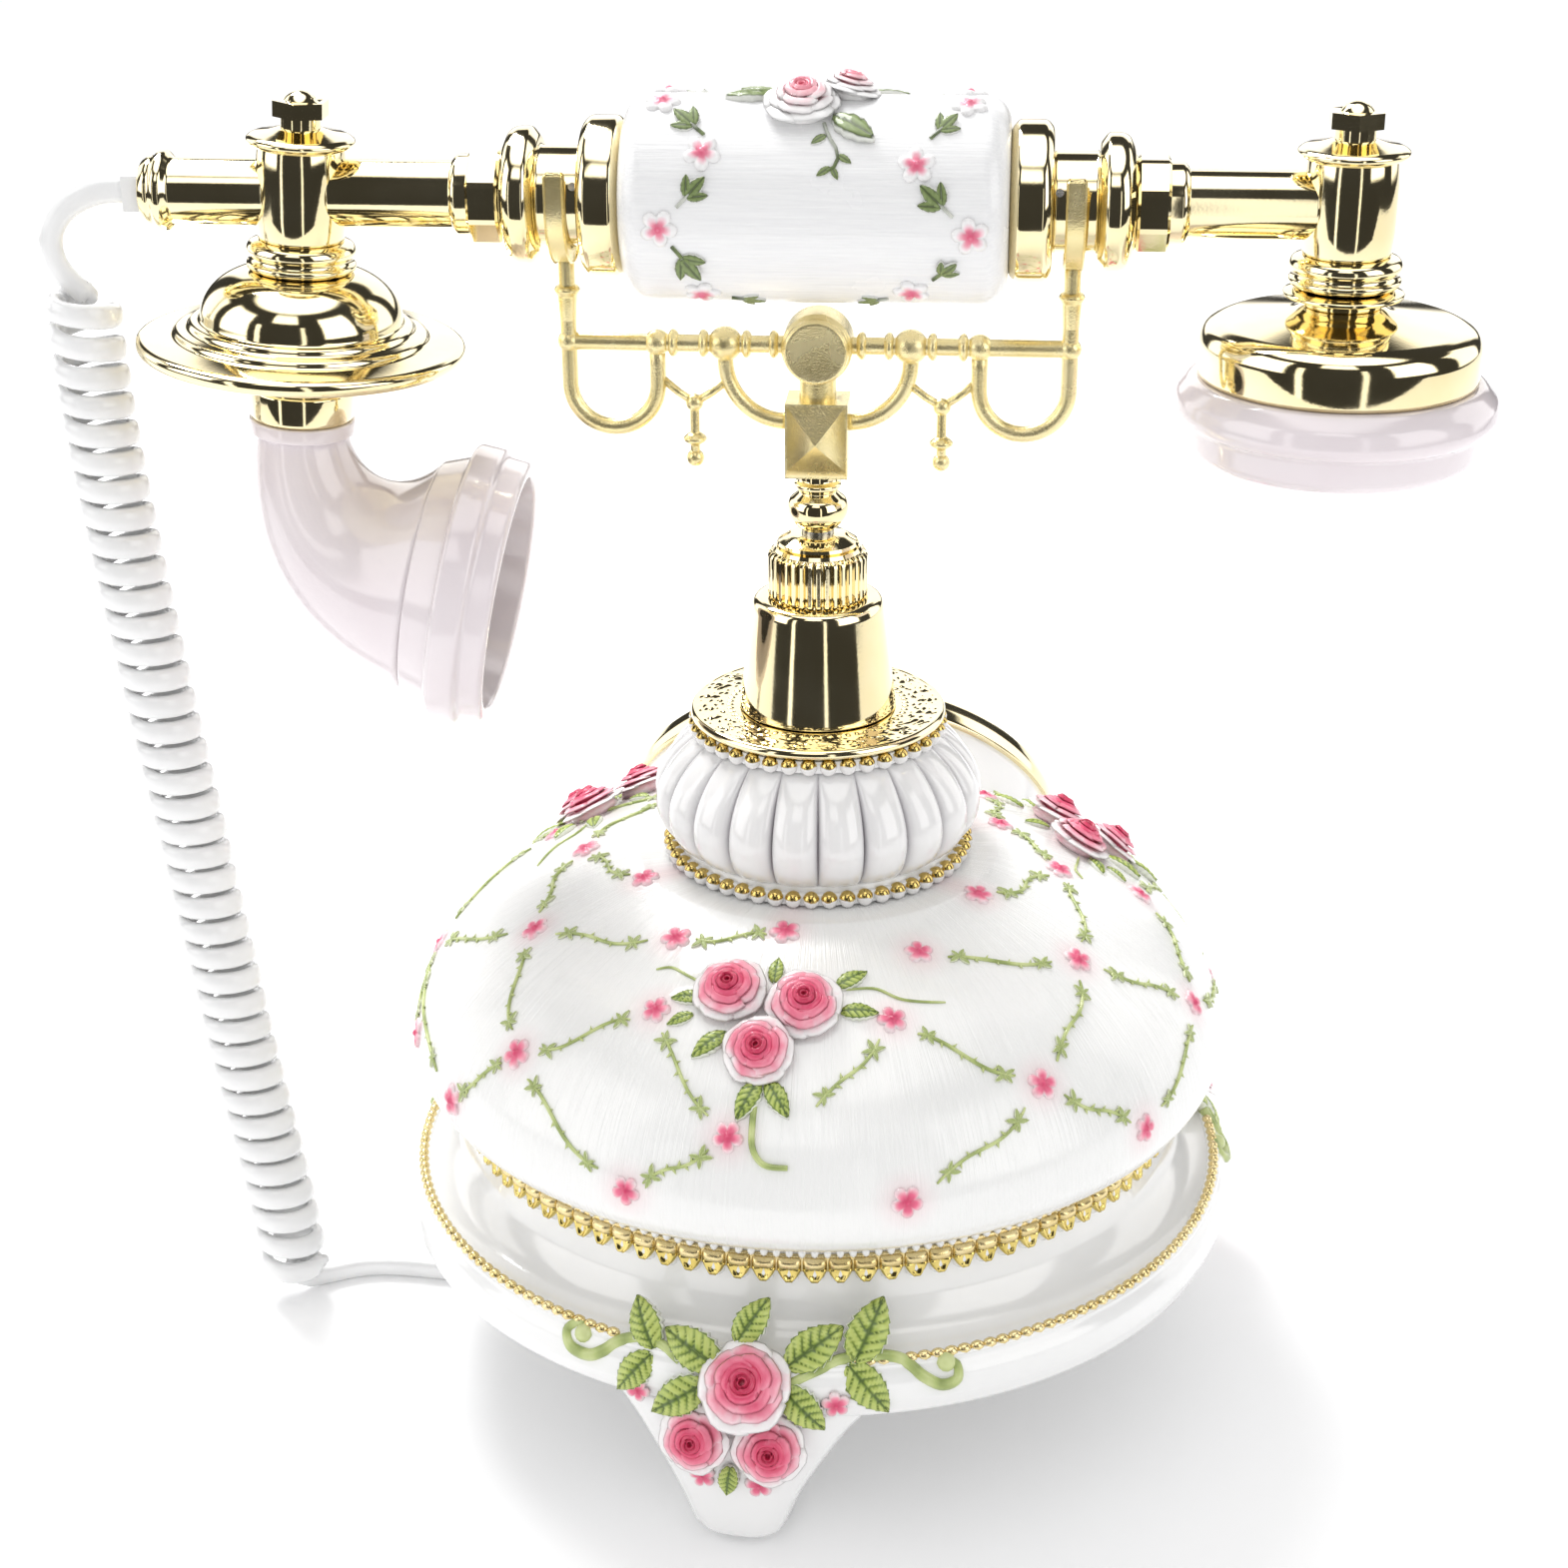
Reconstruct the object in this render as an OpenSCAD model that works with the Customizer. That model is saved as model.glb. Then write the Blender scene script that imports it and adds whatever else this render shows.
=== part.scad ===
// Ornate European style cradle telephone with a rotary dial.
// Frame: the post stands on the Z axis, the table is z = 0, the handset lies along X and the dial faces +Y.

/* [Base] */
// Height of the table gap under the plinth, which is the length of the feet
foot_h = 33; // [28:1:40]
// Outer radius of the plinth
plinth_r = 88; // [84:1:96]
// Height of the plinth moulding below the gold rope
plinth_h = 11; // [9:1:14]
// Radius of the waist between plinth and dome, where the gold leaf band lies
waist_r = 74.5; // [70:0.5:77]
// Height of the hollow between the rope and the leaf band
cove_h = 12; // [10:1:16]
// Height of the gold leaf band
leaf_h = 6.5; // [5:0.5:9]
// Number of drops on the leaf band
leaf_count = 96; // [60:4:100]
// Radius of the dome at its widest
dome_r = 85.5; // [82:0.5:92]
// Height of the dome under its widest line, as the half axis of an ellipse
dome_low = 22; // [18:1:26]
// Height of the dome over its widest line, as the half axis of an ellipse
dome_high = 45; // [40:1:50]
// Wall of the cast base
wall = 4; // [3:0.5:6]
// Thickness of the gold rope on the edge of the plinth
rope_d = 3; // [2:0.25:4]
// Thickness of the bottom cover
cover_t = 2; // [1.5:0.5:3]

/* [Feet] */
// Angle of the rear foot from the -X axis, turned towards -Y
foot_turn = 83.5; // [75:0.5:95]
// Width of a foot where it meets the plinth
foot_w = 42; // [34:1:50]
// Width of a foot at the toe
toe_w = 19; // [14:1:26]
// Distance from the edge of the plinth in to the outer face of a toe
toe_inset = 5; // [2:0.5:9]
// Depth of a foot, from its outer face inwards
foot_depth = 24; // [18:1:30]
// Thickness of the felt pad under a foot
pad_t = 1.5; // [1:0.5:3]
// Radius of the largest rose
rose_r = 8; // [6:0.5:10]

/* [Neck and post] */
// Number of lobes round the fluted neck
lobe_count = 21; // [16:1:26]
// Radius of the fluted neck at its widest
neck_r = 34; // [31:0.5:37]
// Depth of the valleys between the lobes
lobe_depth = 2.6; // [1.5:0.1:3.5]
// Height of the fluted neck
neck_h = 23.5; // [20:0.5:28]
// Height of the plain ring under the fluted neck
neck_ring_h = 3; // [2:0.5:5]
// Outer radius of the lower ring of beads
low_bead_r = 32.2; // [30:0.2:35]
// Number of beads in the lower ring
low_bead_count = 53; // [40:1:56]
// Outer radius of the upper ring of beads
top_bead_r = 25.2; // [23:0.2:27]
// Number of beads in the upper ring
top_bead_count = 43; // [30:1:44]
// Diameter of a bead
bead_d = 3.3; // [2.6:0.1:3.4]
// Radius of the gold flange on top of the neck
flange_r = 26; // [24:0.5:30]
// Thickness of the gold flange
flange_t = 2; // [1.5:0.5:3]
// Radius of the post sleeve at its foot
sleeve_r = 16; // [14:0.5:19]
// Radius of the post sleeve at its top
sleeve_top_r = 13.3; // [11.5:0.1:15]
// Height of the post sleeve
sleeve_h = 23.5; // [18:0.5:30]
// Radius of the fluted collar on the sleeve
collar_r = 10; // [9:0.25:11]
// Height of the fluted collar
collar_h = 10.5; // [8:0.5:14]
// Number of flutes round the collar
flute_count = 36; // [24:2:44]
// Radius of the slotted cap nut
cap_r = 8.2; // [7.4:0.1:9]
// Thickness of the slotted cap nut
cap_t = 2.4; // [1.8:0.2:3.5]

/* [Hook] */
// Radius of the plunger rod that carries the cradle
rod_r = 3.2; // [2.6:0.1:4]
// Radius of the bore of the post, which holds the hook spring
post_bore_r = 7; // [6.5:0.1:8]
// Rise of the cradle when the handset is lifted
hook_travel = 4; // [2:0.5:6]
// Turns of the hook spring
spring_turns = 7; // [5:1:9]
// Wire diameter of the hook spring
wire_d = 1; // [0.8:0.1:1.2]

/* [Cradle] */
// Height of the cross bar's axis above the slotted cap
bar_rise = 38.2; // [36:0.5:46]
// Radius of the cross bar
bar_r = 1.7; // [1.4:0.1:2.4]
// Distance from the post to each fork
fork_x = 48.6; // [46:0.2:52]
// Distance from the post to each small ball
ball_x = 31.3; // [29:0.1:33]
// Radius of each small ball
small_ball_r = 2.6; // [2.2:0.1:3]
// Distance from the post to each large ball
large_ball_x = 18; // [16:0.1:20]
// Radius of each large ball
large_ball_r = 3.4; // [3:0.1:4]
// Radius of the centre barrel
barrel_r = 6.9; // [6:0.1:7.5]
// Length of the centre barrel
barrel_l = 13; // [10:0.5:16]
// Width and height of the square block
block_w = 12.2; // [10:0.2:14]
// Height of the square block
block_h = 15; // [12:0.5:18]
// Depth of the square block
block_d = 10; // [8:0.5:12]
// Thickness of the loops and arcs
loop_d = 3.2; // [2.6:0.1:3.8]
// Width of a fork prong along the handset
prong_w = 3.8; // [3:0.2:5]
// Thickness of a fork prong
prong_t = 3; // [2.4:0.2:4]
// Height of the prongs above the handset's axis
prong_rise = 6.5; // [4:0.5:9]
// Height of the handset's axis above the cross bar
axis_rise = 28.3; // [27.5:0.1:32]

/* [Handset] */
// Radius of the porcelain style grip
grip_r = 19.4; // [17:0.2:20]
// Length of the grip
grip_l = 72.6; // [68:0.2:74]
// Radius of the gold rings at the ends of the grip
grip_ring_r = 15.2; // [13:0.2:16]
// Radius of the groove that lies in a fork
groove_r = 9.5; // [8.5:0.1:10]
// Length of the groove that lies in a fork
groove_l = 8.4; // [6:0.2:9.5]
// Radius of the round bulge beside a groove
bulge_r = 13; // [11.5:0.1:14]
// Length of the round bulge beside a groove
bulge_l = 7.2; // [6:0.2:8]
// Distance across the flats of the eight sided collar
octagon_w = 17; // [15:0.5:19]
// Length of the eight sided collar
octagon_l = 6.1; // [4:0.2:8]
// Radius of the handset tube
tube_r = 6.4; // [5.6:0.1:7]
// Distance from the post to the axis of each head
head_x = 99.6; // [96:0.2:104]
// Wall of the handset tube, which the wires run through
tube_wall = 1.6; // [1.2:0.1:2.5]
// Radius of the upright hub of each head
hub_r = 8.7; // [8:0.1:9.4]
// Height of a hub above the handset's axis, and its depth below it
hub_h = 9; // [8:0.2:11]
// Radius of the cap on a hub
hub_cap_r = 10.4; // [9:0.2:12]
// Distance across the flats of a finial nut
nut_w = 9.6; // [8:0.2:11]
// Lean of the mouthpiece head away from the post
mouth_lean = 4; // [0:0.5:8]

/* [Mouthpiece] */
// Radius of the broad gold flange
disc_r = 32; // [28:0.5:34]
// Radius of the bell over the broad flange
bell_r = 19.8; // [17:0.2:23]
// Radius of the collar that carries the horn
horn_collar_r = 10.2; // [9:0.2:12]
// Radius of the horn where it leaves the collar
horn_r = 9; // [8:0.2:10]
// Radius of the horn where it meets the mouth ring
horn_mouth_r = 23.5; // [21:0.5:25]
// Radius of the mouth ring
mouth_r = 28.8; // [27:0.2:31]
// Downward tilt of the mouth in the head's own frame
mouth_tilt = 6.5; // [0:0.5:15]
// Wall of the horn
horn_wall = 2.2; // [1.6:0.2:3]

/* [Earpiece] */
// Radius of the gold cup
cup_r = 26.7; // [24:0.2:28]
// Height of the gold cup
cup_h = 10.5; // [8:0.5:14]
// Radius of the ear cap
ear_r = 31.1; // [29:0.2:34]
// Height of the ear cap
ear_h = 15.5; // [12:0.5:20]

/* [Dial] */
// Distance from the post to the middle of the number plate
dial_y = 76; // [74:0.5:80]
// Height of the middle of the number plate above the table
dial_z = 85; // [82:0.5:90]
// Lean of the dial from upright
dial_tilt = 32; // [28:1:36]
// Outer radius of the dial housing
housing_r = 50; // [48:0.5:53]
// Width of the gold bezel round the number plate
bezel_w = 11.6; // [10:0.2:14]
// Thickness of the finger wheel
wheel_t = 1.6; // [1.2:0.2:2.4]
// Radius of a finger hole
finger_hole_r = 6.2; // [5.4:0.1:6.4]
// Radius of the dial shaft
shaft_r = 3; // [2.4:0.1:4]

/* [Cord] */
// Diameter of the cord
cord_d = 4.4; // [3.6:0.2:5]
// Outer diameter of the coiled stretch
coil_d = 14.6; // [12:0.2:15]

/* [Hidden] */
gold = "gold";
cream = "ivory";
$fn = 64;
eps = 0.01;
fit = 0.05;          // radial clearance of a running fit
gap = 0.3;           // clearance between pieces that move past each other

// Heights of the base, from the table up
rope_z = foot_h + plinth_h;
leaf_z = rope_z + cove_h;
leaf_top_z = leaf_z + leaf_h;
waist_turn = acos(waist_r / dome_r);
dome_z = leaf_top_z + dome_low * sin(waist_turn);
seat_r = 37.5;
seat_z = dome_z + dome_high * sin(acos(seat_r / dome_r));
neck_z = seat_z + neck_ring_h;
neck_top_z = neck_z + neck_h;
flange_z = neck_top_z + bead_d;
sleeve_z = flange_z + flange_t;
collar_z = sleeve_z + sleeve_h;
cap_z = collar_z + collar_h;
cap_top_z = cap_z + cap_t;
neck_ring_r = low_bead_r - bead_d;
neck_top_r = top_bead_r - bead_d;
tail_bore_r = rod_r + 1.5;

// Cradle heights, from the slotted cap up
oblate_z = cap_top_z + 5.4;
oblate_r = 6.1;
oblate_h = 3.9;
block_z = oblate_z + oblate_h + 3.4;
bar_z = cap_top_z + bar_rise;
axis_z = bar_z + axis_rise;
fork_in_r = groove_r + gap;
fork_out_r = fork_in_r + prong_t;
loop_r = (fork_x - ball_x) / 2;
loop_x = (fork_x + ball_x) / 2;
loop_z = bar_z - 8.4;
arc_r = large_ball_x - block_w / 2;

// Stations along the handset, from the middle outwards
groove_x = fork_x - groove_l / 2;
bulge_x = groove_x + groove_l;
octagon_x = bulge_x + bulge_l;
collar_x = octagon_x + octagon_l;
collar_l = 3.5;
tube_x = collar_x + collar_l;

// Depths of the heads below the handset's axis
head_torus_z = -hub_h - 1.4;
bell_z = head_torus_z - 4.6;
disc_z = bell_z - 13.6;
disc_t = 3.2;
horn_collar_z = disc_z - disc_t;
horn_collar_h = 12.8;
horn_z = horn_collar_z - horn_collar_h;
cup_z = head_torus_z - 11.6;
ear_z = cup_z - cup_h;

// Dial radii, and stations along its own axis from the face of the number plate
bezel_in_r = housing_r + 1.2 - bezel_w;
wheel_r = bezel_in_r - 1.6;
finger_ring_r = 0.75 * wheel_r;
dial_cap_r = 0.42 * wheel_r;
plate_t = 2;
wheel_z = 2.6;
bezel_z = wheel_z + wheel_t + 1.6;
can_r = 30;
can_h = 24;
hole_step = 30;
first_hole = 30;
stop_angle = -20;

// Feet
toe_r = plinth_r - toe_inset;
foot_angles = [for (k = [0:2]) 180 + foot_turn + 120 * k];

// Cord route, points chosen by hand
lead_top = [[-134.1, 0, 248.4], [-140, 0, 247.8], [-146, 0, 245], [-149.5, 0, 240.5], [-150, 0, 235.5],
            [-148, 0, 231.4], [-145.2, 0, 228.5]];
coil_route = [[-145, 0, 228.4], [-144.8, 0, 215], [-144, 0, 200], [-142.6, 0, 185], [-141, 0, 170],
              [-139.2, 0, 155], [-137.4, 0, 140], [-135.4, 0, 125], [-133.4, 0, 110], [-131.2, -1, 95],
              [-128.8, -2, 80], [-126.6, -3, 65], [-124, -4, 50], [-121.4, -5, 35], [-119, -6, 20],
              [-117.6, -6, 6]];
lead_low = [[-117.4, -6, 5.6], [-115.4, -4.6, 3.2], [-111, -1.6, 2.4], [-104, 1.6, 2.4], [-96, 2.4, 2.4],
            [-86, 1.6, 2.4], [-76, 0.6, 2.6], [-66, 0, 4.6], [-58, 0, 9.6], [-53, 0, 15.6], [-52, 0, 20.4]];
lead_end_z = 20.4;
jack_x = 52;

// ---------- helpers ----------

// A ring of revolution from a list of [radius, height] points
module turned(points) {
    rotate_extrude($fn = 96) polygon(points);
}

// Copies its children at +X and -X
module both_ends() {
    for (side = [0, 1]) mirror([side, 0, 0]) children();
}

// Turns a +Z form so that it runs along +X
module along_x(x = 0) {
    translate([x, 0, 0]) rotate([0, 90, 0]) children();
}

// Points of an arc of an ellipse, from angle a to angle b
function ellipse_arc(rx, rz, cx, cz, a, b, n) =
    [for (i = [0:n]) let (t = a + (b - a) * i / n) [cx + rx * cos(t), cz + rz * sin(t)]];

function unit(v) = v / norm(v);

// Direction of a route at one of its points
function tangent(p, i) = unit(p[min(i + 1, len(p) - 1)] - p[max(i - 1, 0)]);

// A level side direction for a route that mostly lies in the XZ plane
function side_of(t) = unit(cross(t, [0, 1, 0]));

// Faces of a closed skin over stacked rings of points: both ends and the quads between
function ring_faces(rings, sides) = concat(
    [[for (k = [0:sides - 1]) k]],
    [for (i = [0:rings - 2]) for (k = [0:sides - 1])
        [i * sides + k, (i + 1) * sides + k, (i + 1) * sides + (k + 1) % sides, i * sides + (k + 1) % sides]],
    [[for (k = [sides - 1:-1:0]) (rings - 1) * sides + k]]);

// A round ring of points about a place on a route
function ring_at(centre, r, u, v, sides) =
    [for (k = [0:sides - 1]) centre + r * (cos(360 * k / sides) * u + sin(360 * k / sides) * v)];

// A tube along a route, with a radius at each of its places
module tube_along(route, radii, sides) {
    points = [for (i = [0:len(route) - 1])
        let (t = tangent(route, i), u = side_of(t))
        each ring_at(route[i], radii[i], u, cross(t, u), sides)];
    polyhedron(points, ring_faces(len(route), sides), convexity = 6);
}

// A wire wound round the Z axis, with rings that keep one side towards the axis
module wound_wire(route, r, sides) {
    points = [for (i = [0:len(route) - 1])
        let (t = tangent(route, i), u = unit([route[i].x, route[i].y, 0]))
        each ring_at(route[i], r, u, cross(t, u), sides)];
    polyhedron(points, ring_faces(len(route), sides), convexity = 10);
}

// Places a form on the outside of the dome: its +Z points out of the surface
module on_dome(angle, height) {
    t = asin((height - dome_z) / dome_high);
    lean = atan2(dome_r * sin(t), dome_high * cos(t));
    rotate([0, 0, angle]) translate([dome_r * cos(t), 0, height]) rotate([0, 90 - lean, 0]) children();
}

// Places a form in the dial's frame: +Z out of the face, +Y up the face
module at_dial() {
    translate([0, dial_y, dial_z]) rotate([90 - dial_tilt, 0, 180]) children();
}

// A rose seen from above: cupped rims round a bud
module rose(r) {
    h = 0.62 * r;
    turned([[0, 0], [0.96 * r, 0], [r, 0.16 * r], [0.94 * r, 0.34 * r], [0.78 * r, 0.36 * r],
            [0.72 * r, 0.5 * r], [0.58 * r, 0.52 * r], [0.5 * r, 0.44 * r], [0.4 * r, h],
            [0.24 * r, 1.04 * h], [0.12 * r, 0.86 * h], [0, 0.84 * h]]);
}

// A pointed leaf lying along +X from its stalk, as the overlap of two discs
module leaf(l, w, t) {
    r = (l * l / 4 + w * w / 4) / w;
    linear_extrude(t) intersection() {
        translate([l / 2, r - w / 2]) circle(r, $fn = 96);
        translate([l / 2, w / 2 - r]) circle(r, $fn = 96);
    }
}

// ---------- base ----------

// Outline of the base from the bottom edge of the plinth to the seat of the neck, as half a section
function base_outline() = concat(
    [[0, foot_h], [plinth_r, foot_h], [plinth_r + 1, foot_h + 0.35 * plinth_h],
     [plinth_r + 0.6, foot_h + 0.7 * plinth_h], [plinth_r - 1, rope_z - 1.2], [plinth_r - 1, rope_z],
     [plinth_r - 4.4, rope_z]],
    ellipse_arc(plinth_r - 4.4 - waist_r, cove_h - 1, plinth_r - 4.4, leaf_z - 1, 270, 200, 6),
    [[waist_r, leaf_z - 0.6], [waist_r, leaf_top_z]],
    ellipse_arc(dome_r, dome_low, 0, dome_z, -waist_turn + 3, 0, 6),
    ellipse_arc(dome_r, dome_high, 0, dome_z, 5, acos(seat_r / dome_r), 12),
    [[0, seat_z]]);

// Hollow of the base, one wall inside the outline
function base_hollow() = concat(
    [[0, foot_h - 1], [waist_r - wall, foot_h - 1], [waist_r - wall, leaf_top_z]],
    ellipse_arc(dome_r - wall, dome_low - 1, 0, dome_z, -waist_turn + 3, 0, 4),
    [for (p = ellipse_arc(dome_r - wall, dome_high - wall, 0, dome_z, 8, 90, 10))
        [p.x, min(p.y, seat_z - wall)]]);

housing_depth = 34;

module base_casting() color(cream) difference() {
    union() {
        turned(base_outline());
        intersection() {
            at_dial() translate([0, 0, -housing_depth]) cylinder(r = housing_r, h = housing_depth - 3);
            translate([-housing_r, 0, foot_h]) cube([2 * housing_r, 2 * plinth_r, seat_z]);
        }
    }
    difference() {
        turned(base_hollow());
        // wall behind the lower edge of the dial housing stays solid
        at_dial() translate([0, 0, -housing_depth]) cylinder(r = housing_r, h = 3 * housing_depth);
    }
    // the housing is bored through from the face into the hollow
    difference() {
        at_dial() translate([0, 0, -housing_depth - 8]) cylinder(r = housing_r - wall, h = 3 * housing_depth);
        translate([-plinth_r, -plinth_r, 0]) cube([2 * plinth_r, 2 * plinth_r, foot_h + cover_t + wall]);
        translate([0, 0, foot_h]) cylinder(r = seat_r, h = 2 * seat_z);
    }
    // nothing of the dome stands in front of the dial
    at_dial() translate([0, 0, -3]) cylinder(r = housing_r, h = housing_depth);
    // nor does the housing reach the neck
    translate([0, 0, seat_z]) cylinder(r = seat_r, h = 2 * neck_h);
    translate([0, 0, foot_h - 1]) cylinder(r = waist_r + wall, h = 1 + cover_t);
    translate([0, 0, foot_h]) cylinder(r = tail_bore_r, h = seat_z);
}

module leaf_band() color(gold) difference() {
    tongue_r = 0.42 * 2 * PI * waist_r / leaf_count;
    union() {
        translate([0, 0, leaf_z]) cylinder(r = waist_r + 0.8, h = leaf_h - 1.6, $fn = 96);
        for (k = [0:leaf_count - 1]) rotate([0, 0, 360 * k / leaf_count])
            translate([waist_r + 0.5, 0, leaf_z + 0.5]) cylinder(r = tongue_r, h = leaf_h - 1.6, $fn = 24);
    }
    translate([0, 0, leaf_z - 1]) cylinder(r = waist_r, h = leaf_h + 2, $fn = 96);
    at_dial() translate([0, 0, -3 * housing_depth]) cylinder(r = housing_r + eps, h = 6 * housing_depth);
}

module rope_band() color(gold) difference() {
    translate([0, 0, rope_z]) rotate_extrude($fn = 96)
        translate([plinth_r - 3, 0]) circle(d = rope_d, $fn = 24);
    translate([0, 0, rope_z - rope_d]) cylinder(r = plinth_r - 1, h = rope_d);
    at_dial() translate([0, 0, -3 * housing_depth]) cylinder(r = housing_r + eps, h = 6 * housing_depth);
}

// A foot tapers from the plinth down to a round toe
module feet() color(cream) for (turn = foot_angles) rotate([0, 0, turn]) {
    toe_back = toe_r - toe_w / 2;
    hull() {
        translate([plinth_r - foot_depth, -foot_w / 2, foot_h - 3]) cube([foot_depth - 2, foot_w, 3]);
        translate([plinth_r - foot_depth / 2, 0, foot_h - 12]) cylinder(r = foot_w / 2 - 8, h = 4, $fn = 32);
        translate([toe_back, 0, pad_t]) cylinder(r = toe_w / 2, h = 4, $fn = 32);
    }
}

module foot_pads() color("dimgray") for (turn = foot_angles) rotate([0, 0, turn])
    translate([toe_r - toe_w / 2, 0, 0]) cylinder(r = toe_w / 2 - 1.5, h = pad_t);

// Share of the way down from the broad part of a foot to its toe
function foot_share(z) = (foot_h - 12 - z) / (foot_h - 16 - pad_t);
// Middle and radius of a foot's round face at a height below its broad part
function foot_mid(z) = plinth_r - foot_depth / 2
    + (toe_r - toe_w / 2 - plinth_r + foot_depth / 2) * foot_share(z);
function foot_round(z) = foot_w / 2 - 8 + (toe_w / 2 - foot_w / 2 + 8) * foot_share(z);

// A large rose on the broad part of each foot and two smaller ones below it
module foot_roses() color("hotpink") for (turn = foot_angles) rotate([0, 0, turn]) {
    translate([plinth_r + 0.8, 0, foot_h - 8.6]) rotate([0, 90, 0]) rose(rose_r);
    for (place = [[-40, foot_h - 18.8], [30, foot_h - 21]]) translate([foot_mid(place.y), 0, place.y])
        rotate([0, 0, place.x]) translate([foot_round(place.y) - 0.2, 0, 0]) rotate([0, 110, 0])
            rose(0.68 * rose_r);
}

module foot_leaves() color("seagreen") difference() {
    for (turn = foot_angles) rotate([0, 0, turn]) for (side = [-1, 1]) {
        translate([plinth_r - 5, side * 11, foot_h - 7]) rotate([0, 84, 0]) rotate([0, 0, side * 62])
            leaf(13, 6, 2);
        translate([plinth_r + 0.5, side * 13, foot_h + 1]) rotate([0, 84, 0]) rotate([0, 0, side * 128])
            leaf(12, 5.5, 2);
    }
    feet();
    turned(base_outline());
}

rose_height = 107;
rose_drop = 6;
rose_sink = 1.2;

module dome_roses() color("lightpink") difference() {
    for (turn = foot_angles) {
        for (place = [[-6.3, rose_height], [8.2, rose_height - 0.8], [1.2, rose_height - rose_drop]])
            on_dome(turn + place.x, place.y) translate([0, 0, -rose_sink]) rose(0.8 * rose_r);
    }
    turned(base_outline());
}

module bottom_cover() color("gainsboro") difference() {
    translate([0, 0, foot_h]) cylinder(r = waist_r + wall - gap, h = cover_t, $fn = 96);
    for (x = [-jack_x, jack_x]) translate([x - 7, -7, foot_h - 1]) cube([14, 14, 2 + cover_t]);
    for (turn = [90, 210, 330]) rotate([0, 0, turn]) translate([20, 0, foot_h - 1])
        cylinder(r = 2.5, h = 3 * cover_t);
}

screw_r = waist_r - 0.5;

module cover_screws() color("silver") for (turn = foot_angles) rotate([0, 0, turn + 60])
    translate([screw_r, 0, foot_h]) mirror([0, 0, 1]) cylinder(r = 2.6, h = 1.6, $fn = 24);

// ---------- neck and post ----------

// Radius of the neck's bulge at a share of its height, before the lobes
function neck_bulge(s) = let (foot = neck_ring_r - 1.5, top = neck_top_r - 0.4)
    foot + (top - foot) * s + (neck_r - (foot + top) / 2) * pow(sin(180 * pow(s, 0.86)), 0.7);

module fluted_neck() color(cream) {
    steps = 12;
    sides = 6 * lobe_count;
    lobed = [for (i = [0:steps]) let (s = i / steps, bulge = neck_bulge(s))
        for (k = [0:sides - 1]) let (turn = 360 * k / sides,
            r = bulge - lobe_depth * sin(180 * s) * (1 - abs(sin(lobe_count * turn / 2))))
            [r * cos(turn), r * sin(turn), neck_z + neck_h * s]];
    difference() {
        union() {
            polyhedron(lobed, ring_faces(steps + 1, sides), convexity = 8);
            translate([0, 0, seat_z]) cylinder(r = neck_ring_r, h = neck_ring_h + 1);
            translate([0, 0, neck_top_z - 1]) cylinder(r = neck_top_r, h = bead_d + 1);
        }
        translate([0, 0, seat_z - 1]) cylinder(r = tail_bore_r, h = neck_h + neck_ring_h + bead_d + 2);
    }
}

// A band with round beads on it
module bead_ring(outer, inner, count, z) {
    translate([0, 0, z]) rotate_extrude($fn = 96)
        translate([inner, 0.4]) square([outer - inner - bead_d / 2, bead_d - 0.8]);
    for (k = [0:count - 1]) rotate([0, 0, 360 * k / count])
        translate([outer - bead_d / 2, 0, z + bead_d / 2]) sphere(d = bead_d, $fn = 24);
}

module lower_bead_ring() color(gold) bead_ring(low_bead_r, neck_ring_r, low_bead_count, seat_z);
module upper_bead_ring() color(gold) bead_ring(top_bead_r, neck_top_r, top_bead_count, neck_top_z);

module post_flange() color(gold) difference() {
    turned([[0, flange_z], [flange_r - 0.6, flange_z], [flange_r, flange_z + 0.5],
            [flange_r, flange_z + 1.2], [flange_r - 1, sleeve_z], [0, sleeve_z]]);
    translate([0, 0, flange_z - 1]) cylinder(r = rod_r + 0.6, h = flange_t + 2);
}

module post_sleeve() color(gold) difference() {
    turned([[0, sleeve_z], [sleeve_r, sleeve_z], [sleeve_r - 0.2, sleeve_z + 1],
            [sleeve_top_r, collar_z - 1.8], [sleeve_top_r - 0.5, collar_z - 0.6],
            [sleeve_top_r - 1.6, collar_z], [0, collar_z]]);
    translate([0, 0, sleeve_z - 1]) cylinder(r = post_bore_r, h = sleeve_h + 2);
}

// Outline of a ring of upright ribs, each as wide as the groove beside it
module ribbed(r, count, depth) polygon([for (k = [0:4 * count - 1])
    (r - (k % 4 < 2 ? 0 : depth)) * [cos(90 * k / count), sin(90 * k / count)]]);

module fluted_collar() color(gold) difference() {
    union() {
        turned([[0, collar_z], [collar_r - 0.5, collar_z], [collar_r - 0.5, cap_z - 1.4],
                [cap_r + 0.4, cap_z], [0, cap_z]]);
        translate([0, 0, collar_z]) linear_extrude(collar_h - 1.8) ribbed(collar_r, flute_count, 0.8);
    }
    translate([0, 0, collar_z - 1]) cylinder(r = rod_r + 1, h = collar_h + 2);
}

module slotted_cap() color(gold) difference() {
    turned([[0, cap_z], [cap_r - 0.5, cap_z], [cap_r, cap_z + 0.5], [cap_r - 0.3, cap_z + 1.1],
            [rod_r + 2.4, cap_top_z], [0, cap_top_z]]);
    translate([0, 0, cap_z - 1]) cylinder(r = rod_r + fit, h = cap_t + 2);
    for (side = [0, 180]) rotate([0, 0, side]) translate([rod_r + 2.2, -0.5, cap_z + 0.8])
        cube([cap_r, 1, cap_t]);
}

// ---------- hook switch inside the neck ----------

plunger_disc_t = 2;
plunger_disc_z = collar_z - gap - hook_travel - plunger_disc_t;
plunger_tip_z = seat_z - 12;
tail_r = rod_r - 0.6;

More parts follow.
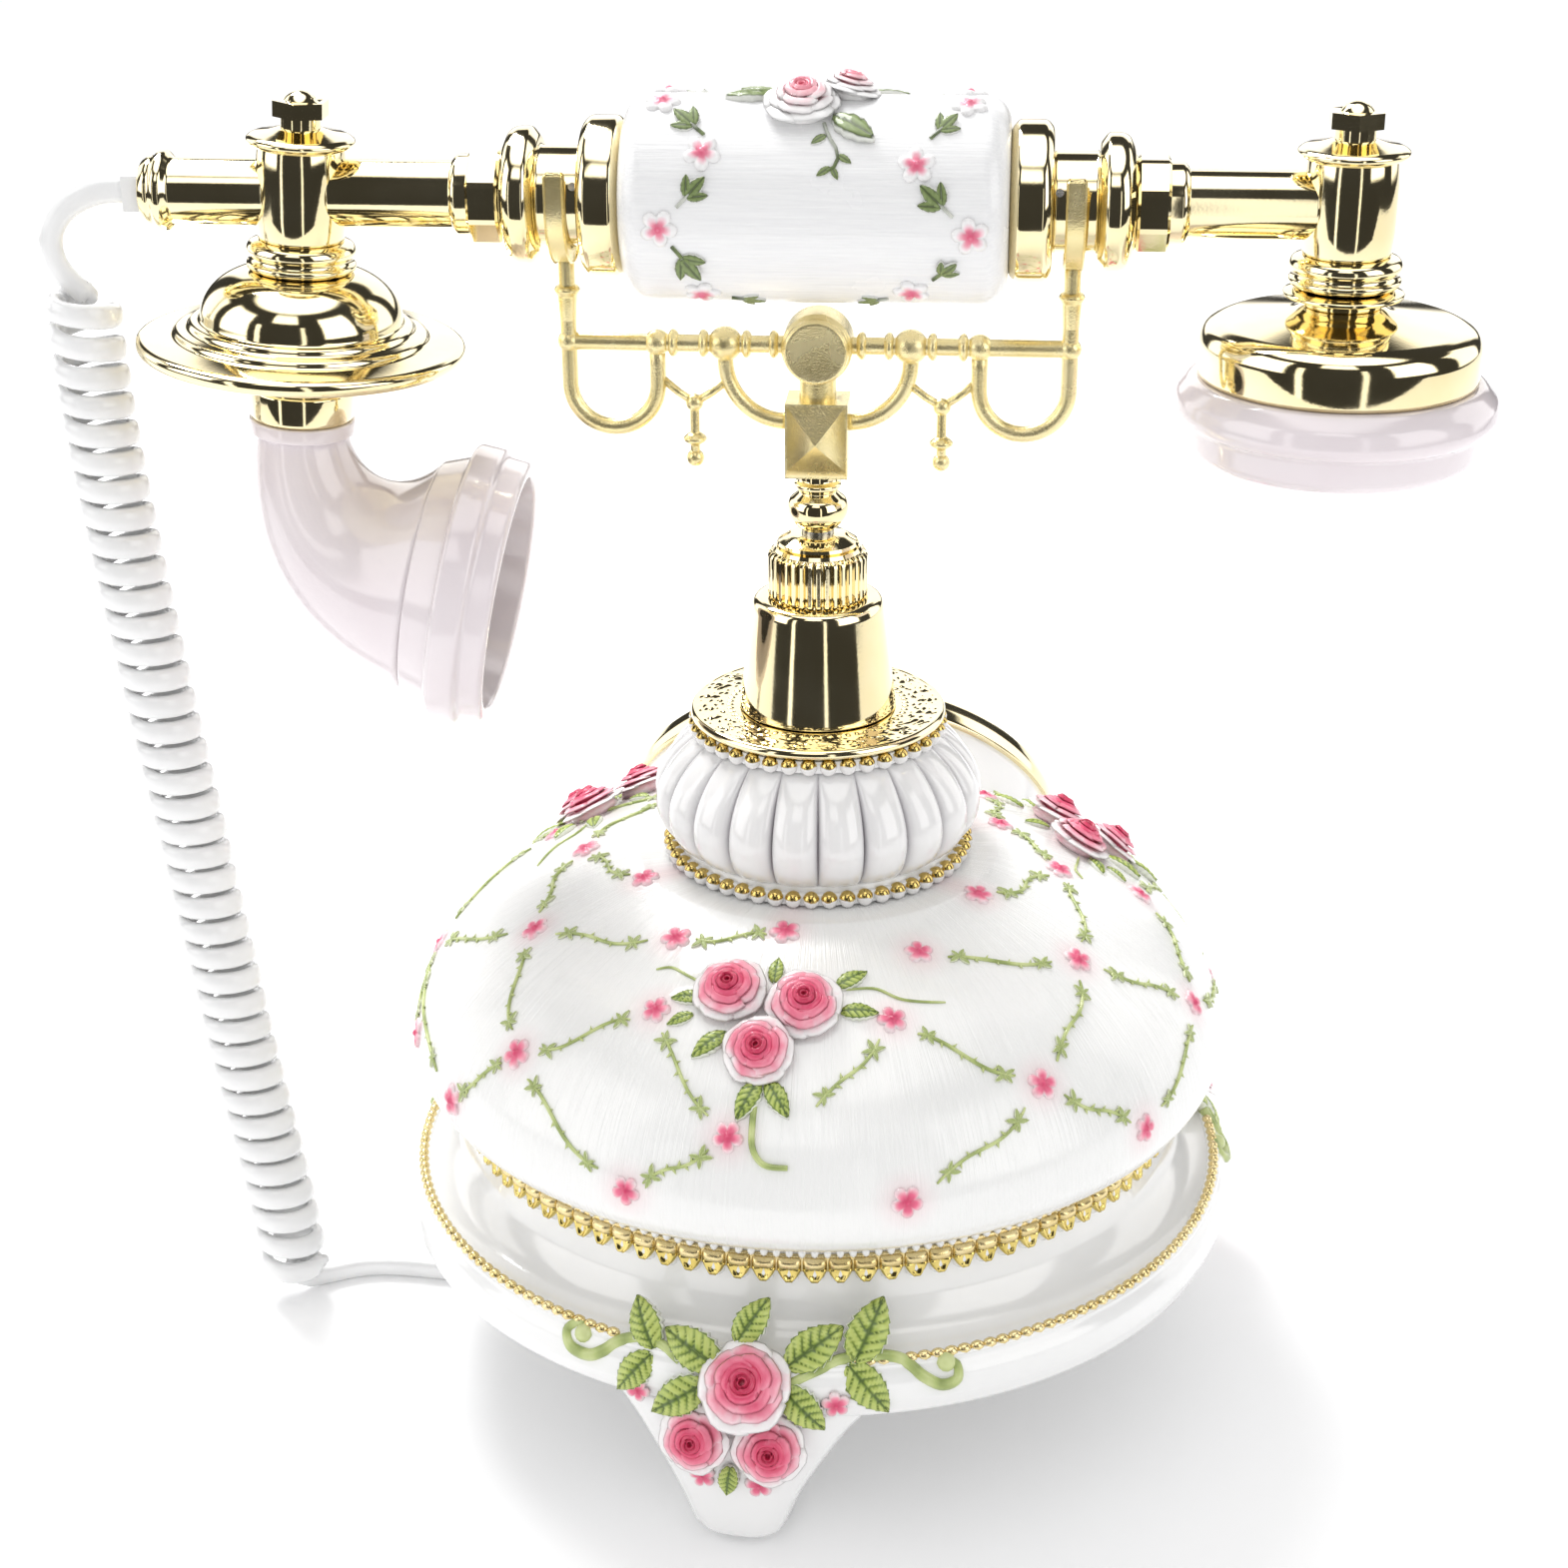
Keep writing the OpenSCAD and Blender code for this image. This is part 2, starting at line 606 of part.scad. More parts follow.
// The rod stands on the spring by its disc, which stops under the fluted collar at the top of its travel
module plunger() color("silver") {
    translate([0, 0, plunger_tip_z]) cylinder(r = tail_r, h = plunger_disc_z - plunger_tip_z);
    translate([0, 0, plunger_disc_z]) cylinder(r = post_bore_r - gap, h = plunger_disc_t);
    translate([0, 0, plunger_disc_z]) cylinder(r = rod_r, h = cap_top_z - plunger_disc_z + 1);
}

// A helical spring between the flange and the plunger's disc
module hook_spring() color("darkgray") {
    low = sleeve_z + wire_d / 2 + 0.1;
    high = plunger_disc_z - wire_d / 2 - 0.1;
    spring_r = (rod_r + post_bore_r) / 2;
    steps = 9 * spring_turns;
    route = [for (i = [0:steps]) let (turn = 360 * spring_turns * i / steps)
        [spring_r * cos(turn), spring_r * sin(turn), low + (high - low) * i / steps]];
    wound_wire(route, wire_d / 2, 5);
}

module hook_switch() color("black") {
    translate([-12, -6, plunger_tip_z - 8]) cube([24, 12, 8 - gap]);
    for (side = [-1, 1]) translate([side * 10 - 2, -6, plunger_tip_z - 1])
        cube([4, 12, seat_z - wall - plunger_tip_z + 1]);
}

// ---------- inside the base ----------

board_w = 0.9 * waist_r;
board_l = 0.68 * waist_r;
board_lift = 5;
board_z = foot_h + cover_t + board_lift;
board_t = 1.6;

// A board on four posts, with a relay and a capacitor
module circuit_board() color("darkgreen") translate([0, -0.36 * waist_r, 0]) {
    translate([-board_w / 2, -board_l / 2, board_z]) cube([board_w, board_l, board_t]);
    for (x = [-0.44, 0.44]) for (y = [-0.42, 0.42]) translate([x * board_w, y * board_l, foot_h + cover_t])
        cylinder(r = board_t * 1.5, h = board_lift);
    translate([-0.3 * board_w, -0.25 * board_l, board_z + board_t])
        cube([0.26 * board_w, 0.2 * board_l, board_lift]);
    translate([0.12 * board_w, 0, board_z + board_t]) cylinder(r = board_lift, h = 2 * board_lift);
}

ringer_r = 0.2 * waist_r;
ringer_h = 8;

module ringer() color("goldenrod") translate([0, 0.28 * waist_r, foot_h + cover_t]) {
    cylinder(r = ringer_r, h = 0.75 * ringer_h);
    cylinder(r = 0.87 * ringer_r, h = ringer_h);
}

// A modular socket: an open box that a plug enters from below
module socket() {
    difference() {
        translate([-8, -8, foot_h + cover_t]) cube([16, 16, 14]);
        translate([-5.2, -4.2, foot_h]) cube([10.4, 8.4, 13]);
    }
    difference() {
        translate([-6.7, -6.7, foot_h]) cube([13.4, 13.4, cover_t]);
        translate([-5.2, -4.2, foot_h - 1]) cube([10.4, 8.4, 13]);
    }
}

module cord_jack() color("whitesmoke") translate([-jack_x, 0, 0]) socket();
module line_jack() color("whitesmoke") translate([jack_x, 0, 0]) socket();

module base_plug() color("white") translate([-jack_x, 0, 0]) {
    translate([-5, -4, foot_h - 9]) cube([10, 8, 21]);
    translate([0, 0, lead_end_z]) cylinder(r = 3.4, h = foot_h - 9 - lead_end_z);
}

// ---------- dial ----------

module dial_bezel() color(gold) at_dial() turned([
    [bezel_in_r, -2], [bezel_in_r, bezel_z - 1.4], [bezel_in_r + 1.4, bezel_z],
    [bezel_in_r + 0.35 * bezel_w, bezel_z], [bezel_in_r + 0.5 * bezel_w, bezel_z - 1],
    [bezel_in_r + 0.7 * bezel_w, bezel_z - 0.6],
    [housing_r + 0.4, bezel_z - 2.6], [housing_r + 1.2, 0], [housing_r + 1.2, -3], [bezel_in_r + 2, -3],
    [bezel_in_r + 2, -2]]);

module number_plate() color("white") at_dial() difference() {
    translate([0, 0, -plate_t]) cylinder(r = bezel_in_r - 0.1, h = plate_t, $fn = 96);
    translate([0, 0, -plate_t - 1]) cylinder(r = shaft_r + fit, h = plate_t + 2);
}

module finger_stop() color(gold) at_dial() rotate([0, 0, stop_angle]) {
    stop_z = wheel_z + wheel_t + 0.6;
    tip = finger_ring_r - finger_hole_r;
    translate([tip, -1.5, stop_z]) cube([bezel_in_r - tip - fit, 3, 1]);
    translate([tip, 0, stop_z]) cylinder(r = 1.5, h = 1, $fn = 32);
}

module dial_mechanism() color("slategray") at_dial() {
    difference() {
        translate([0, 0, -plate_t - can_h]) cylinder(r = can_r, h = can_h);
        translate([0, 0, -plate_t - can_h + 3]) cylinder(r = shaft_r + 1, h = can_h - 4);
        translate([0, 0, -plate_t - 2]) cylinder(r = shaft_r + fit, h = 3);
    }
    // carrier ring that the mechanism hangs in
    difference() {
        translate([0, 0, -plate_t - 3]) cylinder(r = housing_r - wall - 0.1, h = 2);
        translate([0, 0, -plate_t - 4]) cylinder(r = can_r - 1, h = 4);
    }
}

module finger_wheel() color(gold) at_dial() difference() {
    translate([0, 0, wheel_z]) cylinder(r = wheel_r, h = wheel_t, $fn = 96);
    for (k = [0:9]) rotate([0, 0, first_hole + hole_step * k])
        translate([finger_ring_r, 0, wheel_z - 1]) cylinder(r = finger_hole_r, h = wheel_t + 2);
}

module dial_cap() color(gold) at_dial() translate([0, 0, wheel_z + wheel_t]) turned([
    [0, 0], [dial_cap_r, 0], [dial_cap_r, 0.6], [dial_cap_r - 1.4, 1.4], [dial_cap_r - 2.6, 1.2], [0, 1.8]]);

module dial_shaft() color("silver") at_dial() {
    translate([0, 0, -plate_t - can_h + 4]) cylinder(r = shaft_r, h = can_h + plate_t + wheel_z - 4);
    translate([0, 0, gap]) cylinder(r = shaft_r + 2, h = wheel_z - gap);
}

// ---------- cradle ----------

// An oblate ball with a small ring on it, between the plunger and the block
module cradle_stem() color(gold) translate([0, 0, oblate_z]) turned([
    [0, cap_top_z + 1 - oblate_z], [rod_r, cap_top_z + 1 - oblate_z], [rod_r, -oblate_h - 0.2],
    [rod_r + 1, 0.3 - oblate_h], [oblate_r - 0.5, -2], [oblate_r, -0.7], [oblate_r, 0.7], [oblate_r - 0.5, 2],
    [oblate_r - 2.4, oblate_h - 0.4], [oblate_r - 2, oblate_h], [oblate_r - 1.4, oblate_h + 0.6],
    [oblate_r - 1.4, oblate_h + 1.4], [oblate_r - 2.4, oblate_h + 1.8], [oblate_r - 2.4, block_z - oblate_z],
    [0, block_z - oblate_z]]);

module cradle_block() color(gold) {
    mid = block_z + block_h / 2;
    translate([-block_w / 2, -block_d / 2, block_z]) cube([block_w, block_d, block_h]);
    hull() {
        translate([0.4 - block_w / 2, -block_d / 2 - eps, block_z + 1.6])
            cube([block_w - 0.8, 2 * eps, block_h - 2]);
        translate([0, -block_d / 2 - 2.8, mid]) cube([eps, eps, eps], center = true);
    }
    translate([0, 0, block_z + block_h]) cylinder(r = 3.6, h = bar_z - barrel_r - block_z - block_h + 0.8);
}

// The barrel lies along Y over the block, with a dished face at each end
module cradle_barrel() color(gold) difference() {
    translate([0, 0, bar_z]) rotate([90, 0, 0]) turned([
        [0, -barrel_l / 2], [barrel_r - 1.4, -barrel_l / 2], [barrel_r - 0.4, -barrel_l / 2 + 1],
        [barrel_r, -barrel_l / 2 + 2.4], [barrel_r, barrel_l / 2 - 3], [barrel_r - 0.7, barrel_l / 2 - 2.2],
        [barrel_r - 0.5, barrel_l / 2 - 1], [barrel_r - 1, barrel_l / 2], [barrel_r - 1.6, barrel_l / 2],
        [0, barrel_l / 2 - 0.7]]);
    translate([0, 0, bar_z + barrel_r - 3]) cylinder(r = 2.3, h = 4);
    cylinder(r = 3.6, h = bar_z - barrel_r + 0.8);
}

module barrel_screw() color("dimgray") translate([0, 0, bar_z + barrel_r - 3]) difference() {
    cylinder(r = 2.2, h = 1.6);
    translate([-3, -0.4, 1]) cube([6, 0.8, 2]);
}

// A fork: a U of square section round the handset's groove
module fork() translate([fork_x, 0, 0]) {
    difference() {
        union() {
            along_x(-prong_w / 2) translate([-axis_z, 0, 0]) cylinder(r = fork_out_r, h = prong_w);
            translate([-prong_w / 2, -fork_out_r, axis_z]) cube([prong_w, 2 * fork_out_r, prong_rise]);
        }
        translate([-prong_w, -fork_out_r - 1, axis_z + prong_rise])
            cube([2 * prong_w, 2 * fork_out_r + 2, fork_out_r]);
        along_x(-prong_w) translate([-axis_z, 0, 0]) cylinder(r = fork_in_r, h = 2 * prong_w);
        translate([-prong_w, -fork_in_r, axis_z]) cube([2 * prong_w, 2 * fork_in_r, prong_rise + 1]);
    }
}

// A collar turned on the cross bar
module bar_collar(x) along_x(x) translate([-bar_z, 0, 0]) turned([
    [0, -0.9], [bar_r + 0.3, -0.9], [bar_r + 1, -0.2], [bar_r + 1, 0.4], [bar_r + 0.3, 0.9], [0, 0.9]]);

module cradle_frame() color("goldenrod") difference() {
    both_ends() cradle_side();
    translate([0, 0, bar_z]) rotate([90, 0, 0]) cylinder(r = barrel_r, h = barrel_l, center = true);
}

// Bar, balls, loops, arc, pendant and fork of one side
module cradle_side() {
    along_x(barrel_r - 0.6) translate([-bar_z, 0, 0]) cylinder(r = bar_r, h = fork_x - barrel_r + 0.6);
    for (x = [barrel_r + 1.6, large_ball_x - large_ball_r - 0.8, large_ball_x + large_ball_r + 0.8,
              ball_x - small_ball_r - 0.6]) bar_collar(x);
    translate([large_ball_x, 0, bar_z]) sphere(large_ball_r);
    translate([ball_x, 0, bar_z]) sphere(small_ball_r);
    translate([fork_x, 0, loop_z]) cylinder(d = loop_d, h = axis_z - fork_in_r - loop_z - 1);
    translate([fork_x, 0, bar_z + 4]) cylinder(r1 = loop_d / 2, r2 = loop_d / 2 + 0.5, h = 7);
    translate([ball_x, 0, loop_z]) cylinder(d = loop_d, h = bar_z - loop_z);
    translate([loop_x, 0, loop_z]) rotate([90, 0, 0]) rotate([0, 0, 180])
        rotate_extrude(angle = 180, $fn = 64) translate([loop_r, 0]) circle(d = loop_d, $fn = 24);
    translate([block_w / 2, 0, bar_z - 3.4]) rotate([90, 0, 0]) rotate([0, 0, 270])
        rotate_extrude(angle = 90, $fn = 64) translate([arc_r, 0]) circle(d = loop_d, $fn = 24);
    translate([large_ball_x, 0, bar_z - 3.4]) cylinder(d = loop_d, h = 3);
    pendant();
    fork();
}

pendant_x = 24.2;
pendant_z = bar_z - 11.9;

// Two thin arms from the loop and the arc, which meet at a ball with a drop below it
module pendant() {
    inner = large_ball_x - 0.4 - pendant_x;
    outer = ball_x - 1 - pendant_x;
    for (reach = [inner, outer]) translate([pendant_x, 0, pendant_z])
        rotate([0, atan2(reach, 4.6), 0]) cylinder(r = 0.8, h = norm([reach, 4.6]), $fn = 24);
    translate([pendant_x, 0, pendant_z]) sphere(1.75);
    translate([pendant_x, 0, pendant_z - 11.2]) cylinder(r = 0.95, h = 11, $fn = 24);
    translate([pendant_x, 0, 0]) turned([[0, pendant_z - 8.4], [1.2, pendant_z - 8.4], [2.3, pendant_z - 7.6],
        [2.3, pendant_z - 7], [1.4, pendant_z - 6.2], [0, pendant_z - 6.2]]);
    translate([pendant_x, 0, pendant_z - 11.2]) sphere(1.75);
}

// ---------- handset ----------

// Turns a [radius, station] outline into a piece along +X at the handset's axis
module on_axis(points) translate([0, 0, axis_z]) rotate([0, 90, 0]) turned(points);

// Bore for the wires from the plug to both heads
module wire_bore() translate([0, 0, axis_z]) along_x(-head_x)
    cylinder(r = tube_r - tube_wall, h = 2 * head_x);

module grip() color(cream) difference() {
    half = grip_l / 2;
    round_r = 5;
    edge_r = grip_r - round_r;
    on_axis(concat([[0, -half]], ellipse_arc(round_r, round_r, edge_r, round_r - half, 270, 360, 8),
        ellipse_arc(round_r, round_r, edge_r, half - round_r, 0, 90, 8), [[0, half]]));
    wire_bore();
}

module grip_roses() color("lightpink") difference() {
    translate([0, 0, axis_z]) for (place = [[-4, 18, 0.62], [8, 8, 0.62], [3, 34, 0.5]])
        rotate([place[1], 0, 0]) translate([place[0], 0, grip_r - 1]) rose(place[2] * rose_r);
    on_axis([[0, -grip_l / 2], [grip_r, -grip_l / 2], [grip_r, grip_l / 2], [0, grip_l / 2]]);
}

module grip_rings() color(gold) difference() {
    both_ends() on_axis([
        [0, grip_l / 2], [grip_ring_r - 1.6, grip_l / 2], [grip_ring_r, grip_l / 2 + 1.4],
        [grip_ring_r, groove_x - 1.4], [grip_ring_r - 1.4, groove_x], [0, groove_x]]);
    wire_bore();
}

// Groove, bulge, eight sided collar, ring and tube of one end
module spindle(reach) {
    on_axis([[0, groove_x], [groove_r, groove_x], [groove_r, bulge_x], [bulge_r - 2, bulge_x],
             [bulge_r, bulge_x + 1.6], [bulge_r, bulge_x + bulge_l - 3], [bulge_r - 2.4, octagon_x - 0.6],
             [octagon_w / 2 - 0.6, octagon_x], [octagon_w / 2 - 0.6, collar_x],
             [tube_r + 1.3, collar_x], [tube_r + 1.3, tube_x - 0.8], [tube_r + 0.4, tube_x], [tube_r, tube_x],
             [tube_r, reach], [0, reach]]);
    translate([0, 0, axis_z]) along_x(octagon_x) rotate([0, 0, 22.5])
        cylinder(r = octagon_w / 2 / cos(22.5), h = octagon_l, $fn = 8);
}

module left_spindle() color(gold) difference() {
    mirror([1, 0, 0]) spindle(head_x);
    mouthpiece_head() translate([0, 0, -hub_h - 2]) cylinder(r = hub_r, h = 2 * hub_h + 4);
    left_screw_hole();
    wire_bore();
}
module right_spindle() color(gold) difference() {
    spindle(head_x);
    translate([head_x, 0, axis_z - hub_h - 2]) cylinder(r = hub_r, h = 2 * hub_h + 4);
    mirror([1, 0, 0]) left_screw_hole();
    wire_bore();
}

screw_x = fork_x - prong_w / 2 - 1.2;

module left_screw_hole() translate([-screw_x, 0, axis_z]) rotate([68, 0, 0]) translate([0, 0, groove_r - 1.6])
    cylinder(r = 0.8, h = 3, $fn = 24);

module spindle_screws() color("silver") both_ends() translate([-screw_x, 0, axis_z]) rotate([68, 0, 0])
    translate([0, 0, groove_r - 1.6]) cylinder(r = 0.78, h = 1.7, $fn = 24);

// Places a form in the leaning frame of the mouthpiece head, with its origin where the hub meets the tube
module mouthpiece_head() translate([-head_x, 0, axis_z]) rotate([0, mouth_lean, 0]) children();
module earpiece_head() translate([head_x, 0, axis_z]) children();

module hub() turned([
    [0, -hub_h], [hub_r - 0.4, -hub_h], [hub_r, -hub_h / 2], [hub_r, hub_h / 2], [hub_r - 0.4, hub_h],
    [0, hub_h]]);

// Stepped rings under a hub, down to the top of the bell or bulb
module hub_rings() turned([
    [0, bell_z], [hub_r + 1, bell_z], [hub_r + 1.9, bell_z + 0.8], [hub_r + 1.9, bell_z + 1.6],
    [hub_r + 0.2, bell_z + 2.4], [hub_r + 0.2, head_torus_z - 2.2], [hub_r + 1.6, head_torus_z - 1.6],
    [hub_r + 2, head_torus_z - 0.4], [hub_r + 1.4, head_torus_z + 0.8], [hub_r - 0.4, head_torus_z + 1.4],
    [0, head_torus_z + 1.4]]);

module mouthpiece_hub() color(gold) mouthpiece_head() difference() {
    union() {
        hub();
        hub_rings();
    }
    head_bore();
}

module earpiece_hub() color(gold) earpiece_head() difference() {
    union() {
        hub();
        hub_rings();
        turned([[0, cup_z + 3.2], [hub_r - 1.2, cup_z + 3.2], [hub_r - 1.2, cup_z + 4.4],
                [hub_r + 2.7, cup_z + 5.2], [hub_r + 2.7, cup_z + 5.9], [hub_r + 0.6, cup_z + 6.6],
                [hub_r - 0.8, bell_z], [0, bell_z]]);
    }
    head_bore();
}

// Bore for the wires down a head
module head_bore() translate([0, 0, 2 * horn_z])
    cylinder(r = tube_r - tube_wall, h = hub_h - 2 - 2 * horn_z);

module hub_cap() turned([
    [0, hub_h], [hub_cap_r - 0.8, hub_h], [hub_cap_r, hub_h + 0.8], [hub_cap_r, hub_h + 1.4],
    [hub_cap_r - 0.8, hub_h + 2], [hub_cap_r - 4, hub_h + 2.6], [nut_w / 2 - 0.6, hub_h + 3.4],
    [0, hub_h + 3.4]]);

module hub_caps() color(gold) {
    mouthpiece_head() hub_cap();
    earpiece_head() hub_cap();
}

nut_z = hub_h + 3.4;

module finial_nut() {
    translate([0, 0, nut_z]) cylinder(r = 3.8, h = 2.4);
    translate([0, 0, nut_z + 2.2]) rotate([0, 0, 30]) cylinder(r = nut_w / 2 / cos(30), h = 3, $fn = 6);
    intersection() {
        translate([0, 0, nut_z + 3.4]) sphere(3.6);
        translate([-5, -5, nut_z + 5]) cube(10);
    }
}

module finial_nuts() color(gold) {
    mouthpiece_head() finial_nut();
    earpiece_head() finial_nut();
}

ferrule_x = head_x + hub_r + 16;

// The stub of tube beyond the mouthpiece hub, with the ferrule that the cord plugs into
module cord_ferrule() color(gold) difference() {
    mirror([1, 0, 0]) on_axis([
        [0, head_x], [tube_r, head_x], [tube_r, ferrule_x], [tube_r + 1.3, ferrule_x + 1.2],
        [tube_r + 1.3, ferrule_x + 2.6], [tube_r + 0.3, ferrule_x + 3.6], [tube_r + 0.3, ferrule_x + 4.6],
        [tube_r - 0.6, ferrule_x + 6], [0, ferrule_x + 6]]);
    mouthpiece_head() translate([0, 0, -hub_h - 2]) cylinder(r = hub_r, h = 2 * hub_h + 4);
    translate([-ferrule_x - 6.4, -4, axis_z - 3.6]) cube([5, 8, 7.2]);
}

module handset_plug() color("white") {
    translate([-ferrule_x - 9.5, -3.8, axis_z - 3.4]) cube([7.9, 7.6, 6.8]);
}

// ---------- mouthpiece ----------

module mouthpiece_bell() color(gold) mouthpiece_head() difference() {
    bell_form();
    translate([0, 0, horn_collar_z + 2]) cylinder(r = bell_r - 4, h = bell_z - horn_collar_z - 9);
    head_bore();
}

module bell_form() turned(concat(
    [[0, horn_collar_z], [disc_r - 1.2, horn_collar_z], [disc_r, horn_collar_z + 1], [disc_r, disc_z - 0.6],
     [disc_r - 1, disc_z], [bell_r + 5, disc_z + 0.6], [bell_r + 4.6, disc_z + 1.8],
     [bell_r + 2.2, disc_z + 2.2], [bell_r + 1.8, disc_z + 3.4]],
    ellipse_arc(bell_r - hub_r + 0.4, bell_z - disc_z - 3.6, hub_r - 0.4, disc_z + 3.6, 0, 90, 10),
    [[0, bell_z]]));

module horn_collar() color(gold) mouthpiece_head() difference() {
    turned([
        [0, horn_z], [horn_collar_r - 0.4, horn_z], [horn_collar_r, horn_z + 0.6],
        [horn_collar_r, horn_z + 6], [horn_collar_r - 0.8, horn_z + 6.6], [horn_collar_r - 0.8, horn_z + 9],
        [horn_collar_r + 1, horn_z + 10], [horn_collar_r + 1, horn_collar_z], [0, horn_collar_z]]);
    head_bore();
}

// The horn bends from the collar round to the mouth and flares on the way
horn_steps = 12;
mouth_x = 25;
mouth_drop = 31.6;
mouth_pull = 16;

// Centre line of the horn as a curve through four control places in the head's XZ plane
function bend_point(a, b, c, d, s) =
    pow(1 - s, 3) * a + 3 * s * pow(1 - s, 2) * b + 3 * s * s * (1 - s) * c + pow(s, 3) * d;
function horn_point(s) = bend_point([0, 0, horn_z - 2.4], [0, 0, horn_z - 19],
    [mouth_x - mouth_pull * cos(mouth_tilt), 0, horn_z - mouth_drop + mouth_pull * sin(mouth_tilt)],
    [mouth_x, 0, horn_z - mouth_drop], s);
function horn_radius(s) = horn_r + (horn_mouth_r - horn_r) * (0.15 * s + 0.85 * pow(s, 1.35));

module flared_horn(inset, more) {
    route = concat(
        [for (i = [0:horn_steps]) horn_point(i / horn_steps)],
        [horn_point(1) + more * unit(horn_point(1) - horn_point(0.99))]);
    radii = concat([for (i = [0:horn_steps]) horn_radius(i / horn_steps) - inset],
        [horn_mouth_r - inset + 0.5 * more]);
    tube_along(route, radii, 32);
}

module at_mouth() translate(horn_point(1)) rotate([0, 90 + mouth_tilt, 0]) children();

module horn() color("mistyrose") mouthpiece_head() difference() {
    union() {
        flared_horn(0, eps);
        translate([0, 0, horn_z - 3]) cylinder(r = horn_r + 1.4, h = 3);
    }
    flared_horn(horn_wall, 1);
    translate([0, 0, horn_z - 4]) cylinder(r = horn_r - horn_wall - 1, h = 5);
}

mouth_h = 17.8;

module mouth_ring() color("mistyrose") mouthpiece_head() at_mouth() turned([
    [horn_mouth_r - horn_wall, 0], [horn_mouth_r + 0.4, 0], [mouth_r - 2.6, 0.34 * mouth_h],
    [mouth_r - 0.4, 0.36 * mouth_h], [mouth_r, 0.4 * mouth_h], [mouth_r - 0.3, 0.68 * mouth_h],
    [mouth_r - 1.6, 0.72 * mouth_h], [mouth_r - 2, 0.96 * mouth_h], [mouth_r - 3, mouth_h],
    [mouth_r - 5, 0.98 * mouth_h], [mouth_r - 5.4, 0.73 * mouth_h],
    [horn_mouth_r - horn_wall, 0.34 * mouth_h]]);

module microphone() color("dimgray") mouthpiece_head() at_mouth() difference() {
    translate([0, 0, 1]) cylinder(r = horn_mouth_r - horn_wall - 0.1, h = 3);
    for (k = [0:5]) rotate([0, 0, 60 * k]) translate([9, 0, -1]) cylinder(r = 1.5, h = 6, $fn = 24);
    translate([0, 0, -1]) cylinder(r = 1.5, h = 6, $fn = 24);
}

// ---------- earpiece ----------

module earpiece_cup() color(gold) earpiece_head() difference() {
    turned([[0, ear_z], [cup_r, ear_z], [cup_r, cup_z - 3.4], [cup_r - 1, cup_z - 1.2], [cup_r - 3.4, cup_z],
            [hub_r + 1.2, cup_z + 2], [hub_r - 1.2, cup_z + 3.2], [0, cup_z + 3.2]]);
    translate([0, 0, ear_z - 1]) cylinder(r = cup_r - 2, h = cup_h - 2.4);
    head_bore();
}

ear_step_r = ear_r - 3.4;

module ear_cap() color("mistyrose") earpiece_head() difference() {
    turned([[0, ear_z - ear_h], [ear_step_r - 1.6, ear_z - ear_h], [ear_step_r, ear_z - ear_h + 1.8],
            [ear_step_r + 0.4, ear_z - ear_h + 6.6], [ear_r - 1, ear_z - ear_h + 7.6],
            [ear_r, ear_z - ear_h + 9.6], [ear_r - 0.6, ear_z - 3], [cup_r + 1.6, ear_z - 0.6],
            [cup_r + 0.6, ear_z], [0, ear_z]]);
    translate([0, 0, ear_z - ear_h + 4]) cylinder(r = cup_r - 3, h = ear_h);
    translate([0, 0, ear_z - ear_h - 1]) cylinder(r1 = ear_step_r - 4, r2 = ear_step_r - 10, h = 3.4);
    translate([0, 0, ear_z - ear_h - 1]) cylinder(r = 1.3, h = 10, $fn = 24);
    for (k = [0:5]) rotate([0, 0, 60 * k]) translate([6, 0, ear_z - ear_h - 1])
        cylinder(r = 1.3, h = 10, $fn = 24);
}

module receiver_capsule() color("dimgray") earpiece_head() translate([0, 0, ear_z - ear_h + 4])
    cylinder(r = cup_r - 3.3, h = 11);

// ---------- cord ----------

module cord_lead_top() color("white") tube_along(lead_top, [for (p = lead_top) cord_d / 2], 10);
module cord_coil() color("white") tube_along(coil_route, [for (p = coil_route) coil_d / 2], 12);
module cord_lead_low() color("white") tube_along(lead_low, [for (p = lead_low) cord_d / 2], 10);

base_casting();
leaf_band();
rope_band();
feet();
foot_pads();
foot_roses();
foot_leaves();
dome_roses();
bottom_cover();
cover_screws();
fluted_neck();
lower_bead_ring();
upper_bead_ring();
post_flange();
post_sleeve();
fluted_collar();
slotted_cap();
hook_spring();
hook_switch();
circuit_board();
ringer();
line_jack();
cord_jack();
base_plug();
dial_bezel();
number_plate();
finger_stop();
dial_mechanism();
finger_wheel();
dial_cap();
dial_shaft();
plunger();
cradle_stem();
cradle_block();
cradle_barrel();
barrel_screw();
cradle_frame();
grip();
grip_roses();
grip_rings();
left_spindle();
right_spindle();
spindle_screws();
mouthpiece_hub();
earpiece_hub();
hub_caps();
finial_nuts();
cord_ferrule();
mouthpiece_bell();
horn_collar();
horn();
mouth_ring();
microphone();
earpiece_cup();
ear_cap();
receiver_capsule();
handset_plug();
cord_lead_top();
cord_coil();
cord_lead_low();
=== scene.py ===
# %% [markdown]
# # An ornate cradle telephone, dressed for the camera
#
# The solid model of this telephone already exists: every casting, screw and joint has its true place and size.
# This lesson gives it the looks: polished gold, painted roses, a combed white glaze and a glossy coiled cord.
# Everything is in metres in the solid model's own frame, so a new piece goes exactly where its solid is.

import math
import random
from math import copysign, cos, exp, pi, radians, sin

import bmesh
import bpy
from mathutils import Matrix, Vector


